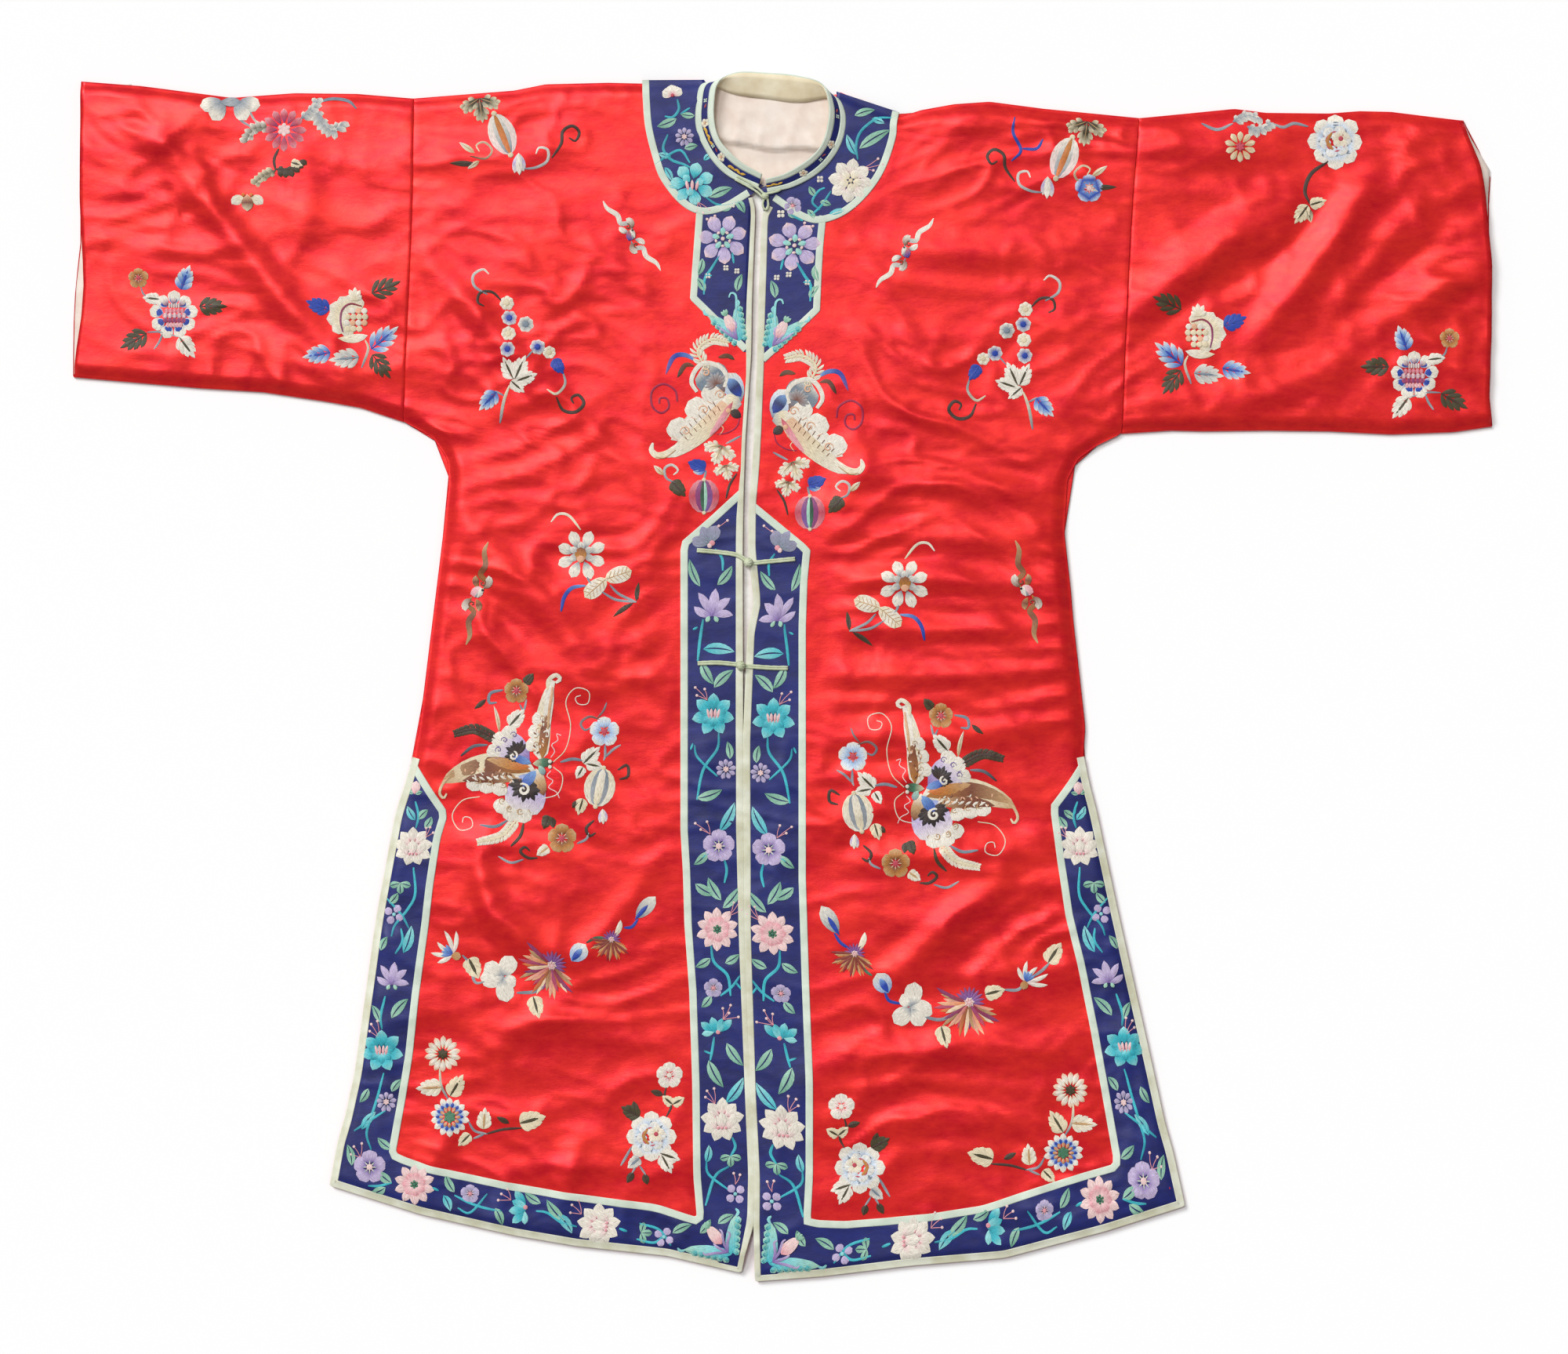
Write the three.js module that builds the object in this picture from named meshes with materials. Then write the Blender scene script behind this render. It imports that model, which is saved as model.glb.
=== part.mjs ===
// Embroidered silk robe, laid flat on its back with the front up.
// Millimetres, +Z up. Left and right are as seen from above.
import * as THREE from 'three';

// Cloth and trim sizes
const CLOTH = 1.5;        // satin with its interlining
const TRIM = 1.0;         // bands, ribbons and bindings sewn on the satin
const GAP = 0.3;          // left between two pieces that touch at a seam
const BINDING = 7;        // width of the pale binding on the free edges
const RIBBON = 7;         // width of the pale ribbon between satin and band
const LOFT = 2.8;         // how far the front stands off inside its outline
const LOFT_RUN = 8.5;     // distance from the outline over which it rises
const FOLD_OUT = CLOTH + GAP / 2;   // outer radius of a folded edge
const FOLD_IN = GAP / 2;            // inner radius of a folded edge
const PANEL_CELLS = 7;    // cells across the plain satin of a body half

// Colours
const RED = 0xdd2a2a;
const NAVY = 0x292c70;
const PALE = 0xc8d7c3;
const CREAM = 0xf0e1d7;
const WHITE = 0xf4f0ea;
const BEIGE = 0xc8be96;

// Cross rows of a body half, from the shoulder fold down to the hem.
// name: what the row marks. yIn, yOut: its height at the centre edge and at
// the outer edge. edge: x of the neck or centre edge. band: x where the band
// along that edge ends. side: x where the slit band starts. out: x of the
// sleeve seam, side seam or slit edge. cuts: rows laid in before the next
// one, as a number of equal steps or as a list of shares.
const ROW_FIELDS = ['name', 'yIn', 'yOut', 'edge', 'band', 'side', 'out', 'cuts'];
const LEFT_ROWS = [
  ['shoulder', 547.8, 531.2, -76.0, -129.2, -333.0, -338.8, [0.15, 0.4]],
  ['yoke_a', 525.6, 507.6, -80.3, -127.8, -333.0, -339.1, 1],
  ['yoke_b', 504.0, 486.0, -79.6, -126.4, -333.7, -339.5, 1],
  ['yoke_c', 482.4, 468.0, -73.1, -120.6, -334.4, -339.5, 1],
  ['yoke_d', 460.8, 450.0, -56.5, -113.4, -334.4, -339.8, 1],
  ['yoke_low', 446.4, 437.0, -29.9, -104.0, -334.4, -340.2, [0.57]],
  ['chest', 430.0, 421.0, -25.6, -80.3, -334.4, -340.6, 3],
  ['chest_corner', 348.5, 346.3, -28.8, -86.0, -338.0, -343.8, 2],
  ['chest_tip', 296.6, 298.8, -29.5, -37.1, -340.2, -346.0, 2],
  ['armhole', 230.4, 244.2, -34.2, -41.4, -342.4, -348.1, 1],
  ['armpit', 219.6, 235.4, -34.9, -42.1, -343.1, -348.8, 1],
  ['underarm', 205.2, 222.5, -35.3, -42.5, -317.2, -322.9, 1],
  ['side_top', 187.2, 201.6, -35.9, -43.1, -302.8, -308.5, 1],
  ['point', 172.8, 180.0, -36.4, -42.1, -301.3, -307.1, 2],
  ['corner', 123.8, 129.6, -37.3, -94.0, -307.1, -312.5, 5],
  ['hip', -50.4, -41.0, -36.9, -94.5, -328.0, -333.4, 1],
  ['slit', -82.8, -72.7, -36.6, -94.2, -335.2, -339.5, 1],
  ['slit_a', -109.4, -97.9, -36.5, -94.0, -325.8, -346.7, 1],
  ['elbow', -135.4, -123.8, -36.4, -93.7, -305.6, -355.3, 3],
  ['skirt_high', -234.0, -219.6, -35.6, -89.5, -324.4, -373.0, 4],
  ['skirt_low', -378.0, -362.2, -30.6, -83.2, -340.2, -392.8, 2],
  ['hem_rise', -453.6, -404.6, -28.2, -83.2, -348.1, -402.1, 1],
  ['hem_band', -496.8, -426.2, -28.8, -83.2, -350.3, -408.6, [0.143, 0.857]],
  ['hem', -545.8, -465.8, -38.5, -85.3, -358.9, -415.8, 1],
];
const RIGHT_ROWS = [
  ['shoulder', 537.0, 513.2, 52.9, 106.9, 321.5, 327.2, [0.15, 0.45]],
  ['yoke_a', 520.0, 497.0, 58.7, 104.8, 320.0, 325.8, 1],
  ['yoke_b', 499.0, 478.8, 56.5, 103.3, 318.6, 324.4, 1],
  ['yoke_c', 480.2, 461.5, 47.2, 99.0, 317.2, 322.9, 1],
  ['yoke_d', 460.8, 444.2, 29.9, 88.9, 315.7, 321.5, 1],
  ['yoke_low', 441.4, 428.4, -9.7, 77.4, 315.0, 320.8, [0.57]],
  ['chest', 424.0, 412.0, -18.9, 39.2, 314.0, 319.7, 3],
  ['chest_corner', 337.7, 333.4, -22.0, 35.6, 310.0, 315.7, 2],
  ['chest_tip', 286.6, 285.8, -23.2, -15.8, 307.8, 313.6, 2],
  ['armhole', 226.8, 234.0, -25.6, -18.4, 306.0, 311.8, 1],
  ['armpit', 216.0, 224.6, -26.3, -19.1, 305.6, 311.4, 1],
  ['underarm', 201.6, 213.8, -27.0, -19.8, 283.3, 289.1, 1],
  ['side_top', 183.6, 201.6, -28.4, -21.2, 266.0, 271.8, 1],
  ['point', 160.9, 182.2, -30.6, -24.8, 256.0, 261.7, 2],
  ['corner', 118.4, 133.2, -31.0, 27.0, 253.1, 258.8, 2],
  ['waist', 69.1, 81.4, -26.3, 22.7, 258.8, 264.6, 1],
  ['gather', 42.5, 54.0, -32.0, 20.5, 261.0, 266.8, 3],
  ['hip', -54.0, -44.6, -35.9, 18.4, 271.8, 278.0, 1],
  ['slit', -86.4, -72.0, -35.9, 18.7, 271.1, 276.1, 1],
  ['slit_a', -111.6, -97.2, -35.8, 19.6, 257.0, 281.2, 1],
  ['elbow', -136.8, -121.0, -35.7, 19.8, 241.6, 287.6, 3],
  ['skirt_high', -237.6, -218.2, -34.9, 22.0, 258.1, 308.2, 4],
  ['skirt_low', -381.6, -356.4, -29.7, 27.6, 284.4, 339.1, 2],
  ['hem_rise', -457.2, -407.6, -25.9, 27.7, 296.6, 350.3, 1],
  ['hem_band', -501.8, -435.6, -26.3, 27.7, 300.6, 358.2, [0.135, 0.865]],
  ['hem', -553.7, -484.6, -25.1, 28.4, 307.1, 369.0, 1],
];
// Rows that the back layer keeps; it is flat and needs no more.
const BACK_ROWS = ['hem', 'hem_band', 'skirt_low', 'skirt_high', 'elbow', 'slit', 'hip',
  'corner', 'point', 'side_top', 'underarm', 'armpit', 'chest_corner', 'yoke_d', 'yoke_b'];

// How far a row bows off its straight line: share from centre to outer edge,
// then millimetres up (+) or down (-).
const LEFT_SHOULDER_BOW = [[0, 0], [0.2, 0.4], [0.32, 3.2], [0.54, 5.4], [0.65, 1.4], [1, 0]];
const RIGHT_SHOULDER_BOW = [[0, 0], [0.08, -7.6], [0.2, -18], [0.27, -10], [0.38, -2],
  [0.5, 3.2], [0.68, 1], [1, 0]];
const LEFT_HEM_BOW = [[0, 0], [0.18, 1.2], [0.4, -7.4], [0.55, -9.8], [0.78, -8.6], [1, 0]];
const RIGHT_HEM_BOW = [[0, 0], [0.15, -6], [0.36, -10.5], [0.58, -18.5], [0.82, -10], [1, 0]];

// Sleeves: top fold and under seam as x, y from the body to the cuff.
const LEFT_TOP = [[-338.8, 532.8], [-391.3, 537.1], [-448.9, 537.8], [-506.5, 533.5],
  [-538.9, 537.8], [-589.3, 544.3], [-644.8, 548.6]];
const LEFT_UNDER = [[-348.8, 235.4], [-387.7, 248.4], [-420.1, 254.2], [-477.7, 262.8],
  [-535.3, 266.4], [-592.9, 271.4], [-651.2, 276.5]];
const RIGHT_TOP = [[327.2, 514.8], [357.5, 517.7], [415.1, 523.4], [443.9, 519.8],
  [501.5, 519.1], [530.3, 521.3], [559.1, 520.6], [587.9, 517.0], [624.6, 512.6]];
const RIGHT_UNDER = [[311.4, 224.6], [357.5, 227.5], [386.3, 226.8], [443.9, 227.5],
  [501.5, 226.8], [559.1, 223.9], [616.7, 226.1], [651.2, 231.1]];
// Cuff edges as y, x of the front layer, x of the back layer under it.
const LEFT_CUFF = [[548.6, -644.8, -644.8], [489, -644.8, -645.9], [439, -645.5, -646.0],
  [399, -643.3, -645.9], [361, -641.9, -650.4], [331, -644.0, -652.0],
  [302, -648.4, -652.5], [276.5, -651.2, -652.7]];
const RIGHT_CUFF = [[512.6, 624.6, 626.0], [497, 629.6, 633.2], [475, 639.0, 646.2],
  [467, 641.2, 651.2], [442, 645.5, 649.4], [414, 647.6, 649.1], [378, 650.5, 652.0],
  [320, 650.5, 651.2], [259, 648.4, 649.8], [231.1, 651.2, 652.7]];

// Main folds of the front: three points of a curve, height, half width.
const FOLDS = [
  [-571, 500, -503, 385, -402, 291, 6.0, 15],
  [-611, 504, -582, 497, -564, 486, 3.0, 9],
  [-450, 505, -420, 440, -455, 385, 2.5, 16],
  [-326, 385, -270, 320, -215, 263, 4.5, 14],
  [-344, 480, -270, 470, -200, 490, 3.0, 14],
  [-316, 162, -240, 90, -172, 11, 4.5, 15],
  [-300, 60, -230, 10, -150, -20, 2.5, 16],
  [-280, -155, -286, -235, -186, -256, 5.0, 15],
  [-250, -330, -200, -300, -150, -320, 3.0, 16],
  [-327, -472, -322, -440, -300, -400, 3.0, 12],
  [-204, -500, -200, -465, -185, -420, 3.0, 12],
  [462, 436, 404, 400, 318, 335, 6.5, 17],
  [541, 464, 484, 364, 433, 313, 6.0, 15],
  [642, 385, 600, 350, 555, 335, 5.0, 15],
  [345, 490, 400, 480, 450, 485, 3.0, 14],
  [520, 300, 470, 265, 400, 250, 3.0, 13],
  [60, 190, 150, 176, 262, 168, 3.5, 11],
  [45, 140, 140, 122, 240, 128, 3.0, 11],
  [40, 95, 140, 90, 250, 84, 4.0, 11],
  [45, 50, 150, 40, 255, 48, 3.5, 11],
  [40, 5, 150, -2, 262, 10, 4.0, 11],
  [45, -50, 140, -62, 265, -38, 3.5, 12],
  [100, 400, 180, 380, 290, 400, 3.0, 15],
  [95, -284, 140, -230, 196, -191, 5.0, 15],
  [60, -175, 150, -150, 230, -165, 3.0, 13],
  [60, -350, 150, -330, 260, -345, 3.5, 14],
  [70, -420, 140, -395, 230, -410, 3.0, 14],
];
// Places where the front lies quiet: x, y, reach across, reach along.
const QUIET = [[-20, 490, 150, 70], [-25, 340, 85, 90], [-32, 60, 80, 105]];

// Stand collar, from its left front end round the back to its right one:
// x, y, z at the foot, then x, y, z at the free edge.
const COLLAR = [
  [-22.6, 449.2, 8.2, -18.8, 461.6, 13.0],
  [-43.0, 457.5, 7.6, -36.0, 471.0, 13.5],
  [-57.0, 467.5, 7.0, -48.0, 481.0, 14.0],
  [-69.0, 483.0, 6.6, -57.5, 492.5, 14.5],
  [-76.0, 503.5, 6.2, -62.5, 508.0, 15.0],
  [-76.5, 523.0, 6.0, -62.5, 526.0, 15.0],
  [-67.5, 534.0, 5.6, -57.0, 546.0, 14.5],
  [-45.0, 534.8, 5.2, -42.0, 553.8, 14.0],
  [-15.0, 532.0, 5.0, -14.0, 553.3, 13.5],
  [15.0, 528.5, 5.2, 14.0, 550.5, 14.0],
  [38.0, 526.5, 5.6, 34.0, 543.5, 14.5],
  [51.5, 518.0, 6.0, 42.0, 523.0, 15.0],
  [52.0, 500.5, 6.2, 40.5, 505.0, 15.0],
  [44.0, 482.8, 6.6, 34.0, 488.0, 14.5],
  [29.0, 466.0, 7.0, 20.0, 474.0, 14.0],
  [8.0, 452.8, 7.6, 1.0, 463.0, 13.5],
  [-14.2, 446.2, 8.2, -16.0, 457.0, 13.0],
];
const COLLAR_WALL = 1.2;

// Underlap behind the front opening: y, x of its left edge, x of its right one.
const UNDERLAP = [[449, -62, 24], [380, -64, 14], [300, -66, 8], [200, -68, 4],
  [100, -70, 2], [20, -68, 0], [-40, -64, -6]];
// Lining seen in the neck: y, x of its left edge, x of its right one.
const NECK_LINING = [[450, -95, 75], [480, -98, 78], [500, -96, 70], [516, -92, 46],
  [529, -72, 34]];

const robe = new THREE.Group();
robe.name = 'embroidered_silk_robe';

function valueAt(table, key, column) {
  const rising = table[table.length - 1][0] > table[0][0];
  const rows = rising ? table : [...table].reverse();
  if (key <= rows[0][0]) return rows[0][column];
  for (let k = 1; k < rows.length; k += 1) {
    if (key <= rows[k][0]) {
      const share = (key - rows[k - 1][0]) / (rows[k][0] - rows[k - 1][0]);
      return rows[k - 1][column] + share * (rows[k][column] - rows[k - 1][column]);
    }
  }
  return rows[rows.length - 1][column];
}

function smooth(t) {
  const s = Math.min(1, Math.max(0, t));
  return s * s * (3 - 2 * s);
}

function mix(a, b, t) {
  return a + (b - a) * t;
}

function awayFromLine(x, y, line) {
  let best = Infinity;
  for (let k = 1; k < line.length; k += 1) {
    const [ax, ay] = line[k - 1];
    const [bx, by] = line[k];
    const ux = bx - ax;
    const uy = by - ay;
    const t = Math.min(1, Math.max(0, ((x - ax) * ux + (y - ay) * uy) / (ux * ux + uy * uy)));
    best = Math.min(best, Math.hypot(x - ax - t * ux, y - ay - t * uy));
  }
  return best;
}

// Spread the named rows of a body half into all of its rows.
function spreadRows(table) {
  const keys = table.map((row) => Object.fromEntries(ROW_FIELDS.map((f, k) => [f, row[k]])));
  const rows = [];
  keys.forEach((key, k) => {
    rows.push({ ...key });
    const next = keys[k + 1];
    if (!next) return;
    const steps = key.cuts;
    const shares = Array.isArray(steps) ? steps
      : Array.from({ length: steps - 1 }, (unused, n) => (n + 1) / steps);
    shares.forEach((share) => {
      const row = { name: '' };
      ['yIn', 'yOut', 'edge', 'band', 'side', 'out'].forEach((f) => {
        row[f] = mix(key[f], next[f], share);
      });
      rows.push(row);
    });
  });
  return rows;
}

// Stations across a row: binding, two of band, ribbon, plain satin, then
// ribbon, band and binding of the slit.
function stations(row) {
  const way = Math.sign(row.out - row.edge);
  const inner = Math.abs(row.band - row.edge);
  const ribbon = Math.min(RIBBON + 1, 0.3 * inner);
  const near = inner < 14 ? [0.6, 0.73, 0.86].map((f) => f * inner)
    : [BINDING, (BINDING + inner - ribbon) / 2, inner - ribbon];
  const outer = Math.abs(row.out - row.side);
  const far = outer < 20 ? [outer / 3, outer * 2 / 3] : [RIBBON, outer - BINDING];
  const xs = [row.edge, ...near.map((f) => row.edge + way * f)];
  for (let k = 0; k <= PANEL_CELLS; k += 1) {
    xs.push(mix(row.band, row.side, k / PANEL_CELLS));
  }
  far.forEach((f) => xs.push(row.side + way * f));
  xs.push(row.out);
  return xs;
}

// Height of a row at x, with the bow of the shoulder or the hem.
function rowHeight(row, x, bows) {
  const share = (x - row.edge) / (row.out - row.edge);
  const top = smooth(1 - (bows.shoulderY - row.yIn) / 75);
  const low = smooth((-150 - row.yIn) / 345);
  const inside = Math.min(1, Math.max(0, share));
  return mix(row.yIn, row.yOut, share) + top * valueAt(bows.shoulder, inside, 1)
    + low * valueAt(bows.hem, inside, 1);
}

const SIDES = {
  left: {
    rows: spreadRows(LEFT_ROWS),
    bows: { shoulder: LEFT_SHOULDER_BOW, hem: LEFT_HEM_BOW, shoulderY: LEFT_ROWS[0][1] },
    top: LEFT_TOP, under: LEFT_UNDER, cuff: LEFT_CUFF, way: -1,
  },
  right: {
    rows: spreadRows(RIGHT_ROWS),
    bows: { shoulder: RIGHT_SHOULDER_BOW, hem: RIGHT_HEM_BOW, shoulderY: RIGHT_ROWS[0][1] },
    top: RIGHT_TOP, under: RIGHT_UNDER, cuff: RIGHT_CUFF, way: 1,
  },
};

// Closed edges of the laid robe, where the front comes down to the back.
const EDGES = [];
Object.values(SIDES).forEach((side) => {
  const first = side.rows[0];
  const shoulder = stations(first).map((x) => [x, rowHeight(first, x, side.bows) + FOLD_OUT]);
  const last = side.rows[side.rows.length - 1];
  const hem = stations(last).map((x) => [x, rowHeight(last, x, side.bows)]);
  const armpit = side.rows.findIndex((row) => row.name === 'armpit');
  const flank = side.rows.slice(armpit).map((row) => [row.out, row.yOut]);
  EDGES.push(shoulder, hem, flank, side.top, side.under);
});

function foldHeight(x, y) {
  let sum = 0;
  FOLDS.forEach(([ax, ay, bx, by, cx, cy, height, half]) => {
    let best = 0;
    for (let k = 0; k <= 12; k += 1) {
      const t = k / 12;
      const px = (1 - t) ** 2 * ax + 2 * t * (1 - t) * bx + t * t * cx;
      const py = (1 - t) ** 2 * ay + 2 * t * (1 - t) * by + t * t * cy;
      const off = Math.hypot(x - px, y - py) / half;
      const taper = Math.sin(Math.PI * mix(0.12, 0.88, t));
      best = Math.max(best, height * taper * Math.exp(-off * off));
    }
    sum += best;
  });
  let calm = 1;
  QUIET.forEach(([qx, qy, rx, ry]) => {
    calm *= smooth((Math.hypot((x - qx) / rx, (y - qy) / ry) - 0.9) / 0.35);
  });
  return sum * calm;
}

// Underside of the front layer over a point.
function frontUnder(x, y) {
  const off = Math.min(...EDGES.map((line) => awayFromLine(x, y, line)));
  const rise = smooth((off - FOLD_OUT) / LOFT_RUN);
  return CLOTH + GAP + LOFT * rise + foldHeight(x, y) * smooth(off / 24);
}

// A closed solid from two faces of a grid of points. keep says which cells
// are cloth; joins carries faces that replace some of the walls.
function sheetSolid(outer, inner, keep, open = () => false, extra = []) {
  const rows = outer.length;
  const cols = outer[0].length;
  const index = new Map();
  const points = [];
  const faces = [];
  const at = (face, i, j) => {
    const key = `${face} ${i} ${j}`;
    if (!index.has(key)) {
      index.set(key, points.length / 3);
      points.push(...(face === 'o' ? outer : inner)[i][j]);
    }
    return index.get(key);
  };
  const kept = (i, j) => i >= 0 && j >= 0 && i < rows - 1 && j < cols - 1 && keep(i, j);
  const wall = (a, b) => {
    if (open(a, b)) return;
    faces.push(at('o', ...b), at('o', ...a), at('i', ...a));
    faces.push(at('o', ...b), at('i', ...a), at('i', ...b));
  };
  for (let i = 0; i < rows - 1; i += 1) {
    for (let j = 0; j < cols - 1; j += 1) {
      if (!kept(i, j)) continue;
      const ring = [[i, j], [i + 1, j], [i + 1, j + 1], [i, j + 1]];
      faces.push(at('o', ...ring[0]), at('o', ...ring[1]), at('o', ...ring[2]));
      faces.push(at('o', ...ring[0]), at('o', ...ring[2]), at('o', ...ring[3]));
      faces.push(at('i', ...ring[0]), at('i', ...ring[2]), at('i', ...ring[1]));
      faces.push(at('i', ...ring[0]), at('i', ...ring[3]), at('i', ...ring[2]));
      if (!kept(i, j - 1)) wall(ring[0], ring[1]);
      if (!kept(i + 1, j)) wall(ring[1], ring[2]);
      if (!kept(i, j + 1)) wall(ring[2], ring[3]);
      if (!kept(i - 1, j)) wall(ring[3], ring[0]);
    }
  }
  extra.forEach((corner) => faces.push(at(...corner)));
  return { points, faces };
}

function volumeOf({ points, faces }) {
  let sum = 0;
  for (let k = 0; k < faces.length; k += 3) {
    const [a, b, c] = [0, 1, 2].map((n) => new THREE.Vector3(
      ...points.slice(3 * faces[k + n], 3 * faces[k + n] + 3)));
    sum += a.dot(b.cross(c)) / 6;
  }
  return sum;
}

function addSolid(name, solid, colour, roughness) {
  const faces = [...solid.faces];
  if (volumeOf(solid) < 0) {
    for (let k = 0; k < faces.length; k += 3) [faces[k], faces[k + 1]] = [faces[k + 1], faces[k]];
  }
  const geometry = new THREE.BufferGeometry();
  geometry.setAttribute('position', new THREE.Float32BufferAttribute(solid.points, 3));
  geometry.setIndex(faces);
  geometry.computeVertexNormals();
  const material = new THREE.MeshStandardMaterial({ color: colour, roughness, metalness: 0 });
  material.side = THREE.DoubleSide;
  const mesh = new THREE.Mesh(geometry, material);
  mesh.name = name;
  robe.add(mesh);
}

const ALL = () => true;

// One body half: back layer, fold over the shoulder, front layer. The side
// seam closes it between armpit and slit.
function bodyHalf(side) {
  const { rows, bows, way } = side;
  const outer = [];
  const inner = [];
  const names = [];
  const centreBack = (y) => -9 - (536 - y) * 0.0207 + way * GAP / 2;
  const backStations = (row) => {
    const xs = stations({ ...row, band: way < 0 ? -129.2 : 106.9 });
    const last = xs.length - 1 - 3 - PANEL_CELLS;
    for (let j = 0; j < last; j += 1) xs[j] = mix(centreBack(row.yIn), xs[last], j / last);
    return xs;
  };
  BACK_ROWS.forEach((name) => {
    const row = rows.find((r) => r.name === name);
    const xs = backStations(row);
    const ys = xs.map((x) => rowHeight(row, x, bows));
    outer.push(xs.map((x, j) => [x, ys[j], 0]));
    inner.push(xs.map((x, j) => [x, ys[j], CLOTH]));
    names.push(`back ${name}`);
  });
  const near = rows[2];
  const nearXs = backStations(near);
  const neckline = (x) => Math.min(rowHeight(near, x, bows), 536 + 0.2 * Math.abs(x + 9));
  outer.push(nearXs.map((x) => [x, neckline(x), 0]));
  inner.push(nearXs.map((x) => [x, neckline(x), CLOTH]));
  names.push('back neck');
  const first = rows[0];
  const foldXs = stations(first);
  for (let k = 0; k <= 3; k += 1) {
    const turn = -Math.PI / 2 + k * Math.PI / 4;
    const ring = (radius) => foldXs.map((x) => [x,
      rowHeight(first, x, bows) + radius * Math.cos(turn), FOLD_OUT + radius * Math.sin(turn)]);
    outer.push(ring(FOLD_OUT));
    inner.push(ring(FOLD_IN));
    names.push('fold');
  }
  rows.forEach((row) => {
    const xs = stations(row);
    const ys = xs.map((x) => rowHeight(row, x, bows));
    const low = xs.map((x, j) => frontUnder(x, ys[j]));
    outer.push(xs.map((x, j) => [x, ys[j], low[j] + CLOTH]));
    inner.push(xs.map((x, j) => [x, ys[j], low[j]]));
    names.push(`front ${row.name}`);
  });
  const last = outer[0].length - 1;
  const range = (layer) => [names.indexOf(`${layer} armpit`), names.indexOf(`${layer} slit`)];
  const [frontTop, frontEnd] = range('front');
  const [backTop, backEnd] = range('back');
  const sewn = (i) => (i >= frontTop && i <= frontEnd) || (i <= backTop && i >= backEnd);
  for (let i = 0; i < inner.length; i += 1) {
    if (sewn(i)) inner[i][last][0] -= way * CLOTH;
  }
  const front = [];
  const back = [];
  for (let i = frontTop; i <= frontEnd; i += 1) front.push(i);
  for (let i = backTop; i >= backEnd; i -= 1) back.push(i);
  const extra = [];
  let f = 0;
  let b = 0;
  const tri = (...three) => three.forEach(([face, i]) => extra.push([face, i, last]));
  while (f < front.length - 1 || b < back.length - 1) {
    const nextFront = f < front.length - 1 ? outer[front[f + 1]][last][1] : -Infinity;
    const nextBack = b < back.length - 1 ? outer[back[b + 1]][last][1] : -Infinity;
    if (nextFront >= nextBack) {
      tri(['o', front[f]], ['o', front[f + 1]], ['o', back[b]]);
      tri(['i', front[f + 1]], ['i', front[f]], ['i', back[b]]);
      f += 1;
    } else {
      tri(['o', back[b + 1]], ['o', back[b]], ['o', front[f]]);
      tri(['i', back[b]], ['i', back[b + 1]], ['i', front[f]]);
      b += 1;
    }
  }
  tri(['i', frontTop], ['o', frontTop], ['o', backTop]);
  tri(['i', frontTop], ['o', backTop], ['i', backTop]);
  tri(['o', frontEnd], ['i', frontEnd], ['i', backEnd]);
  tri(['o', frontEnd], ['i', backEnd], ['o', backEnd]);
  const open = (p, q) => p[1] === last && q[1] === last && sewn(p[0]) && sewn(q[0]);
  const start = names.indexOf('front shoulder');
  return { solid: sheetSolid(outer, inner, ALL, open, extra), top: outer.slice(start) };
}

// A trim laid on a panel: the cells it covers, moved out and drawn in a
// little so that two trims side by side keep a gap.
function trimOn(top, covers) {
  const rows = top.length;
  const cols = top[0].length;
  const kept = (i, j) => i >= 0 && j >= 0 && i < rows - 1 && j < cols - 1 && covers(i, j);
  const placed = (i, j, lift) => {
    let across = 0;
    let along = 0;
    [[-1, -1], [-1, 0], [0, -1], [0, 0]].forEach(([di, dj]) => {
      if (!kept(i + di, j + dj)) return;
      along += di * 2 + 1;
      across += dj * 2 + 1;
    });
    const point = [...top[i][j]];
    [[0, Math.sign(across)], [Math.sign(along), 0]].forEach(([di, dj]) => {
      const mate = (top[i + di] || [])[j + dj];
      if (!mate || (di === 0 && dj === 0)) return;
      const length = Math.hypot(mate[0] - top[i][j][0], mate[1] - top[i][j][1]);
      const step = Math.min(0.6 * GAP, 0.3 * length) / length;
      point[0] += (mate[0] - top[i][j][0]) * step;
      point[1] += (mate[1] - top[i][j][1]) * step;
      point[2] = Math.max(point[2], point[2] + (mate[2] - top[i][j][2]) * step);
    });
    point[2] += lift;
    return point;
  };
  const grid = (lift) => top.map((row, i) => row.map((unused, j) => placed(i, j, lift)));
  return sheetSolid(grid(GAP + TRIM), grid(GAP), covers);
}

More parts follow.
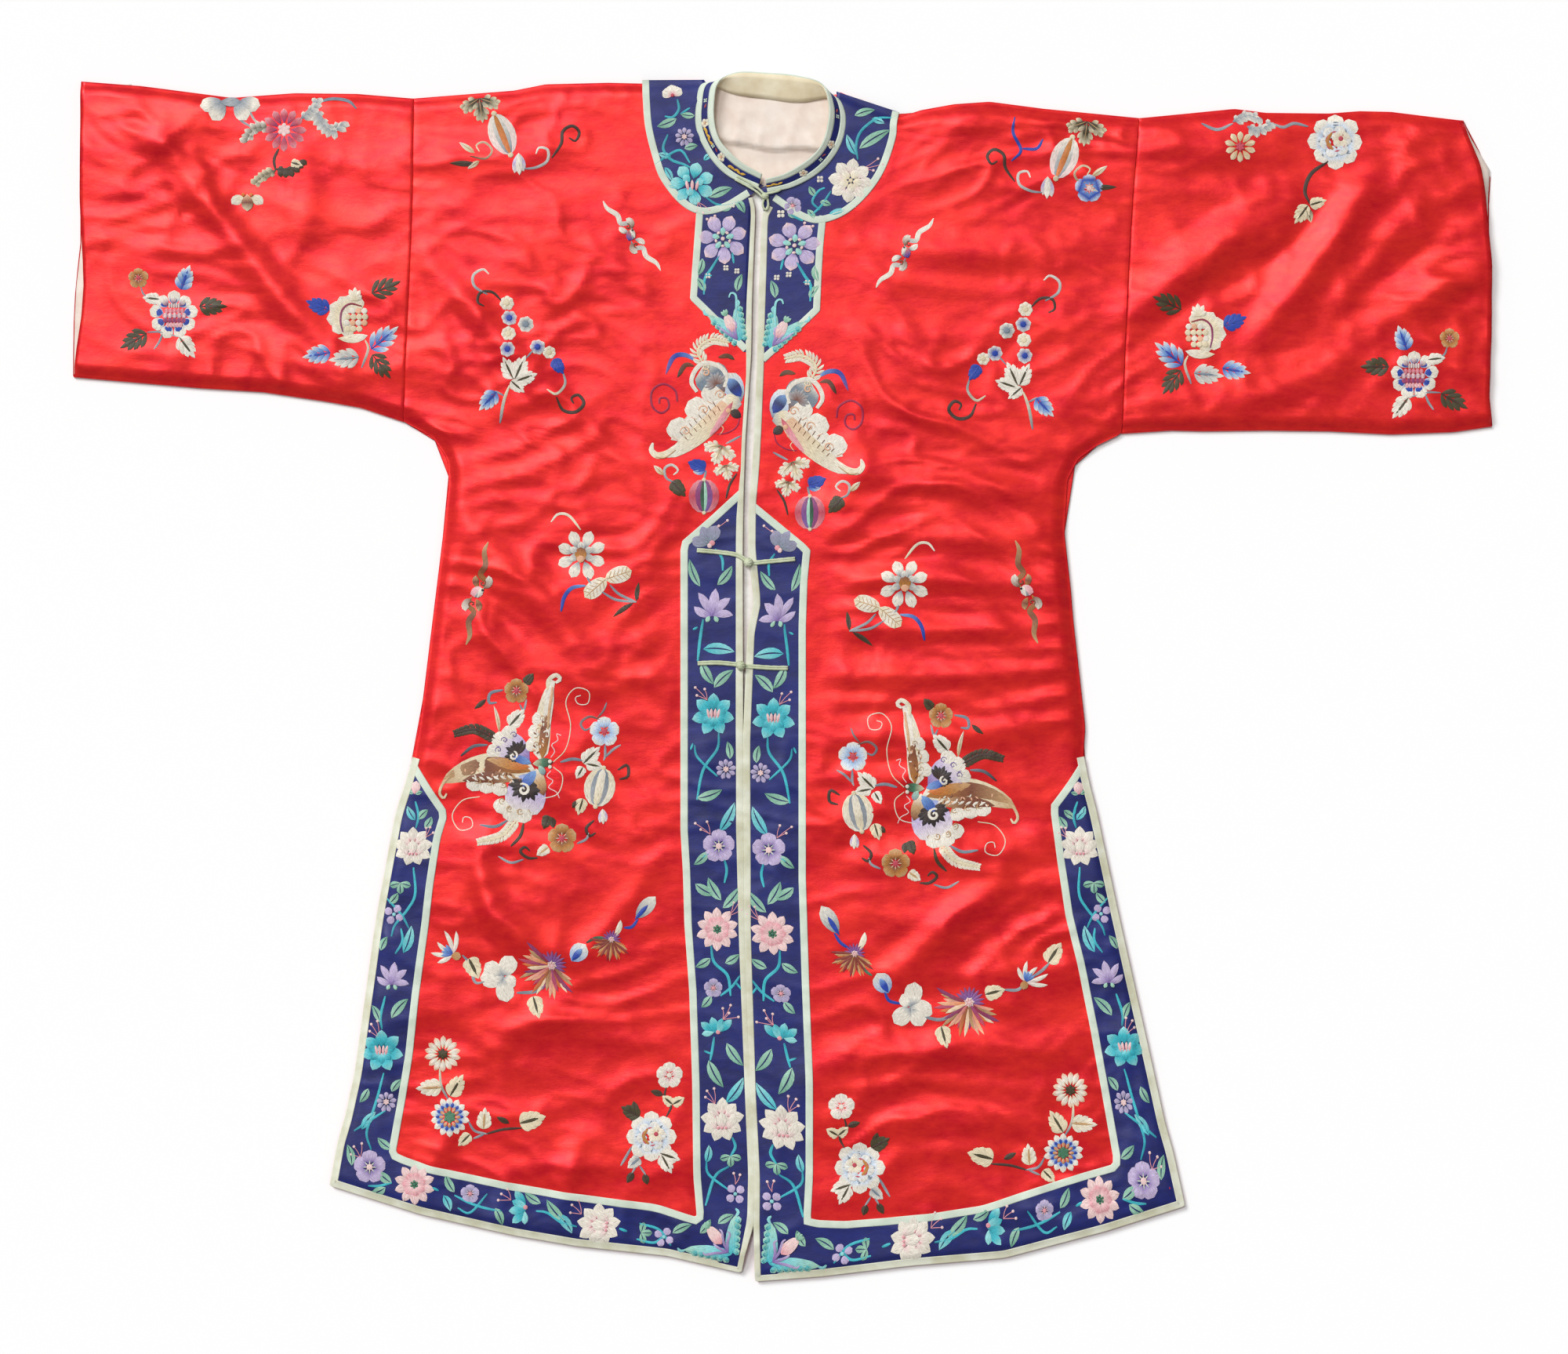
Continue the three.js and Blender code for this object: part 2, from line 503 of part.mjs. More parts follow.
function addBodyHalf(name, side) {
  const { solid, top } = bodyHalf(side);
  addSolid(`${name}_body`, solid, RED, 0.4);
  const row = (label) => side.rows.findIndex((r) => r.name === label);
  const slitRibbon = 4 + PANEL_CELLS;
  const slitBinding = slitRibbon + 2;
  const hem = row('hem');
  const from = { yokeEnd: row('chest'), tip: row('chest_tip'), point: row('point') };
  const ribbonRow = row('hem_band');
  const slit = row('slit');
  addSolid(`${name}_yoke`, trimOn(top, (i, j) => i < from.yokeEnd - 1 && j < 3), NAVY, 0.6);
  addSolid(`${name}_yoke_ribbon`, trimOn(top, (i, j) => (i < from.yokeEnd && j === 3)
    || (i === from.yokeEnd - 1 && j > 0 && j < 4)), PALE, 0.6);
  addSolid(`${name}_chest_band`, trimOn(top, (i, j) => i >= from.yokeEnd && i < from.tip
    && (j === 1 || j === 2)), NAVY, 0.6);
  addSolid(`${name}_chest_ribbon`, trimOn(top, (i, j) => i >= from.yokeEnd && i < from.tip
    && j === 3), PALE, 0.6);
  addSolid(`${name}_border_band`, trimOn(top, (i, j) => i >= from.point && i < hem - 1
    && (j === 1 || j === 2 || (i >= ribbonRow + 1 && j > 0 && j < slitBinding)
    || (i >= slit && j === slitRibbon + 1))), NAVY, 0.6);
  addSolid(`${name}_border_ribbon`, trimOn(top, (i, j) => (i >= from.point && i <= ribbonRow
    && j === 3) || (i === ribbonRow && j > 2 && j <= slitRibbon)
    || (i >= slit && i <= ribbonRow && j === slitRibbon)), PALE, 0.6);
  addSolid(`${name}_edge_binding`, trimOn(top, (i, j) => (i >= from.yokeEnd - 1 && j === 0)
    || (i >= from.tip && i < from.point && j < 4) || i === hem - 1
    || (i >= slit && j === slitBinding)), PALE, 0.6);
}

// A flattened tube: front rows, under fold, back rows, top fold, closed round.
// place(share along, share down, layer) gives x and y; heights come apart.
function flatTube(along, down, place, heights) {
  const outer = [];
  const inner = [];
  const cols = Array.from({ length: along + 1 }, (unused, k) => k / along);
  const level = (down2, layer) => {
    const spots = cols.map((s) => place(s, down2, layer));
    const z = spots.map(([x, y]) => heights(x, y));
    outer.push(spots.map(([x, y], k) => [x, y, layer === 'front' ? z[k].top : z[k].bottom]));
    inner.push(spots.map(([x, y], k) => [x, y, layer === 'front' ? z[k].under : z[k].floor]));
  };
  const bend = (end, way) => {
    for (let k = 1; k <= 3; k += 1) {
      const turn = Math.PI / 2 - k * Math.PI / 4;
      const share = way < 0 ? k / 4 : 1 - k / 4;
      const spin = way < 0 ? turn : -turn;
      const spots = cols.map((s) => {
        const a = place(s, end, 'front');
        const b = place(s, end, 'back');
        return [mix(a[0], b[0], share), mix(a[1], b[1], share)];
      });
      const z = spots.map(([x, y]) => heights(x, y));
      const ring = (high, low) => spots.map(([x, y], n) => {
        const radius = (z[n][high] - z[n][low]) / 2;
        return [x, y + way * radius * Math.cos(spin), (z[n][high] + z[n][low]) / 2
          + radius * Math.sin(spin)];
      });
      outer.push(ring('top', 'bottom'));
      inner.push(ring('under', 'floor'));
    }
  };
  for (let k = 0; k < down.length; k += 1) level(down[k], 'front');
  bend(down[down.length - 1], -1);
  [...down].reverse().filter((t, k) => k < 3 || k > down.length - 4 || k % 3 === 0)
    .forEach((t) => level(t, 'back'));
  bend(down[0], 1);
  outer.push(outer[0].map((p) => [...p]));
  inner.push(inner[0].map((p) => [...p]));
  return closeRound(outer, inner);
}

// Join the last row of a grid to its first one, so the cloth runs round.
function closeRound(outer, inner) {
  const rows = outer.length - 1;
  const cols = outer[0].length;
  const points = [];
  const faces = [];
  [outer, inner].forEach((grid) => grid.slice(0, rows).forEach((row) => row.forEach((p) => {
    points.push(...p);
  })));
  const at = (face, i, j) => face * rows * cols + (i % rows) * cols + j;
  for (let i = 0; i < rows; i += 1) {
    for (let j = 0; j < cols - 1; j += 1) {
      faces.push(at(0, i, j), at(0, i + 1, j), at(0, i + 1, j + 1));
      faces.push(at(0, i, j), at(0, i + 1, j + 1), at(0, i, j + 1));
      faces.push(at(1, i, j), at(1, i + 1, j + 1), at(1, i + 1, j));
      faces.push(at(1, i, j), at(1, i, j + 1), at(1, i + 1, j + 1));
    }
    const end = cols - 1;
    faces.push(at(0, i + 1, 0), at(0, i, 0), at(1, i, 0));
    faces.push(at(0, i + 1, 0), at(1, i, 0), at(1, i + 1, 0));
    faces.push(at(0, i, end), at(0, i + 1, end), at(1, i + 1, end));
    faces.push(at(0, i, end), at(1, i + 1, end), at(1, i, end));
  }
  return { points, faces };
}

const EDGE_ROWS = [3.4, 9];   // rows close to a folded edge, from its start

function sleeve(side) {
  const { rows, top, under, cuff, way } = side;
  const seam = rows.filter((row) => row.yOut > 200).map((row) => [row.yOut, row.out]);
  const seamX = (y) => valueAt(seam.slice(0, seam.findIndex(([h]) => h < 236) + 1), y, 1)
    + way * GAP;
  const spots = [0, EDGE_ROWS[0] / 290, EDGE_ROWS[1] / 290];
  for (let k = 1; k < 9; k += 1) spots.push(mix(spots[2], 1 - spots[2], k / 9));
  spots.push(1 - spots[2], 1 - spots[1], 1);
  const place = (s, t, layer) => {
    const column = layer === 'front' ? 1 : 2;
    const ends = [top, under].map((line, k) => {
      const low = k === 1;
      const startX = seamX(low ? under[0][1] + FOLD_OUT : top[0][1] - FOLD_OUT);
      const endX = valueAt(cuff, low ? cuff[cuff.length - 1][0] : cuff[0][0], column);
      const x = mix(startX, endX, s);
      return [x, valueAt(line, x, 1) + (low ? FOLD_OUT : -FOLD_OUT)];
    });
    const y = mix(ends[0][1], ends[1][1], t);
    const straight = mix(ends[0][0], ends[1][0], t);
    const seamOff = seamX(y) - mix(seamX(ends[0][1]), seamX(ends[1][1]), t);
    const cuffOff = valueAt(cuff, y, column)
      - mix(cuff[0][column], cuff[cuff.length - 1][column], t);
    return [straight + (1 - s) * seamOff + s * s * cuffOff, y];
  };
  const heights = (x, y) => {
    const low = frontUnder(x, y);
    return { top: low + CLOTH, under: low, floor: CLOTH, bottom: 0 };
  };
  return flatTube(10, spots, place, heights);
}

const LINING = 0.8;       // wall of the cuff lining
const LINING_DEEP = 45;   // how far it reaches into the sleeve
const LINING_IN = 15;     // how far its folds stay inside those of the sleeve
function cuffLining(side) {
  const { cuff, way } = side;
  const high = cuff[0][0] - LINING_IN;
  const low = cuff[cuff.length - 1][0] + LINING_IN;
  const down = [0, 0.12, 0.24, 0.36, 0.5, 0.64, 0.76, 0.88, 1];
  const place = (s, t, layer) => {
    const y = mix(high, low, t);
    const edge = valueAt(cuff, y, layer === 'front' ? 1 : 2) - way * (layer === 'front' ? 3 : 1.6);
    return [edge - way * LINING_DEEP * (1 - s), y];
  };
  const floor = CLOTH + GAP;
  const heights = () => ({
    bottom: floor, floor: floor + LINING, under: floor + LINING + GAP, top: floor + 2 * LINING + GAP,
  });
  return flatTube(1, down, place, heights);
}

// A flat strip on the back layer, from a table of y, left x, right x.
function strip(table, across, low, thick) {
  const grid = (z) => table.map(([y, a, b]) => Array.from({ length: across + 1 },
    (unused, k) => [mix(a, b, k / across), y, z]));
  return sheetSolid(grid(low + thick), grid(low), ALL);
}

// The collar and its two ribbons are strips of one ruled surface.
function collarStrip(fromShare, toShare, low, high, cells) {
  const foot = new THREE.CatmullRomCurve3(COLLAR.map((r) => new THREE.Vector3(r[0], r[1], r[2])));
  const free = new THREE.CatmullRomCurve3(COLLAR.map((r) => new THREE.Vector3(r[3], r[4], r[5])));
  const steps = (COLLAR.length - 1) * 2;
  const line = Array.from({ length: steps + 1 }, (unused, k) => ({
    foot: foot.getPoint(k / steps), free: free.getPoint(k / steps),
  }));
  const normals = line.map((r, k) => {
    const prev = line[Math.max(0, k - 1)];
    const next = line[Math.min(line.length - 1, k + 1)];
    const tangent = next.foot.clone().add(next.free).sub(prev.foot).sub(prev.free);
    return r.free.clone().sub(r.foot).cross(tangent).normalize();
  });
  const grid = (lift) => line.map((r, k) => Array.from({ length: cells + 1 }, (unused, n) => {
    const share = mix(fromShare, toShare, n / cells);
    const p = r.foot.clone().lerp(r.free, share).addScaledVector(normals[k], lift);
    return [p.x, p.y, p.z];
  }));
  return sheetSolid(grid(high), grid(low), ALL);
}

// A cord laid along points x, y, z with an oval section.
function cord(points, wide, thick) {
  const sides = 8;
  const curve = new THREE.CatmullRomCurve3(points.map((p) => new THREE.Vector3(...p)));
  const steps = (points.length - 1) * 3;
  const outer = [];
  const faces = [];
  for (let k = 0; k <= steps; k += 1) {
    const p = curve.getPoint(k / steps);
    const t = curve.getTangent(k / steps);
    const flat = new THREE.Vector2(-t.y, t.x).normalize();
    const full = k === 0 || k === steps ? 0.7 : 1;
    for (let n = 0; n < sides; n += 1) {
      const turn = 2 * Math.PI * n / sides;
      const out = full * wide / 2 * Math.cos(turn);
      outer.push(p.x + flat.x * out, p.y + flat.y * out, p.z + full * thick / 2 * Math.sin(turn));
    }
  }
  const at = (k, n) => k * sides + (n % sides);
  for (let k = 0; k < steps; k += 1) {
    for (let n = 0; n < sides; n += 1) {
      faces.push(at(k, n), at(k, n + 1), at(k + 1, n + 1));
      faces.push(at(k, n), at(k + 1, n + 1), at(k + 1, n));
    }
  }
  for (let n = 1; n < sides - 1; n += 1) {
    faces.push(at(0, 0), at(0, n + 1), at(0, n));
    faces.push(at(steps, 0), at(steps, n), at(steps, n + 1));
  }
  return { points: outer, faces };
}

function knotBall(centre, radius, squash) {
  const rings = 7;
  const sides = 12;
  const points = [centre[0], centre[1], centre[2] - radius * squash];
  const faces = [];
  for (let k = 1; k < rings; k += 1) {
    const rise = -Math.PI / 2 + Math.PI * k / rings;
    for (let n = 0; n < sides; n += 1) {
      const turn = 2 * Math.PI * n / sides;
      const out = radius * Math.cos(rise) * (1 + 0.06 * Math.cos(3 * turn));
      points.push(centre[0] + out * Math.cos(turn), centre[1] + out * Math.sin(turn),
        centre[2] + radius * squash * Math.sin(rise));
    }
  }
  points.push(centre[0], centre[1], centre[2] + radius * squash);
  const at = (k, n) => 1 + (k - 1) * sides + (n % sides);
  const top = 1 + (rings - 1) * sides;
  for (let n = 0; n < sides; n += 1) {
    faces.push(0, at(1, n + 1), at(1, n));
    faces.push(top, at(rings - 1, n), at(rings - 1, n + 1));
    for (let k = 1; k < rings - 1; k += 1) {
      faces.push(at(k, n), at(k, n + 1), at(k + 1, n + 1));
      faces.push(at(k, n), at(k + 1, n + 1), at(k + 1, n));
    }
  }
  return { points, faces };
}

Object.entries(SIDES).forEach(([name, side]) => {
  addBodyHalf(name, side);
  addSolid(`${name}_sleeve`, sleeve(side), RED, 0.4);
  addSolid(`${name}_cuff_lining`, cuffLining(side), CREAM, 0.7);
});
addSolid('neck_lining', strip(NECK_LINING, 4, CLOTH + GAP, TRIM), CREAM, 0.7);
addSolid('front_underlap', strip(UNDERLAP, 3, CLOTH + GAP, TRIM), WHITE, 0.5);

const HALF = COLLAR_WALL / 2;
addSolid('collar', collarStrip(0, 1, -HALF, HALF, 3), BEIGE, 0.7);
addSolid('collar_seam_ribbon', collarStrip(0, 0.29, HALF + GAP, HALF + GAP + 0.8, 1), PALE, 0.6);
addSolid('collar_band', collarStrip(0.33, 0.65, HALF + GAP, HALF + GAP + 0.8, 1), NAVY, 0.6);
addSolid('collar_top_ribbon', collarStrip(0.69, 1, HALF + GAP, HALF + GAP + 0.8, 1), PALE, 0.6);

// Knot buttons: the cords lie on the bands, the knot sits on the opening.
const FLAT_TOP = 2 * CLOTH + GAP + LOFT + GAP + TRIM;   // top of a band there
const CORD_WIDE = 5;
const CORD_THICK = 2.4;
const KNOT = 4.4;
const cordZ = FLAT_TOP + GAP + CORD_THICK / 2;
const FROGS = [
  ['upper', [[-78.8, 118.0], [-58, 116.0], [-44, 114.6]], [-31.7, 106.2],
    [[-24.4, 105.8], [-8, 107.6], [11.2, 109.4]]],
  ['lower', [[-76.6, 13.6], [-60, 14.2], [-47, 14.0]], [-38.5, 11.6],
    [[-31, 10.6], [-12, 9.6], [4.0, 9.3]]],
];
FROGS.forEach(([name, loop, knot, stem]) => {
  addSolid(`${name}_frog_loop`, cord(loop.map((p) => [...p, cordZ]), CORD_WIDE, CORD_THICK), PALE, 0.6);
  addSolid(`${name}_frog_stem`, cord(stem.map((p) => [...p, cordZ]), CORD_WIDE, CORD_THICK), PALE, 0.6);
  addSolid(`${name}_frog_knot`, knotBall([...knot, FLAT_TOP + GAP + KNOT * 0.8], KNOT, 0.8), PALE, 0.6);
});
addSolid('neck_frog_knot', knotBall([-18.5, 446.6, FLAT_TOP + 3.1], 3.2, 0.85), NAVY, 0.6);

// Origin at the middle of the underside.
const box = new THREE.Box3().setFromObject(robe);
const shift = new THREE.Vector3(-(box.min.x + box.max.x) / 2, -(box.min.y + box.max.y) / 2, -box.min.z);
robe.children.forEach((mesh) => mesh.geometry.translate(shift.x, shift.y, shift.z));

export default robe;
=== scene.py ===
"""Embroidered silk robe, laid flat with its front up.

Plans are drawn in steps of 0.72 mm, x to the right and y down, as seen from
above; heights are in millimetres over the surface that the robe lies on.
"""
import bpy
import math
import numpy as np
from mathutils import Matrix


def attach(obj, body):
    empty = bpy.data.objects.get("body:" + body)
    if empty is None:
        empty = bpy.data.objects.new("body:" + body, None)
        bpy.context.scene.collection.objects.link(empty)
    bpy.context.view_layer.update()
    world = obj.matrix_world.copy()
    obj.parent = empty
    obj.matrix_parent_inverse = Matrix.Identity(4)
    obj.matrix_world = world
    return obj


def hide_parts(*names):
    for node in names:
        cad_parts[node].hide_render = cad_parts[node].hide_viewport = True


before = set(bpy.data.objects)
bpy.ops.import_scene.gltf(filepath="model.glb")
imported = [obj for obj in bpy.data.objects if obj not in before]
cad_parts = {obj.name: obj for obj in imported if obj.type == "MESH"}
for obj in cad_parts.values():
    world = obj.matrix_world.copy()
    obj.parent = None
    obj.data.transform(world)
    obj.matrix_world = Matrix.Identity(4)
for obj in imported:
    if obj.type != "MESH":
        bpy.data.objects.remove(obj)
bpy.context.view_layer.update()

STEP = 0.00072           # one plan step, in metres
MM = 0.001
MIDDLE = (998.5, 865.0)  # plan point over the origin
SHIFT_Y = -0.001245      # the origin is the middle of the whole outline
CLOTH = 1.5              # front layer of the solids, mm
GAP = 0.3                # between front and back layer, mm
LOFT, LOFT_RUN = 2.8, 8.5  # how high the front puffs up, and over how much of its edge, mm
FOLD_OUT = CLOTH + GAP / 2
SATIN = 0.8              # satin as it is drawn here, mm
PLAN_SIZE = (2000, 1727)
UNDERARM = {"left": 560, "right": 565}  # row of the centre edge where the sleeve ends
SIDE_SEAM = {"left": (563, 975), "right": (563, 970)}
SHOULDER_FADE = 104      # rows over which the shoulder's bow dies out
HEM_FADE = (1073.3, 479.2)  # row where the hem's bow starts, and over how many rows
NECK_BACK = 536          # back of the neck over the origin, mm
SEAM_AT, SEAM_LEAN = -9, 0.0207  # centre back seam: x at the neck in mm, drift per mm down
BACK_ROWS = (1590, 1500, 1400, 1300, 1200, 1100, 1000, 900, 800, 700, 620, 585, 563, 500, 400,
             300, 200)
# The back hem is cut up behind the front opening: plan x, half width, height, then the row
# where that starts and over how many rows.
NOTCH_X, NOTCH_WIDE, NOTCH_HIGH, NOTCH_FROM, NOTCH_RUN = 954, 20, 95, 1480, 110
CUFF_DEEP = 45           # lining built inside each cuff, mm
rng = np.random.default_rng(11)


def metres(x, y, z):
    """Plan x, plan y, height in mm to metres in the frame."""
    x, y, z = np.broadcast_arrays(x, y, z)
    return np.stack([(x - MIDDLE[0]) * STEP, (MIDDLE[1] - y) * STEP + SHIFT_Y, z * MM], -1)


# ---------------------------------------------------------------- plans
# A row of a body half: y at the centre edge, y at the outer edge,
# x of the centre edge, x of the outer edge.
LEFT_ROWS = np.array([
    (104.2, 127.2, 892.9, 527.9), (135, 160, 887, 527.5), (165, 190, 887.9, 527),
    (195, 215, 897, 527), (225, 240, 920, 526.6), (245, 258.1, 957, 526),
    (267.8, 280.3, 962.9, 525.4), (381, 384, 958.5, 521), (453.1, 450, 957.5, 517.9),
    (545, 525.8, 951, 515), (560, 538.1, 950, 514.1), (580, 556, 949.5, 550),
    (605, 585, 948.6, 570), (625, 615, 947.9, 572), (693.1, 685, 946.7, 564.5),
    (935, 921.9, 947.2, 535.4), (980, 966, 947.7, 527), (1016.9, 1001, 947.8, 517),
    (1053.1, 1036.9, 947.9, 505), (1190, 1170, 949.1, 480.4), (1390, 1368.1, 956, 452.9),
    (1495, 1426.9, 959.3, 440), (1555, 1456.9, 958.5, 431), (1623.1, 1511.9, 945, 421)])
RIGHT_ROWS = np.array([
    (119.2, 152.2, 1072, 1452.9), (142.8, 174.7, 1080, 1451), (171.9, 200, 1077, 1449.1),
    (198.1, 224, 1064.1, 1447), (225, 248.1, 1040, 1445), (251.9, 270, 985, 1444.1),
    (276.1, 292.8, 972.2, 1442.5), (396, 401.9, 967.9, 1437), (466.9, 468.1, 966.3, 1434.1),
    (550, 540, 962.9, 1431.6), (565, 553.1, 962, 1431), (585, 568.1, 961, 1400),
    (610, 585, 959.1, 1376), (641.5, 611.9, 956, 1362), (700.6, 680, 955.4, 1357.9),
    (769, 751.9, 962, 1366), (806, 790, 954.1, 1369.1), (940, 926.9, 948.6, 1384.6),
    (985, 965, 948.6, 1382), (1020, 1000, 948.8, 1389.1), (1055, 1033.1, 948.9, 1397.9),
    (1195, 1168.1, 950, 1426.6), (1395, 1360, 957.2, 1469.5), (1500, 1431.1, 962.5, 1485),
    (1561.9, 1470, 962, 1496), (1634, 1538.1, 963.6, 1511)])
# Bows of the shoulder and of the hem: share from centre to outer edge, steps down.
BOWS = {
    "left": (
        [(0, 0), (.2, -.6), (.32, -4.4), (.54, -7.5), (.65, -2), (1, 0)],
        [(0, 0), (.18, -1.7), (.4, 10.3), (.55, 13.6), (.78, 12), (1, 0)]),
    "right": (
        [(0, 0), (.08, 10.6), (.2, 25), (.27, 14), (.38, 2.8), (.5, -4.4), (.68, -1.4), (1, 0)],
        [(0, 0), (.15, 8.3), (.36, 14.6), (.58, 25.7), (.82, 14), (1, 0)])}
TOPS = {
    "left": [
        (527.9, 125), (455, 119), (375, 118.1), (295, 124), (250, 118.1), (180, 109),
        (102.9, 103.1)],
    "right": [
        (1452.9, 150), (1495, 146), (1575, 138.1), (1615, 143.1), (1695, 144), (1735, 141),
        (1775, 141.9), (1815, 146.9), (1866, 153.1)]}
UNDERS = {
    "left": [
        (514.1, 538.1), (460, 520), (415, 511.9), (335, 500), (255, 495), (175, 488.1),
        (94.1, 481)],
    "right": [
        (1431, 553.1), (1495, 549), (1535, 550), (1615, 549), (1695, 550), (1775, 554), (1855, 551),
        (1902.9, 544)]}
# Cuffs: y, x of the front layer's edge, x of the back layer's edge.
CUFFS = {
    "left": [
        (103.1, 102.9, 102.9), (185.8, 102.9, 101.4), (255.3, 102, 101.3), (310.8, 105, 101.4),
        (363.6, 107, 95.2), (405.3, 104.1, 92.9), (445.6, 97.9, 92.2), (481, 94.1, 92)],
    "right": [
        (153.1, 1866, 1867.9), (174.7, 1872.9, 1877.9), (205.3, 1886, 1896),
        (216.4, 1889.1, 1902.9), (251.1, 1895, 1900.4), (290, 1897.9, 1900), (340, 1902, 1904.1),
        (420.6, 1902, 1902.9), (505.3, 1899.1, 1901), (544, 1902.9, 1905)]}
# Ridges of the front: three points of a curve, height, half width (both mm).
FOLDS = [
    (205, 171, 300, 330, 440, 461, 6, 15), (150, 165, 190, 175, 215, 190, 3, 9),
    (374, 164, 415, 254, 367, 330, 2.5, 16), (546, 330, 624, 421, 700, 500, 4.5, 14),
    (521, 198, 624, 212, 721, 184, 3, 14), (560, 640, 665, 740, 760, 850, 4.5, 15),
    (582, 782, 679, 851, 790, 893, 2.5, 16), (610, 1080, 601, 1191, 740, 1221, 5, 15),
    (651, 1323, 721, 1282, 790, 1309, 3, 16), (544, 1521, 551, 1476, 582, 1421, 3, 12),
    (715, 1559, 721, 1511, 742, 1448, 3, 12), (1640, 259, 1560, 309, 1440, 400, 6.5, 17),
    (1750, 221, 1671, 359, 1600, 430, 6, 15), (1890, 330, 1832, 379, 1769, 400, 5, 15),
    (1478, 184, 1554, 198, 1624, 191, 3, 14), (1721, 448, 1651, 497, 1554, 518, 3, 13),
    (1082, 601, 1207, 621, 1362, 632, 3.5, 11), (1061, 671, 1193, 696, 1332, 687, 3, 11),
    (1054, 733, 1193, 740, 1346, 748, 4, 11), (1061, 796, 1207, 809, 1353, 798, 3.5, 11),
    (1054, 858, 1207, 868, 1362, 851, 4, 11), (1061, 934, 1193, 951, 1367, 918, 3.5, 12),
    (1137, 309, 1248, 337, 1401, 309, 3, 15), (1130, 1259, 1193, 1184, 1271, 1130, 5, 15),
    (1082, 1108, 1207, 1073, 1318, 1094, 3, 13), (1082, 1351, 1207, 1323, 1360, 1344, 3.5, 14),
    (1096, 1448, 1193, 1414, 1318, 1434, 3, 14)]
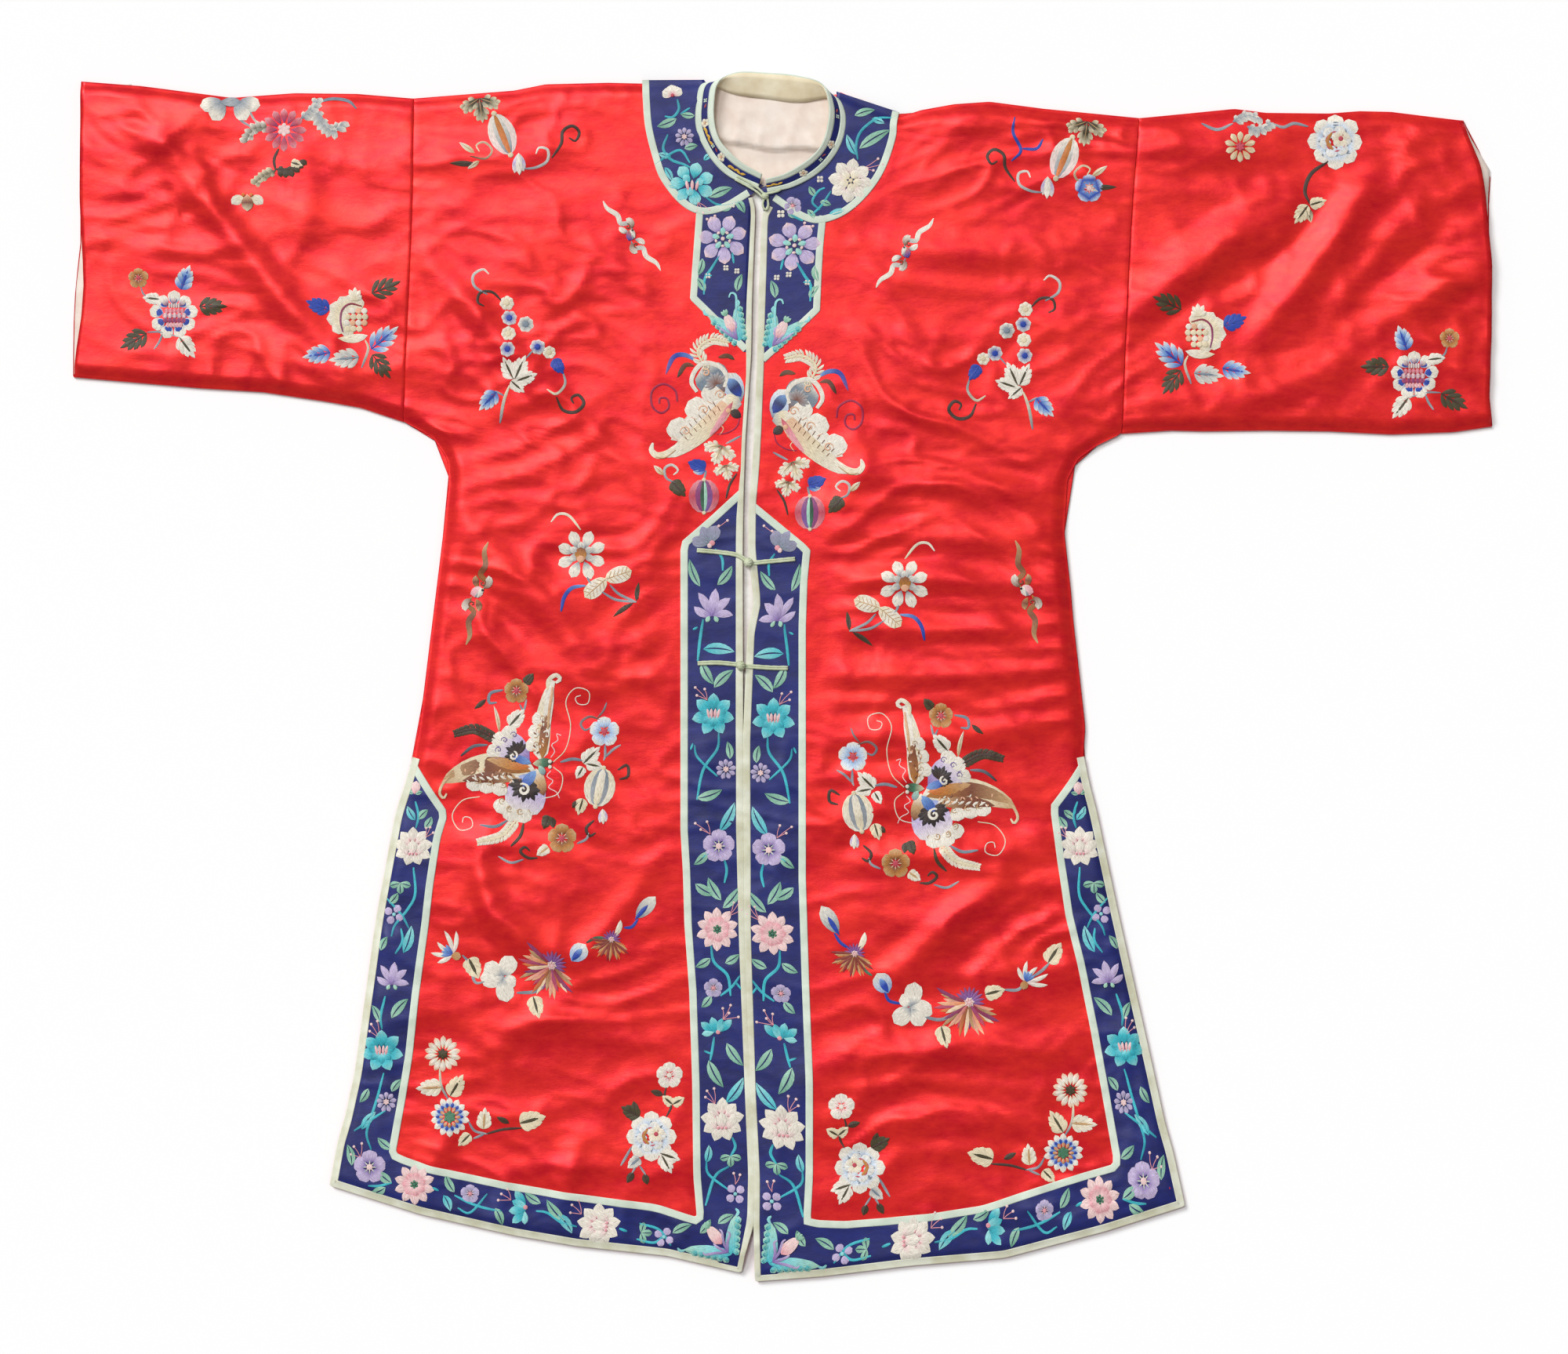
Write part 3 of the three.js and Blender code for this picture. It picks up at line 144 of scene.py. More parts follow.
# Finer creases on the same form, in the same columns; troughs are negative.
CREASES = [
    (120, 150, 160, 205, 215, 175, 0.9, 5), (215, 175, 260, 215, 330, 215, -0.7, 6),
    (230, 260, 290, 300, 330, 360, -1.0, 9), (120, 300, 200, 330, 330, 310, 0.8, 8),
    (110, 240, 210, 265, 320, 250, 0.6, 7), (330, 250, 420, 290, 520, 280, 0.8, 9),
    (350, 180, 440, 220, 525, 215, 0.7, 8), (200, 400, 300, 440, 430, 480, 0.7, 8),
    (380, 330, 470, 360, 525, 420, 1.1, 9), (120, 440, 220, 460, 330, 450, 0.5, 7),
    (540, 250, 640, 290, 740, 270, 0.8, 9), (560, 400, 600, 440, 650, 530, 0.9, 8),
    (545, 330, 570, 430, 580, 520, 0.8, 8), (640, 300, 700, 380, 800, 460, 1.0, 9),
    (700, 500, 770, 560, 830, 640, 1.2, 10), (600, 560, 700, 600, 830, 590, 0.7, 9),
    (590, 660, 690, 690, 800, 660, 0.8, 9), (740, 300, 800, 360, 860, 400, 0.9, 9),
    (575, 700, 640, 800, 740, 900, -0.8, 9), (560, 860, 650, 890, 760, 880, 0.7, 9),
    (780, 700, 800, 800, 850, 900, 0.7, 10), (560, 940, 640, 930, 800, 960, 0.6, 9),
    (600, 1090, 590, 1170, 640, 1230, -1.2, 8), (740, 1220, 790, 1170, 850, 1080, 1.0, 10),
    (620, 1250, 720, 1330, 850, 1330, 0.9, 10), (560, 1280, 610, 1330, 700, 1380, 0.8, 9),
    (540, 1400, 640, 1440, 760, 1400, 0.8, 9), (620, 1500, 720, 1470, 850, 1500, 0.8, 9),
    (780, 1260, 830, 1350, 860, 1450, 0.7, 9), (690, 1000, 760, 1080, 840, 1110, 0.8, 9),
    (1080, 330, 1180, 380, 1330, 370, 0.9, 9), (1060, 420, 1180, 440, 1330, 420, 0.7, 9),
    (1100, 500, 1200, 560, 1330, 560, 1.0, 9), (1180, 190, 1280, 260, 1420, 240, 0.8, 9),
    (1090, 300, 1130, 380, 1200, 480, 0.8, 9), (1300, 400, 1370, 420, 1430, 470, 0.9, 9),
    (1050, 640, 1130, 650, 1250, 640, 0.9, 6), (1045, 705, 1120, 715, 1200, 700, 1.0, 6),
    (1120, 765, 1220, 775, 1340, 770, 0.9, 6), (1050, 775, 1110, 770, 1180, 790, 1.0, 6),
    (1180, 830, 1270, 835, 1360, 825, 1.0, 6), (1045, 890, 1140, 905, 1250, 885, 1.0, 6),
    (1230, 905, 1300, 900, 1375, 880, 1.1, 6), (1050, 980, 1130, 1000, 1250, 985, 0.9, 7),
    (1330, 700, 1350, 706, 1366, 702, 1.4, 4), (1325, 728, 1345, 734, 1366, 731, 1.4, 4),
    (1322, 760, 1345, 764, 1368, 762, 1.4, 4), (1325, 792, 1348, 796, 1370, 792, 1.4, 4),
    (1320, 822, 1348, 827, 1372, 823, 1.4, 4), (1325, 852, 1350, 856, 1374, 853, 1.3, 4),
    (1325, 884, 1352, 888, 1376, 884, 1.3, 4), (1325, 918, 1352, 921, 1380, 916, 1.3, 4),
    (1060, 1180, 1110, 1240, 1180, 1260, 1.0, 9), (1250, 1160, 1310, 1190, 1380, 1180, 0.9, 9),
    (1200, 1250, 1280, 1230, 1380, 1250, 1.0, 9), (1080, 1280, 1180, 1300, 1260, 1280, 0.8, 9),
    (1250, 1380, 1320, 1400, 1400, 1380, 0.8, 9), (1060, 1390, 1150, 1380, 1240, 1400, 0.7, 9),
    (1130, 1480, 1200, 1450, 1300, 1480, 0.9, 9), (1300, 1040, 1340, 1100, 1400, 1180, 0.9, 10),
    (1460, 230, 1560, 260, 1640, 240, 0.8, 9), (1600, 330, 1540, 380, 1450, 430, -1.3, 9),
    (1700, 250, 1640, 330, 1560, 370, -1.2, 8), (1810, 250, 1760, 330, 1690, 400, 1.2, 9),
    (1850, 280, 1800, 340, 1730, 380, -1.0, 8), (1480, 330, 1540, 300, 1620, 240, 0.9, 8),
    (1650, 430, 1740, 470, 1890, 470, 0.9, 9), (1470, 520, 1560, 500, 1640, 460, 0.8, 8),
    (1780, 180, 1830, 230, 1880, 300, 0.9, 8), (1700, 420, 1780, 440, 1880, 430, 0.7, 8),
    (895, 900, 905, 1000, 900, 1100, 0.5, 9), (1000, 1010, 990, 1100, 1000, 1200, 0.5, 9),
    (620, 1590, 630, 1540, 650, 1500, 0.9, 6), (800, 1600, 790, 1560, 800, 1520, 0.9, 6),
    (1180, 1612, 1170, 1570, 1190, 1530, 0.8, 6), (480, 1440, 500, 1380, 490, 1300, 0.7, 7),
    (1440, 1420, 1430, 1340, 1440, 1280, 0.7, 7), (905, 1570, 890, 1540, 870, 1520, 0.8, 6)]
QUIET = [(971, 184, 208, 97), (964, 393, 118, 125), (954, 782, 111, 146)]
# Stand collar: plan point and height of the foot, then of the free edge.
COLLAR = [
    (967.1, 241.1, 8.2, 972.4, 223.9, 13), (938.8, 229.6, 7.6, 948.5, 210.8, 13.5),
    (919.3, 215.7, 7, 931.8, 196.9, 14), (902.7, 194.2, 6.6, 918.6, 181, 14.5),
    (890, 165.7, 6.2, 911.7, 159.4, 15), (889.5, 136, 6, 911.2, 132, 15),
    (898, 108, 5.8, 917, 108, 14.8), (936, 120, 5.2, 940.2, 95.8, 14),
    (977.7, 126.1, 5, 979.1, 96.5, 13.5), (1019.3, 131, 5.2, 1017.9, 100.4, 14),
    (1062, 125, 5.6, 1047, 110.1, 14.5), (1076, 143, 6, 1056.8, 136, 15),
    (1075.5, 171, 6.2, 1055, 164, 15), (1063.5, 198, 6.6, 1046, 189, 14.5),
    (1042, 221, 7, 1027, 208, 14), (1011, 238, 7.6, 1001, 223, 13.5),
    (978.8, 245.3, 8.2, 976.3, 230.3, 13)]


def smooth(t):
    t = np.clip(t, 0, 1)
    return t * t * (3 - 2 * t)


def along(points, spacing, rounded=False):
    """Points spread evenly along a drawn line; rounded runs a curve through them."""
    p = np.array(points, float)
    if rounded:
        q = np.vstack([2 * p[0] - p[1], p, 2 * p[-1] - p[-2]])
        out = []
        for k in range(1, len(q) - 2):
            a, b, c, d = q[k - 1:k + 3]
            t = np.linspace(0, 1, 12, endpoint=False)[:, None]
            out.append(0.5 * (2 * b + (c - a) * t + (2 * a - 5 * b + 4 * c - d) * t ** 2
                              + (3 * b - a - 3 * c + d) * t ** 3))
        p = np.vstack([*out, q[-2]])
    gone = np.concatenate([[0], np.cumsum(np.hypot(*np.diff(p[:, :2], axis=0).T))])
    count = max(2, int(round(gone[-1] / spacing)) + 1)
    at = np.linspace(0, gone[-1], count)
    return np.stack([np.interp(at, gone, p[:, k]) for k in range(p.shape[1])], -1)


class Half:
    """The outline of one body half, by row and by share across."""

    def __init__(self, side):
        self.way = -1 if side == "left" else 1
        self.keys = keys = LEFT_ROWS if side == "left" else RIGHT_ROWS
        v = np.linspace(0, len(keys) - 1, 1200)
        fine = np.stack([np.interp(v, np.arange(len(keys)), keys[:, k]) for k in range(4)], -1)
        self.y = fine[:, 0]
        soft = fine.copy()
        for k in (1, 2, 3):
            pad = np.pad(fine[:, k], 9, mode="edge")
            soft[:, k] = np.convolve(pad, np.hanning(19) / np.hanning(19).sum(), "valid")
        soft[0], soft[-1] = fine[0], fine[-1]
        self.fine = soft
        self.shoulder, self.hem = (np.array(b) for b in BOWS[side])

    def row(self, y):
        return [np.interp(y, self.y, self.fine[:, k]) for k in range(4)]

    def point(self, y, share):
        """Plan point of a row, named by its y at the centre edge, at a share across."""
        y_in, y_out, edge, out = self.row(y)
        inside = np.clip(share, 0, 1)
        top = smooth(1 - (y_in - self.fine[0, 0]) / SHOULDER_FADE)
        low = smooth((y_in - HEM_FADE[0]) / HEM_FADE[1])
        x = edge + (out - edge) * share
        bow = (top * np.interp(inside, *self.shoulder.T) + low * np.interp(inside, *self.hem.T))
        return x, y_in + (y_out - y_in) * share + bow

    def locate(self, x, y):
        """Row and share of a plan point, the inverse of point."""
        x, y = np.asarray(x, float), np.asarray(y, float)
        row = y.copy()
        share = np.zeros_like(x)
        for _ in range(8):
            _, _, edge, out = self.row(row)
            share = (x - edge) / (out - edge)
            row = row + y - self.point(row, share)[1]
        return row, share


HALVES = {side: Half(side) for side in ("left", "right")}


# How much wider the right bands are than the left ones, by left row.
WIDER = [
    (260, 0), (600, 0), (700, -0.13), (790, -0.16), (940, -0.05), (1120, 0), (1390, 0.06),
    (1600, 0.06)]

# Rows of the two tables that lie at the same place of the garment.
SAME_ROWS = {"left": [0, 6, 14, 16, 22, 23], "right": [0, 6, 14, 18, 24, 25]}


def to_right(x, y):
    """A plan point of the left half, taken to the same place on the right half."""
    row, share = HALVES["left"].locate(x, y)
    there = np.interp(row, *(HALVES[side].keys[at, 0] for side, at in SAME_ROWS.items()))
    wider = np.interp(row, *np.array(WIDER).T)
    return HALVES["right"].point(there, share * (1 + wider * (1 - share)))


# ------------------------------------------------------------- the form
def near(gx, gy, line):
    """Distance of net points to a drawn line, and the share along it where they meet it."""
    far, share = np.full(gx.shape, 1e9), np.zeros(gx.shape)
    for k, ((ax, ay), (bx, by)) in enumerate(zip(line[:-1], line[1:])):
        ux, uy = bx - ax, by - ay
        t = np.clip(((gx - ax) * ux + (gy - ay) * uy) / (ux * ux + uy * uy + 1e-9), 0, 1)
        d = np.hypot(gx - ax - t * ux, gy - ay - t * uy)
        share = np.where(d < far, (k + t) / (len(line) - 1), share)
        far = np.minimum(far, d)
    return far, share


class Form:
    """Heights of the front's top over a fine net of plan points, in mm."""

    def __init__(self, spacing=2.0):
        self.s = spacing
        self.nx, self.ny = (int(size / spacing) + 1 for size in PLAN_SIZE)
        self.gx, self.gy = np.meshgrid(np.arange(self.nx) * spacing, np.arange(self.ny) * spacing)
        self.z = np.zeros_like(self.gx)

    def window(self, line, pad):
        """The part of the net that lies around a line."""
        spans = []
        for v, n in ((line[:, 1], self.ny), (line[:, 0], self.nx)):
            low, high = (int(np.clip(e / self.s, 0, n - 1)) for e in (min(v) - pad, max(v) + pad))
            spans.append(slice(low, high + 2))
        return tuple(spans)

    def distance(self, line, pad):
        """Distance to a line, for the net points within pad of it."""
        far = np.full(self.z.shape, 1e9)
        for k in range(len(line) - 1):
            w = self.window(line[k:k + 2], pad)
            far[w] = np.minimum(far[w], near(self.gx[w], self.gy[w], line[k:k + 2])[0])
        return far

    def ridges(self, table):
        """Soft rolls along curves: three points of the curve, height and half width in mm."""
        total = np.zeros_like(self.z)
        for ax, ay, bx, by, cx, cy, height, half in table:
            t = np.linspace(0, 1, 13)[:, None]
            line = (1 - t) ** 2 * (ax, ay) + 2 * t * (1 - t) * (bx, by) + t * t * (cx, cy)
            wide = half * MM / STEP
            w = self.window(line, 3 * wide)
            far, share = near(self.gx[w], self.gy[w], line)
            taper = np.sin(np.pi * (0.12 + 0.76 * share))
            total[w] += height * taper * np.exp(-(far / wide) ** 2)
        return total

    def grain(self, across, down, seed, drift=(0, 0), lean=0.0):
        """Soft random unevenness: bumps of a given size in plan steps, set at a slant."""
        net = np.random.default_rng(seed).uniform(-1, 1, (64, 64))
        fx = (self.gx + lean * self.gy) / across + drift[0] + 2
        fy = (self.gy - 0.5 * lean * self.gx) / down + drift[1] + 2
        i, j = np.floor(fy).astype(int), np.floor(fx).astype(int)
        ty, tx = smooth(fy - i), smooth(fx - j)
        a, b, c, d = (net[(i + m) % 64, (j + n) % 64] for m, n in ((0, 0), (0, 1), (1, 0), (1, 1)))
        return (a * (1 - tx) + b * tx) * (1 - ty) + (c * (1 - tx) + d * tx) * ty

    def at(self, x, y):
        """Height at plan points."""
        fx = np.clip(np.asarray(x, float) / self.s, 0, self.nx - 1.001)
        fy = np.clip(np.asarray(y, float) / self.s, 0, self.ny - 1.001)
        i, j = fy.astype(int), fx.astype(int)
        ty, tx = fy - i, fx - j
        z = self.z
        return ((z[i, j] * (1 - tx) + z[i, j + 1] * tx) * (1 - ty)
                + (z[i + 1, j] * (1 - tx) + z[i + 1, j + 1] * tx) * ty)


# Small wrinkles: spacing across and down in plan steps, slant, seed, height in mm.
WRINKLES = [
    (120, 62, 0.5, 6, 1.7), (74, 36, -0.6, 8, 1.3), (50, 25, 0.4, 12, 0.9),
    (34, 19, -0.5, 14, 0.45)]


def shape_front():
    """Loft, large folds, creases and wrinkles, all lower towards the garment's edges."""
    form = Form()
    edges = []
    for side, half in HALVES.items():
        share = np.linspace(0, 1, 40)
        x, y = half.point(half.y[0], share)
        edges.append(np.stack([x, y - FOLD_OUT * MM / STEP], -1))
        x, y = half.point(half.y[-1], share)
        edges.append(np.stack([x, y], -1))
        rows = np.linspace(UNDERARM[side], half.y[-1], 90)
        edges.append(np.stack(half.point(rows, np.ones_like(rows)), -1))
        edges += [np.array(TOPS[side]), np.array(UNDERS[side])]
    off = np.full(form.z.shape, 1e9)
    for line in edges:
        off = np.minimum(off, form.distance(line, 40))
    off = off * STEP / MM
    calm = np.ones_like(off)
    for qx, qy, rx, ry in QUIET:
        calm *= smooth((np.hypot((form.gx - qx) / rx, (form.gy - qy) / ry) - 0.9) / 0.35)
    rise = smooth((off - FOLD_OUT) / LOFT_RUN)
    form.z = CLOTH + GAP + LOFT * rise + form.ridges(FOLDS) * calm * smooth(off / 24) + CLOTH
    fine = form.ridges(CREASES) * 1.35
    drift = (0.9 * form.grain(170, 120, 21), 1.3 * form.grain(150, 110, 22))
    fine += 0.7 * form.grain(115, 60, 3, drift) + 0.4 * form.grain(58, 30, 4, drift)
    for across, down, lean, seed, much in WRINKLES:
        sharp = form.grain(across, down, seed, drift, lean)
        busy = 0.35 + np.clip(form.grain(230, 170, seed + 1) + 0.35, 0, 1.2)
        fine += much * (1 - np.abs(sharp)) ** 3 * busy
    form.z += fine * (0.35 + 0.65 * calm) * smooth(off / 14)
    return form


FORM = shape_front()


# ------------------------------------------------------------ materials
class Sock:
    """A value in a material that can be added and multiplied."""

    def __init__(self, look, socket):
        self.look, self.socket = look, socket

    def maths(self, operation, a, b):
        return self.look.node("ShaderNodeMath", {"operation": operation}, {0: a, 1: b})

    def __add__(self, other): return self.maths("ADD", self, other)
    def __mul__(self, other): return self.maths("MULTIPLY", self, other)


class Look:
    """One material, built from plain values and mixed colours."""

    def __init__(self, name, **settings):
        self.material = bpy.data.materials.new(name)
        self.material.use_nodes = True
        self.tree = self.material.node_tree
        self.shader = self.tree.nodes["Principled BSDF"]
        for key, value in settings.items():
            self.set(key, value)

    def node(self, kind, settings=None, inputs=None, output=0):
        n = self.tree.nodes.new(kind)
        for key, value in (settings or {}).items():
            setattr(n, key, value)
        for key, value in (inputs or {}).items():
            if isinstance(value, Sock):
                self.tree.links.new(value.socket, n.inputs[key])
            else:
                n.inputs[key].default_value = value
        return Sock(self, n.outputs[output])

    def place(self):
        return self.node("ShaderNodeTexCoord", output="Object")

    def stretched(self, vector, scale):
        return self.node("ShaderNodeVectorMath", {"operation": "MULTIPLY"}, {0: vector, 1: scale})

    def noise(self, vector, scale, detail=2.0):
        return self.node("ShaderNodeTexNoise", None,
                         {"Vector": self.stretched(vector, scale), "Scale": 1.0, "Detail": detail})

    def wave(self, vector, scale, direction="X"):
        return self.node("ShaderNodeTexWave", {"bands_direction": direction},
                         {"Vector": vector, "Scale": scale, "Distortion": 0.6, "Detail": 1.0}, 1)

    def steer(self, value, low, high):
        """Stretch a value so that low becomes 0 and high becomes 1."""
        return self.node("ShaderNodeMapRange", None, {0: value, 1: low, 2: high, 3: 0.0, 4: 1.0})

    def mix(self, share, a, b):
        return self.node("ShaderNodeMix", {"data_type": "RGBA"}, {0: share, 6: a, 7: b}, 2)

    def set(self, key, value):
        if isinstance(value, Sock):
            self.tree.links.new(value.socket, self.shader.inputs[key])
        else:
            self.shader.inputs[key].default_value = value

    def bump(self, height, strength, distance):
        self.set("Normal", self.node("ShaderNodeBump", None, {
            "Strength": strength, "Distance": distance, "Height": height}))


def linear(r, g, b):
    """A display colour, 0 to 255, as the linear colour that materials take."""
    return tuple((v / 255 / 12.92 if v < 10.3 else ((v / 255 + 0.055) / 1.055) ** 2.4)
                 for v in (r, g, b)) + (1.0,)


def satin(name, deep, bright, thread, rough, metal):
    """Silk satin: slubs run across, with a fine weave over them, and a mottle of painted shade and
    painted highlight in its colour.
    """
    look = Look(name, Roughness=rough, Metallic=metal)
    spot = look.place()
    slub = look.noise(spot, (260, 1200, 260), 2.0)
    patch = look.noise(spot, (16, 34, 16), 4.0)
    ripple = look.noise(spot, (90, 170, 90), 3.0)
    # Colour: deep is a painted shade tone and bright a painted highlight tone. The patch and ripple
    # mottle spreads them as painted shaded and lit spots, brighter over the ripple's raised bumps;
    # the slubs are the cloth's own.
    share = look.steer(slub * 0.16 + patch * 0.5 + ripple * 0.34, 0.36, 0.62)
    look.set("Base Color", look.mix(share, linear(*deep), linear(*bright)))
    fine = look.noise(spot, (1600, 3600, 1600), 1.0)
    look.bump(slub * 0.25 + fine * 0.2 + ripple * 0.9, thread, 0.0008)
    return look.material


def woven(name, colour, dark, rough=0.75, scale=1500.0, strength=0.5):
    """Plain ribbon or lining: threads both ways and a little soiling."""
    look = Look(name, Roughness=rough)
    spot = look.place()
    weave = look.wave(spot, scale, "X") * 0.5 + look.wave(spot, scale, "Y") * 0.5
    soil = look.noise(spot, (55, 55, 55), 4.0)
    look.set("Base Color", look.mix(look.steer(soil, 0.32, 0.62), linear(*dark), linear(*colour)))
    look.bump(weave, strength, 0.0002)
    return look.material


def silk_thread(name):
    """Stitched silk: the dye is the piece's own, threads run along each stitch."""
    look = Look(name, Roughness=0.5)
    dye = look.node("ShaderNodeVertexColor", {"layer_name": "dye"})
    run = look.node("ShaderNodeUVMap", {"uv_map": "stitch"})
    strand = look.noise(run, (2.6, 0.16, 1.0), 2.0)
    darker = look.node("ShaderNodeMix", {"data_type": "RGBA", "blend_type": "MULTIPLY"},
                       {0: 1.0, 6: dye, 7: linear(196, 190, 186)}, 2)
    look.set("Base Color", look.mix(look.steer(strand, 0.34, 0.58), darker, dye))
    look.bump(strand, 0.6, 0.0004)
    look.set("Sheen Weight", 0.25)
    look.set("Sheen Roughness", 0.3)
    return look.material


# Each satin's two colours are a painted shade tone (deep) and a painted highlight tone (bright).
RED = satin("red_satin", (208, 8, 30), (238, 42, 34), 0.2, 0.37, 0.5)
NAVY = satin("navy_satin", (8, 16, 80), (20, 32, 110), 0.3, 0.5, 0.12)
PALE = woven("pale_ribbon", (222, 232, 216), (204, 216, 199))
EDGE = woven("edge_ribbon", (228, 229, 210), (206, 204, 176))
CREAM = woven("cream_lining", (252, 238, 226), (240, 220, 206), 0.8, 900.0, 0.8)
WHITE = satin("white_satin", (225, 222, 214), (244, 243, 238), 0.3, 0.4, 0.05)
BEIGE = woven("collar_lining", (250, 238, 208), (230, 213, 176), 0.8, 900.0, 0.5)
CORD = woven("button_cord", (206, 214, 184), (180, 188, 150), 0.7)
THREAD = silk_thread("silk_thread")


# --------------------------------------------------------------- meshes
def add_mesh(name, points, faces, material, replaces=()):
    """A smooth mesh of one finish that rides the garment."""
    mesh = bpy.data.meshes.new(name)
    mesh.from_pydata([tuple(p) for p in points], [], [tuple(int(v) for v in f) for f in faces])
    mesh.materials.append(material)
    mesh.polygons.foreach_set("use_smooth", [True] * len(mesh.polygons))
    mesh.update()
    obj = bpy.data.objects.new(name, mesh)
    bpy.context.scene.collection.objects.link(obj)
    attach(obj, "root")
    if replaces:
        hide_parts(*replaces)
    return obj


def grid_faces(rows, cols, around=False):
    i, j = np.meshgrid(np.arange(rows if around else rows - 1), np.arange(cols - 1), indexing="ij")
    i, j = i.ravel(), j.ravel()
    n = (i + 1) % rows
    return np.stack([i * cols + j, n * cols + j, n * cols + j + 1, i * cols + j + 1], -1)


def add_sheet(name, grid, material, thick, replaces=(), around=False):
    """A cloth sheet over a grid of points in metres, with its thickness inside."""
    obj = add_mesh(name, grid.reshape(-1, 3), grid_faces(*grid.shape[:2], around), material,
                   replaces)
    solid = obj.modifiers.new("cloth", "SOLIDIFY")
    solid.thickness = thick * MM
    solid.offset = -1
    solid.use_rim = True
    return obj


def outward(grid, up_at):
    """Turn a grid so that its faces point up at one of its cells."""
    i, j = up_at
    a, b, c = grid[i, j], grid[i + 1, j], grid[i + 1, j + 1]
    return grid if np.cross(b - a, c - b)[2] > 0 else grid[:, ::-1]


def centre_back(y):
    """Plan x of the centre back seam at a row."""
    up = (MIDDLE[1] - y) * STEP / MM
    return MIDDLE[0] + (SEAM_AT - (NECK_BACK - up) * SEAM_LEAN) * MM / STEP


def puckers(y, seam):
    """Puckers beside a sewn seam and the seam's own dip, in mm; seam is the distance in mm."""
    ruffle = 0.22 * np.sin(y * 0.47) * np.sin(y * 0.13)
    return ruffle * np.exp(-(seam / 9) ** 2) - 0.3 * np.exp(-(seam / 2) ** 2)


def body_half(side):
    """The back from hem to shoulder, the fold over the shoulder, and the front down again."""
    half = HALVES[side]
    rim = np.concatenate([np.linspace(0, 1, 82)[:-1], [1 - 0.007, 1 - 0.003, 1.0, 1.0]])

    def back(y):
        edge, out = centre_back(y), half.row(y)[3]
        x = edge + (out - edge) * rim
        return x, half.point(y, (x - half.row(y)[2]) / (out - half.row(y)[2]))[1]

    rows = []
    for row in (half.y[-1], *BACK_ROWS):
        x, y = back(row)
        notch = NOTCH_HIGH * np.exp(-((x - NOTCH_X) / NOTCH_WIDE) ** 2)
        rows.append(metres(x, y - notch * smooth((row - NOTCH_FROM) / NOTCH_RUN), SATIN))
    top = half.y[0]
    x, y = back(top + 14)
    away = np.abs((x - MIDDLE[0]) * STEP / MM - SEAM_AT)
    neck = MIDDLE[1] - (NECK_BACK + 0.2 * away) * MM / STEP
    rows.append(metres(x, np.maximum(y, neck), SATIN))
    x, y = half.point(top, rim)
    for turn in np.radians(np.linspace(-90, 90, 9)):
        lift = math.sin(turn)
        height = FOLD_OUT * (1 + lift) + SATIN * (1 - lift) / 2
        rows.append(metres(x, y - FOLD_OUT * math.cos(turn) * MM / STEP, height))
    end = half.y[-1]
    down = [*(top + d for d in (1.5, 3, 5, 8)), *np.arange(top + 12, end - 4, 5.4), end - 2, end]
    for row in down:
        x, y = half.point(row, rim)
        z = FORM.at(x, y)
        if row < UNDERARM["left"]:
            z = z + puckers(row, np.abs(x - half.row(row)[3]) * STEP / MM)
        joined = SIDE_SEAM[side][0] < row < SIDE_SEAM[side][1]
        z[-1] = SATIN if joined else z[-1] - 0.3 * SATIN
        rows.append(metres(x, y, z))
    grid = outward(np.array(rows), (60, 40))
    return add_sheet(f"{side}_body_satin", grid, RED, SATIN, [f"{side}_body"])


def sleeve(side):
    """A ring of rows from the seam to the cuff: front, lower fold, back and upper fold."""
    half = HALVES[side]
    top, under, cuff = (np.array(t[side]) for t in (TOPS, UNDERS, CUFFS))
    order = 1 if top[-1, 0] > top[0, 0] else -1

    def line_y(line, x):
        line = line[::order]
        return np.interp(x, line[:, 0], line[:, 1])

    seam_y = half.y[half.y < UNDERARM[side]]
    outer = np.array([half.point(y, np.array(1.0)) for y in seam_y])

    def seam_x(y):
        return np.interp(y, outer[:, 1], outer[:, 0]) - half.way * 0.8

    r = FOLD_OUT * MM / STEP
    share = np.concatenate([[0, 0.005, 0.012], np.linspace(0.024, 1, 72)])

    def place(t, column):
        """A row at share t down the sleeve; column 1 ends at the front cuff, 2 at the back."""
        ends = []
        for line, low in ((top, 0), (under, 1)):
            x0 = seam_x(line[0, 1] + (r if not low else -r))
            x1 = cuff[-1 if low else 0, column]
            x = x0 + (x1 - x0) * share
            ends.append((x, line_y(line, x) + (-r if low else r)))
        y = ends[0][1] + (ends[1][1] - ends[0][1]) * t
        straight = ends[0][0] + (ends[1][0] - ends[0][0]) * t
        off = seam_x(y) - (seam_x(ends[0][1]) * (1 - t) + seam_x(ends[1][1]) * t)
        cut = np.interp(y, cuff[:, 0], cuff[:, column]) - (
            cuff[0, column] * (1 - t) + cuff[-1, column] * t)
        return straight + (1 - share) * off + share ** 2 * cut, y

    def front(t):
        x, y = place(t, 1)
        seam = np.abs(x - seam_x(y)) * STEP / MM
        stitched = puckers(y, seam) - 0.5 * np.exp(-(seam / 0.7) ** 2)
        return metres(x, y, FORM.at(x, y) + stitched)

    def bend(t, way):
        rows = []
        (fx, fy), (bx, by) = place(t, 1), place(t, 2)
        for turn in np.linspace(90, -90, 7)[1:-1]:
            k = (90 - turn) / 180
            x, y = fx + (bx - fx) * k, fy + (by - fy) * k
            lift, out = math.sin(math.radians(turn)), math.cos(math.radians(turn))
            rows.append(metres(x, y + way * out * r, FOLD_OUT * (1 + lift)))
        return rows

    down = np.concatenate([[0, 0.004, 0.01, 0.018], np.linspace(0.03, 0.97, 66),
                           [0.982, 0.99, 0.996, 1]])
    rows = [front(t) for t in down]
    rows += bend(1.0, 1)
    rows += [metres(*place(t, 2), 0) for t in np.linspace(1, 0, 12)]
    rows += bend(0.0, -1)[::-1]
    grid = outward(np.array(rows), (30, 30))
    return add_sheet(f"{side}_sleeve_satin", grid, RED, SATIN, [f"{side}_sleeve"],
                     around=True)


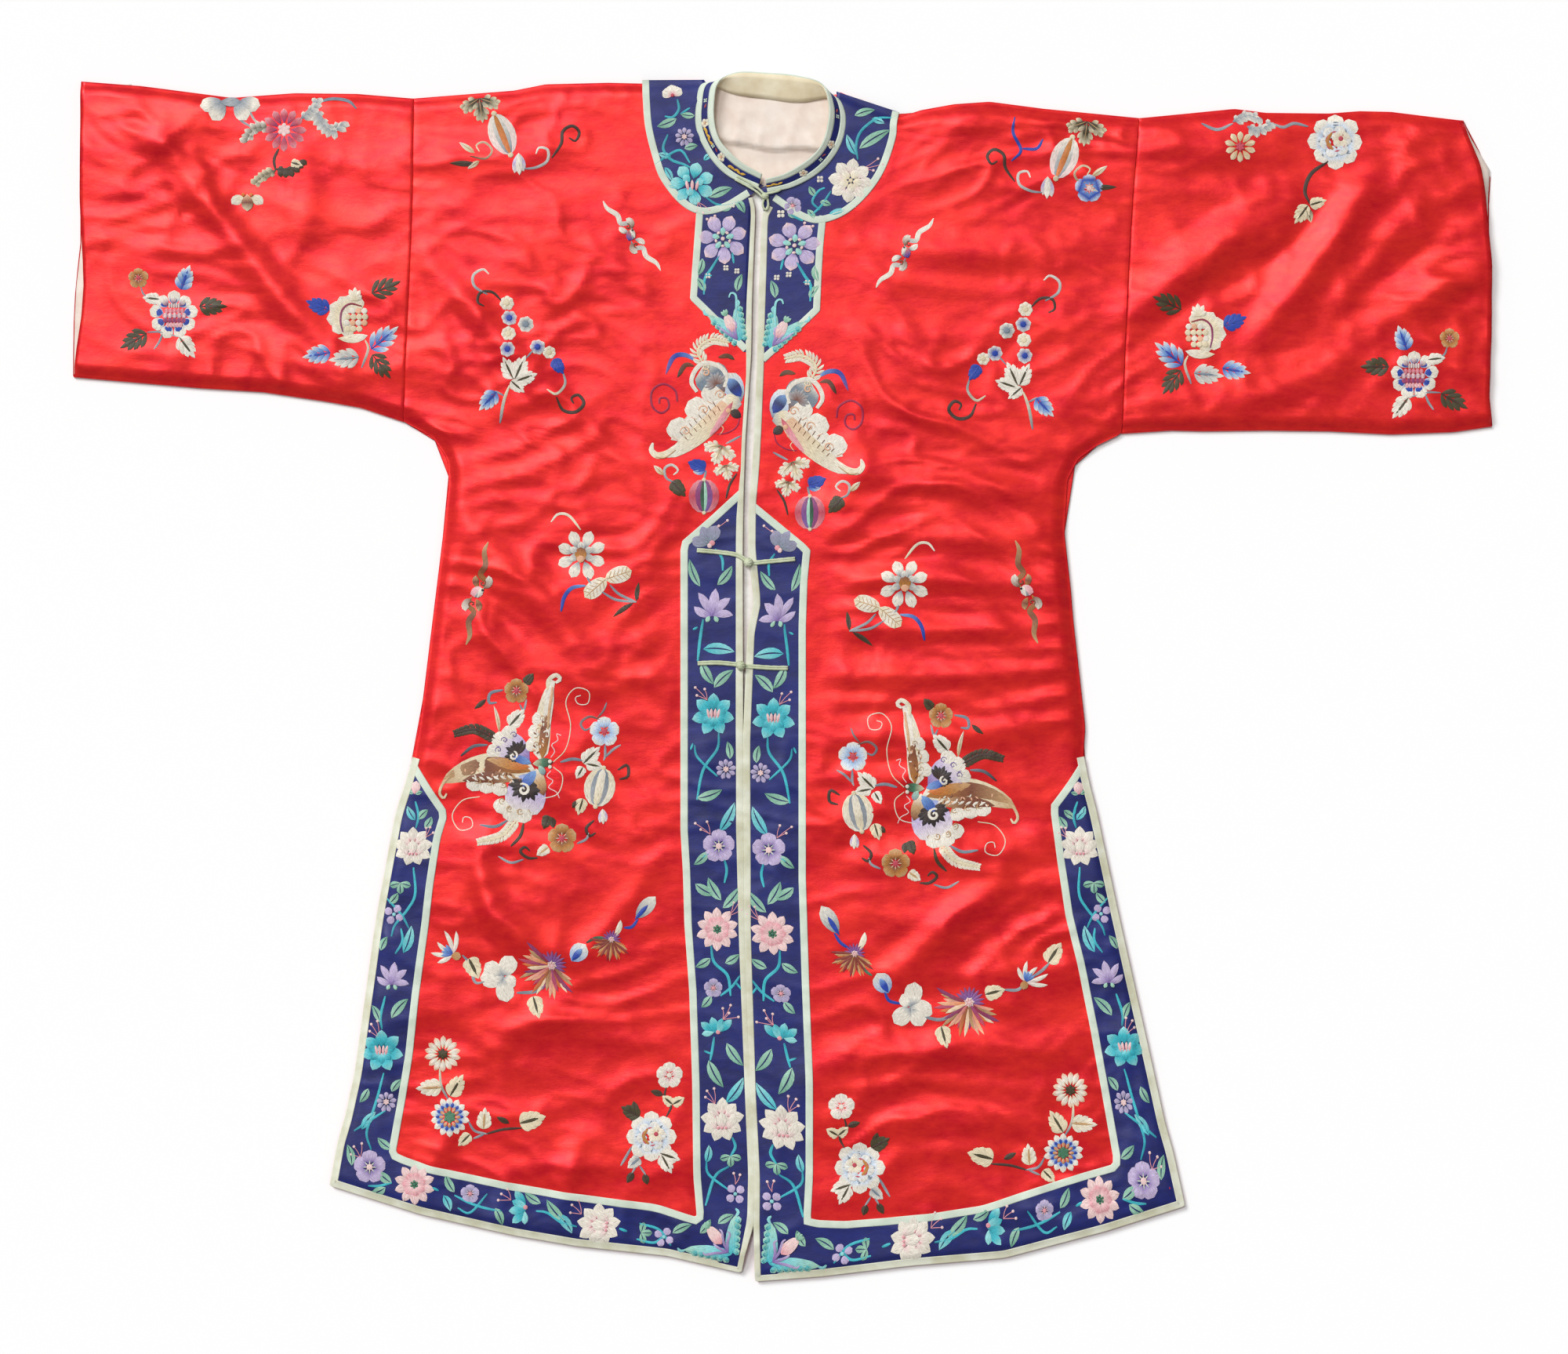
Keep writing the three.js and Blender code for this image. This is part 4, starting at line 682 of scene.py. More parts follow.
def trim(name, pairs, lift, material, replaces=(), spacing=4.0, across=5, on=None,
         roll=0.35):
    """A flat trim between two drawn edges, given as x, y of one and of the other."""
    line = along(pairs, spacing)
    a, b = line[:, :2], line[:, 2:4]
    t = np.concatenate([[0, 0, 0.06], np.linspace(0.14, 0.86, across), [0.94, 1, 1]])
    drop = np.concatenate([[lift + 0.25, roll, 0.08], np.zeros(across), [0.08, roll, lift + 0.25]])
    x = a[:, :1] + (b[:, :1] - a[:, :1]) * t
    y = a[:, 1:] + (b[:, 1:] - a[:, 1:]) * t
    z = (FORM.at(x, y) if on is None else on(x, y)) + lift - drop
    grid = outward(metres(x, y, z), (len(line) // 2, across // 2 + 2))
    return add_mesh(name, grid.reshape(-1, 3), grid_faces(*grid.shape[:2]), material,
                    replaces)


# ------------------------------------------------- satin and its trims
def outline_line(side, *parts):
    """Plan points along parts of the outline: (kind, from, to) by row or share."""
    half = HALVES[side]
    out = []
    for kind, start, end in parts:
        steps = max(2, int(abs(end - start) / (12 if kind != "hem" else 0.015)))
        for v in np.linspace(start, end, steps):
            row, share = {"front": (v, 0.0), "slit": (v, 1.0), "hem": (half.y[-1], v)}[kind]
            x, y = half.point(row, np.array(share))
            out.append((float(x), float(y)))
    return [p for k, p in enumerate(out) if not k or math.dist(p, out[k - 1]) > 0.5]


def inset_line(points, widths, way):
    """A line moved sideways by a width at each of its points."""
    p = np.array(points, float)
    steps = np.diff(p, axis=0)
    before, after = np.vstack([steps[0], steps]), np.vstack([steps, steps[-1]])
    a, b = ([np.array([d[1], -d[0]]) / np.hypot(*d) for d in e] for e in (before, after))
    out = []
    for k in range(len(p)):
        n = a[k] + b[k]
        out.append(p[k] + way * widths[k] * n * 2 / max(n @ n, 0.8))
    return np.array(out)


# Red side of each pale ribbon, as plan points down the half.
BORDER = {
    "left": [
        ("front", 942, 626), ("front", 905, 660), ("front", 868, 692), ("front", 868, 780),
        ("front", 868, 1060), ("front", 871, 1110), ("front", 873, 1180), ("front", 879, 1262),
        ("front", 883, 1380), ("front", 884.5, 1500), ("corner", 889, 1552), ("hem", 838, 1535),
        ("hem", 780, 1528), ("hem", 716, 1519), ("hem", 646, 1507), ("hem", 551, 1487),
        ("far", 505, 1471), ("slit", 516, 1410), ("slit", 526, 1350), ("slit", 535, 1269),
        ("slit", 547, 1180), ("slit", 553, 1129), ("slit", 562, 1070), ("slit", 572, 1037),
        ("slit", 552, 1008), ("slit", 530, 972)],
    "right": [
        ("front", 961, 640), ("front", 1000, 672), ("front", 1034, 700), ("front", 1030, 740),
        ("front", 1028, 800), ("front", 1028, 1120), ("front", 1032, 1250), ("front", 1037, 1380),
        ("front", 1037, 1500), ("corner", 1034, 1555), ("hem", 1078, 1557), ("hem", 1130, 1553),
        ("hem", 1190, 1547), ("hem", 1253, 1537), ("hem", 1301, 1521), ("hem", 1365, 1500),
        ("far", 1421, 1484), ("slit", 1406, 1399), ("slit", 1390, 1310), ("slit", 1374, 1230),
        ("slit", 1359, 1170), ("slit", 1349, 1104), ("slit", 1339, 1028), ("slit", 1360, 1000),
        ("slit", 1375, 977)]}
CHEST = {
    "left": [
        (888, 272, 959, 250), (886, 300, 957, 300), (883, 340, 955, 340), (880, 382, 954, 382),
        (915, 416, 953, 416), (948, 449, 953, 449)],
    "right": [
        (1054, 276, 973, 248), (1050, 315, 976, 315), (1048, 350, 974, 350), (1046, 397, 972, 397),
        (1010, 431, 971, 431), (976, 462, 971, 462)]}
YOKES = {
    "left": [
        (898, 101.5, 819, 102), (904, 114, 820, 128), (905, 137, 823, 163), (904, 160, 832, 200),
        (910, 180, 843, 230), (919, 196, 868, 261), (938, 212, 895, 274), (954, 225, 926, 268),
        (974, 237, 957, 250)],
    "right": [
        (1067, 116.5, 1147, 143), (1067, 132, 1144, 158), (1066, 146, 1142, 178),
        (1060, 162, 1128, 218), (1052, 180, 1106, 250), (1040, 198, 1078, 274),
        (1020, 214, 1046, 285), (996, 228, 1020, 279), (968, 242, 985, 256)]}
NAVY_UP, PALE_UP, EDGE_UP = 0.6, 1.1, 1.25  # how far each trim stands over the satin, mm
RIBBON, CHEST_RIBBON, YOKE_RIBBON, BINDING = 9.5, 9, 9.0, 9.0  # widths in plan steps
# Rows where the binding starts at the neck and where it ends at the slit.
BINDING_ENDS = {"left": (252, 980), "right": (262, 985)}
# Width of the binding down the front edge: row, width.
EDGE_WIDE = {
    "left": [
        (250, 4.5), (345, 5.5), (430, 7), (480, 4), (600, 4), (660, 8), (1060, 9), (1180, 7),
        (1390, 6), (1500, 5), (1625, 6)],
    "right": [(250, 7), (345, 8), (760, 8.5), (1060, 8.5), (1400, 7), (1625, 7)]}


def border_pairs(side):
    """The border band as pairs of points: its ribbon's edge and the garment's edge."""
    half = HALVES[side]
    rows = []
    for kind, x, y in BORDER[side]:
        row, share = (float(v) for v in half.locate(x, y))
        rows.append((x, y, *{"front": (row, 0), "corner": (half.y[-1], 0), "far": (half.y[-1], 1),
                             "hem": (half.y[-1], share), "slit": (row, 1)}[kind]))
    out = []
    for x, y, row, share in along(rows, 12.0):
        ex, ey = half.point(row, np.array(share))
        out.append((x, y, float(ex), float(ey)))
    return out


def ribbon_on(name, pairs, wide, side, replaces=()):
    """A pale ribbon along the first edge of a band."""
    p = along(pairs, 4.0)
    inner = inset_line(p[:, :2], np.full(len(p), wide), -HALVES[side].way)
    return trim(name, np.hstack([p[:, :2], inner]), PALE_UP, PALE, replaces,
                across=3)


def add_trims(side):
    """Bands, yoke, ribbons and binding of one side."""
    half = HALVES[side]
    pairs = border_pairs(side)
    trim(f"{side}_border_satin", pairs, NAVY_UP, NAVY, [f"{side}_border_band"],
         across=14)
    ribbon_on(f"{side}_border_pale", pairs, RIBBON, side, [f"{side}_border_ribbon"])
    trim(f"{side}_chest_satin", CHEST[side], NAVY_UP, NAVY, [f"{side}_chest_band"],
         across=10)
    ribbon_on(f"{side}_chest_pale", CHEST[side], CHEST_RIBBON, side, [f"{side}_chest_ribbon"])
    yoke_pairs = along(YOKES[side], 3.0, True)
    trim(f"{side}_yoke_satin", yoke_pairs, NAVY_UP + 0.15, NAVY, [f"{side}_yoke"],
         across=10, spacing=3.0)
    outer = yoke_pairs[:, 2:4]
    inner = inset_line(outer, np.full(len(outer), YOKE_RIBBON), -half.way)
    trim(f"{side}_yoke_pale", np.hstack([outer, inner]), PALE_UP + 0.2, PALE,
         [f"{side}_yoke_ribbon"], across=3, spacing=3.0)
    start, stop = BINDING_ENDS[side]
    p = along(outline_line(side, ("front", start, half.y[-1] - 1), ("hem", 0.0, 1.0),
                           ("slit", half.y[-1] - 4, stop)), 4.0)
    wide = np.where(np.abs(p[:, 0] - half.row(half.y[-1])[2]) < 30,
                    np.interp(p[:, 1], *np.transpose(EDGE_WIDE[side])), BINDING)
    past = np.full(len(p), 0.9)
    if side == "left":
        front = np.abs(p[:, 0] - 955) < 14
        past += front * np.interp(p[:, 1], [1340, 1430, 1560, 1600], [0, 3.4, 3.4, 0])
    outside, inside = (inset_line(p, by, way) for by, way in ((past, -half.way), (wide, half.way)))
    trim(f"{side}_edge_pale", np.hstack([outside, inside]), EDGE_UP, EDGE,
         [f"{side}_edge_binding"], across=3, roll=0.5)


# --------------------------------------------------- collar and linings
def collar_grid(low, high, out, across):
    """Points on the collar between two shares of its height, moved out by mm."""
    line = along(COLLAR, 2.5, True)
    foot, free = line[:, :3], line[:, 3:6]
    foot_m, free_m = (metres(*e.T) for e in (foot, free))
    step = np.gradient(foot_m + free_m, axis=0)
    normal = np.cross(step, free_m - foot_m)
    normal /= np.linalg.norm(normal, axis=1)[:, None]
    share = np.linspace(low, high, across)[None, :, None]
    swell = np.sin(np.pi * share) * 0.4
    grid = foot_m[:, None] + (free_m - foot_m)[:, None] * share
    return grid + normal[:, None] * (out + swell) * MM


def shell(name, inner, outer, material, replaces=()):
    """A closed strip between two grids of the same size."""
    rows, cols = inner.shape[:2]
    around = np.concatenate([outer, inner[:, ::-1]], 1)
    n = 2 * cols
    faces = []
    for i in range(rows - 1):
        for j in range(n):
            k = (j + 1) % n
            faces.append((i * n + j, (i + 1) * n + j, (i + 1) * n + k, i * n + k))
    faces.append(tuple(range(n)))
    faces.append(tuple((rows - 1) * n + j for j in range(n))[::-1])
    obj = add_mesh(name, around.reshape(-1, 3), faces, material, replaces)
    obj.data.polygons[len(faces) - 1].use_smooth = False
    obj.data.polygons[len(faces) - 2].use_smooth = False
    return obj


def collar_out():
    """1 if the collar's computed normal points away from the neck, else -1."""
    a, b = collar_grid(0.5, 0.6, 0, 2), collar_grid(0.5, 0.6, 5, 2)
    centre = a[:, 0].mean(0)
    near_sum, far_sum = (np.linalg.norm((g[:, 0] - centre)[:, :2], axis=1).sum() for g in (a, b))
    return 1 if far_sum > near_sum else -1


def add_collar():
    o = collar_out()
    shell("collar_inner", collar_grid(0, 1, -0.55 * o, 6), collar_grid(0, 1, 0.55 * o, 6), BEIGE,
          ["collar"])
    for name, low, high, up, material, slot, node in (
            ("collar_foot_pale", -0.02, 0.32, 1.75, PALE, "pale_ribbon", "collar_seam_ribbon"),
            ("collar_navy", 0.3, 0.7, 1.45, NAVY, "blue_satin", "collar_band"),
            ("collar_free_pale", 0.68, 1.04, 1.75, PALE, "pale_ribbon", "collar_top_ribbon")):
        shell(name, collar_grid(low, high, 0.7 * o, 5), collar_grid(low, high, up * o, 5),
              material, [node])


# Small work on the collar: plan place, kind.
COLLAR_WORK = [
    (944, 222, "gold"), (920, 203, "bloom"), (903, 180, "gold"), (897, 158, "bloom"),
    (898, 130, "fleck"), (990, 234, "gold"), (1022, 217, "bloom"), (1044, 203, "fleck"),
    (1058, 184, "bloom"), (1067, 150, "fleck"), (906, 190, "fleck")]


def collar_work():
    """Cream flowers and gold sprigs on the navy band of the collar."""
    way = collar_out()
    low, high = (collar_grid(0.3, 0.7, up * way, 9) for up in (1.5, 2.5))
    middle = low[:, 4]
    walk = np.concatenate([[0], np.cumsum(np.linalg.norm(np.diff(middle, axis=0), axis=1))])
    walk /= STEP
    wide = float(np.linalg.norm(low[:, -1] - low[:, 0], axis=1).mean()) / STEP

    def place(x, y, lift):
        row = np.interp(x, walk, np.arange(len(walk)))
        col = np.clip(y / wide, 0, 1) * 8
        i, j = (np.minimum(v.astype(int), n - 2) for v, n in ((row, len(walk)), (col, 9)))
        a, b = (row - i)[:, None], (col - j)[:, None]
        out = []
        for g in (low, high):
            out.append((g[i, j] * (1 - a) + g[i + 1, j] * a) * (1 - b)
                       + (g[i, j + 1] * (1 - a) + g[i + 1, j + 1] * a) * b)
        return out[0] + (out[1] - out[0]) * np.asarray(lift)[:, None]

    cloth = Stitches(0.0)
    for x, y, kind in COLLAR_WORK:
        spot = metres(x, y, 10)
        k = int(np.argmin(np.hypot(*(middle - spot)[:, :2].T)))
        p = Pen(cloth, walk[k], wide / 2)
        if kind == "bloom":
            p.ring(5, 1.2, 4.6, 4.4, "cream ivory", full=0.5, n=5, m=3)
            p.dot(0, 0, 1.5, "peach", 0.7)
        elif kind == "gold":
            for u, v, h in ((-8, 1, 70), (-2, -2, 110), (2, 2, 60), (7, -1, 95), (11, 1, 60)):
                p.petal(u, v, h, 7.5, 3.2, "gold gold", n=5, m=3)
        else:
            p.ring(4, 0.4, 2.6, 2.0, "sea ivory", start=45, n=4, m=3)
            p.petal(-4, 2, -70, 6, 2.2, "brown rose", n=4, m=3)
    return cloth.finish("collar_embroidery", place=place)


# Neck lining: y, x of the left edge, x of the right edge.
NECK = [
    (108, 908, 1048), (120, 899, 1060), (136, 892, 1069), (160, 889, 1073), (200, 886, 1066),
    (240, 926, 1024)]
# The same for the white strip behind the front opening.
UNDERLAP = [
    (241.4, 912.4, 1031.8), (337.2, 909.6, 1017.9), (448.3, 906.8, 1009.6), (587.2, 904.1, 1004.1),
    (726.1, 901.3, 1001.3), (837.2, 904.1, 998.5), (920.6, 909.6, 990.2)]


# Pulls in the neck lining, fanning out from its fold: plan x, lean, half width, height in mm.
NECK_PULLS = [
    (903, 0.5, 5, 1.3), (916, 0.9, 4, 1.0), (1030, -0.7, 4, 1.4), (1041, -0.4, 4, 1.6),
    (1050, -0.9, 4, 1.0), (938, 0.2, 4, 1.8), (952, -0.3, 5, 1.2), (967, 0.2, 4, 1.6),
    (985, -0.2, 5, 1.0), (1004, 0.3, 5, 1.3)]


def add_linings():
    def neck_top(x, y):
        """Height of the neck lining: a fold across the neck, its pulls and a dip below it."""
        line = 191 - 19 * np.exp(-np.clip(x - 910, -20, 999) / 28) + 1.5 * np.sin(x / 11)
        fold = 4.2 * smooth((line - y) / 4 + 0.5) * np.exp(-np.clip(line - y, 0, 99) / 55)
        pull = np.zeros_like(x)
        for at, lean, wide, much in NECK_PULLS:
            ray = np.exp(-((x - at - lean * (line - y)) / wide) ** 2)
            pull += much * ray * smooth((line + 2 - y) / 10) * np.exp(-np.abs(line - y) / 30)
        dip = -1.2 * np.exp(-((y - line - 16) / 12) ** 2)
        return 3.2 + fold + pull + dip + 0.3 * np.sin(x / 17 + y / 11) * np.sin(y / 9)

    trim("neck_cream", [(a, y, b, y) for y, a, b in NECK], 0.0, CREAM,
         ["neck_lining"], across=36, spacing=3.0, on=neck_top, roll=0.0)
    trim("front_white", [(a, y, b, y) for y, a, b in UNDERLAP], 0.0, WHITE,
         ["front_underlap"], across=14, spacing=6.0,
         on=lambda x, y: 2.6 + 0.25 * np.sin(y / 23 + x / 40), roll=0.0)


def cuff_lining(side):
    """Lining ring in the cuff, a little past the satin where it shows."""
    cuff, way = np.array(CUFFS[side], float), -HALVES[side].way
    y = np.linspace(cuff[0, 0] + 4, cuff[-1, 0] - 4, 60)
    front, back = (np.interp(y, cuff[:, 0], cuff[:, k]) for k in (1, 2))
    deep = np.linspace(0, CUFF_DEEP * MM / STEP, 8) + 1.6
    rows = []
    for row, edge in zip(y, front):
        x = edge + way * (deep + 0.6)
        below = FORM.at(np.maximum(way * x, way * edge + 3) * way, row) - SATIN - 0.9
        rows.append(metres(x, row, np.maximum(below, 2.2)))
    for row, edge in zip(y[::-1], back[::-1]):
        rows.append(metres(edge + way * deep, row, 1.35))
    grid = outward(np.array(rows), (10, 3))
    return add_sheet(f"{side}_cuff_cream", grid, CREAM, 0.5,
                     [f"{side}_cuff_lining"], around=True)


# --------------------------------------------------------- knot buttons
def tube(points, radius, sides=8, flat=1.0, twist=0.0, turns=0.0):
    """Points and faces of a cord along a line given in metres, pressed flat by a share."""
    p = np.array(points, float)
    step = np.gradient(p, axis=0)
    step /= np.linalg.norm(step, axis=1)[:, None]
    side_way = np.cross(step, (0, 0, 1.0))
    side_way /= np.linalg.norm(side_way, axis=1)[:, None] + 1e-9
    up = np.cross(side_way, step)
    verts, faces = [], []
    for k, c in enumerate(p):
        swell = 1 + twist * math.sin(turns * 2 * math.pi * k / (len(p) - 1))
        for j in range(sides):
            a = 2 * math.pi * j / sides
            verts.append(c + radius * swell * (math.cos(a) * side_way[k]
                                               + flat * math.sin(a) * up[k]))
    for k in range(len(p) - 1):
        for j in range(sides):
            n = (j + 1) % sides
            faces.append((k * sides + j, (k + 1) * sides + j, (k + 1) * sides + n, k * sides + n))
    faces.append(tuple(range(sides)))
    faces.append(tuple((len(p) - 1) * sides + j for j in range(sides))[::-1])
    return verts, faces


def join(name, parts, material, replaces=()):
    verts, faces = [], []
    for v, f in parts:
        faces += [tuple(len(verts) + i for i in face) for face in f]
        verts += list(v)
    return add_mesh(name, verts, faces, material, replaces)


# Knot buttons on the front: name, plan points of the loop cord, the knot, the stem cord.
BUTTONS = [
    ("upper", [(889, 702), (918, 704.5), (940, 708), (952, 715)], (954.5, 717.5),
        [(958, 718.5), (987.4, 715.6), (1014.1, 713.1)]),
    ("lower", [(890, 846.1), (915.2, 845.3), (941, 847.5)], (945, 848.9),
        [(950, 849.5), (981.8, 851.7), (1005, 852.1)])]


# Cords of the neck button: plan points with their height.
NECK_CORDS = [
    [(940, 226, 10.2), (956, 234, 10.6), (968, 242, 10.8), (976, 250, 10.8)],
    [(938, 230, 9.8), (954, 238.5, 10.2), (966, 246, 10.4), (974, 254, 10.2)],
    [
        (976, 252, 9.8), (973, 259, 9.4), (974, 266, 9.0), (978, 268, 9.0), (980, 262, 9.4),
        (979, 254, 9.8)],
    [(978, 248, 10.8), (988, 246, 10.8), (996, 243, 10.4)]]


def knot_parts(x, y, z, radius):
    """A round knot: a core and the passes of cord that cross over it."""
    centre = metres(x, y, z)
    r = radius * MM
    parts = []
    for tilt, turn in ((0, 0), (62, 20), (62, 80), (62, 140), (90, 50), (90, 110), (90, 170)):
        a = np.linspace(0, 2 * math.pi, 21)
        ring = np.stack([np.cos(a), np.sin(a), 0.12 * np.sin(3 * a)], -1) * r * 0.74
        t, s = math.radians(tilt), math.radians(turn)
        rx = np.array([[1, 0, 0], [0, math.cos(t), -math.sin(t)], [0, math.sin(t), math.cos(t)]])
        rz = np.array([[math.cos(s), -math.sin(s), 0], [math.sin(s), math.cos(s), 0], [0, 0, 1]])
        ring = ring @ rx.T @ rz.T
        ring[:, 2] *= 0.8
        parts.append(tube(centre + ring, r * 0.27, 6))
    return parts


def add_buttons():
    """Loop, knot and stem of the two front buttons, and the neck button with its cords."""
    for name, loop, knot, stem in BUTTONS:
        for part, line in (("loop", loop), ("stem", stem)):
            p = along(line, 3.0, True)
            z = np.maximum(FORM.at(p[:, 0], p[:, 1]) + NAVY_UP + 1.3, 7.6)
            cords = [tube(metres(*inset_line(p, np.full(len(p), off), 1).T, z), 1.15 * MM, 8, 0.85,
                          0.1, len(p) / 1.5) for off in (-1.35, 1.35)]
            join(f"{name}_button_{part}", cords, CORD, [f"{name}_frog_{part}"])
        join(f"{name}_button_knot", knot_parts(*knot, 11.0, 4.3), CORD,
             [f"{name}_frog_knot"])
    cords = knot_parts(976, 251, 10.6, 3.3)
    for line in NECK_CORDS:
        p = along(line, 2.0, True)
        cords.append(tube(metres(*p.T), 1.05 * MM, 8, 0.9, 0.1, len(p) / 1.5))
    join("neck_button_knot", cords, CORD, ["neck_frog_knot"])


# ------------------------------------------------------------ the scene
def add_light(name, slant, around, strength, softness):
    """A soft distant light: degrees off the vertical and round from the top of the plan."""
    light = bpy.data.lights.new(name, "SUN")
    light.energy, light.angle = strength, math.radians(softness)
    obj = bpy.data.objects.new(name, light)
    obj.location = (0, 0, 4)
    obj.rotation_euler = (math.radians(slant), 0, math.radians(around + 180))
    bpy.context.scene.collection.objects.link(obj)


LENS, SENSOR = 85, 36                # mm
FLOOR_HALF, FLOOR_Z = 4, -0.0004     # half the paper's width, and its height, in metres


def stage():
    """White paper below, soft light from the upper right, and a lens straight above."""
    scene = bpy.context.scene
    scene.view_settings.view_transform = "Standard"
    scene.view_settings.look = "None"
    world = bpy.data.worlds.new("studio")
    scene.world = world
    world.use_nodes = True
    world.node_tree.nodes["Background"].inputs["Color"].default_value = (1, 1, 1, 1)
    world.node_tree.nodes["Background"].inputs["Strength"].default_value = 0.3
    camera = bpy.data.objects.new("camera", bpy.data.cameras.new("camera"))
    camera.data.lens, camera.data.sensor_width = LENS, SENSOR
    camera.data.clip_end = 20
    wide, tall = PLAN_SIZE
    camera.location = ((wide / 2 - MIDDLE[0]) * STEP, (MIDDLE[1] - tall / 2) * STEP + SHIFT_Y,
                       wide * STEP * LENS / SENSOR + 0.005)
    scene.collection.objects.link(camera)
    scene.camera = camera
    add_light("window", 50, 42, 2.1, 22)
    add_light("lamp", 22, 35, 1.15, 16)
    floor = bpy.data.meshes.new("floor")
    floor.from_pydata([(x * FLOOR_HALF, y * FLOOR_HALF, FLOOR_Z)
                       for x, y in ((-1, -1), (1, -1), (1, 1), (-1, 1))], [], [(0, 1, 2, 3)])
    paper = Look("paper", Roughness=0.9)
    paper.set("Base Color", (0.93, 0.93, 0.93, 1))
    floor.materials.append(paper.material)
    obj = bpy.data.objects.new("floor", floor)
    scene.collection.objects.link(obj)


# Cloth as it was cut, for each side: piece, then width, length (m) and area (m2) of the left
# one and of the right one, how it is held, what it lies on, and the pieces sewn to it.
SIDE_CUTS = [
    ("body_satin", (0.41, 2.2, 0.69), (0.41, 2.2, 0.70), "laid", [],
     ["body_embroidery", "edge_pale"]),
    ("sleeve_satin", (0.315, 0.6, 0.17), (0.345, 0.6, 0.194), "laid", [], ["sleeve_embroidery"]),
    ("cuff_cream", (0.045, 0.545, 0.0243), (0.045, 0.57, 0.0253), "folded", ["sleeve_satin"], []),
    ("border_satin", (0.062, 1.43, 0.0714), (0.064, 1.46, 0.0745), "laid", ["body_satin"],
     ["border_pale", "band_embroidery"]),
    ("chest_satin", (0.058, 0.144, 0.006), (0.062, 0.155, 0.0066), "laid", ["body_satin"],
     ["chest_pale"]),
    ("yoke_satin", (0.115, 0.126, 0.0087), (0.13, 0.125, 0.0085), "laid", ["body_satin"],
     ["yoke_pale", "yoke_embroidery"])]
MIDDLE_CUTS = [
    ("front_white", 0.095, 0.49, 0.0359, "laid", [], []),
    ("neck_cream", 0.128, 0.093, 0.0101, "laid", [], []),
    ("collar_inner", 0.02, 0.36, 0.0063, "folded", [],
     ["collar_foot_pale", "collar_navy", "collar_free_pale", "collar_embroidery"])]


def declare_cloth():
    cuts = []
    for piece, left, right, held, *others in SIDE_CUTS:
        for side, size in (("left", left), ("right", right)):
            cuts.append((f"{side}_{piece}", *size, held,
                         *([f"{side}_{name}" for name in names] for names in others)))
    for name, width, length, area, held, below, sewn_on in cuts + MIDDLE_CUTS:
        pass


# ----------------------------------------------------------- embroidery
DYES = {
    "ivory": (240, 234, 220), "cream": (236, 222, 188), "blush": (246, 214, 212),
    "pink": (236, 160, 170), "rose": (200, 72, 92), "magenta": (165, 12, 66),
    "plum": (142, 62, 118), "lilac": (200, 184, 222), "haze": (160, 156, 186),
    "violet": (126, 98, 172), "turquoise": (60, 190, 204), "aqua": (150, 224, 226),
    "teal": (30, 150, 170), "sea": (168, 216, 192), "leaf": (116, 176, 150), "green": (70, 128, 96),
    "olive": (70, 62, 34), "bark": (66, 42, 30), "navy_blue": (30, 44, 104), "blue": (28, 66, 172),
    "sky": (126, 168, 222), "ice": (206, 222, 240), "slate": (122, 136, 150),
    "grey": (168, 172, 176), "ochre": (190, 126, 56), "gold": (226, 178, 62),
    "orange": (226, 120, 52), "brown": (128, 70, 44), "tan": (204, 164, 116), "ink": (34, 30, 34),
    "wine": (150, 30, 40), "peach": (240, 186, 150)}
DARK_VEINS = ("olive", "bark", "slate", "tan", "blue", "ink")
TINT = {name: np.array(linear(*rgb)[:3]) for name, rgb in DYES.items()}


def blend(t, dyes):
    """Colours at shares t of a stitched form whose dyes are named from foot to point."""
    tints = np.array([TINT[dye] for dye in dyes.split()])
    stops = np.linspace(0, 1, len(tints)) if len(tints) > 1 else [0.0]
    return np.stack([np.interp(t, stops, tints[:, k]) for k in range(3)], -1)


def as_points(flat):
    """x, y, x, y ... as a list of points."""
    return list(zip(flat[::2], flat[1::2]))


def spoke(heading, reach):
    """A place at a reach from the middle; heading 0 is up, turning clockwise."""
    a = math.radians(heading)
    return math.sin(a) * reach, -math.cos(a) * reach


def bearing(fx, fy, tx, ty):
    return math.degrees(math.atan2(tx - fx, fy - ty))


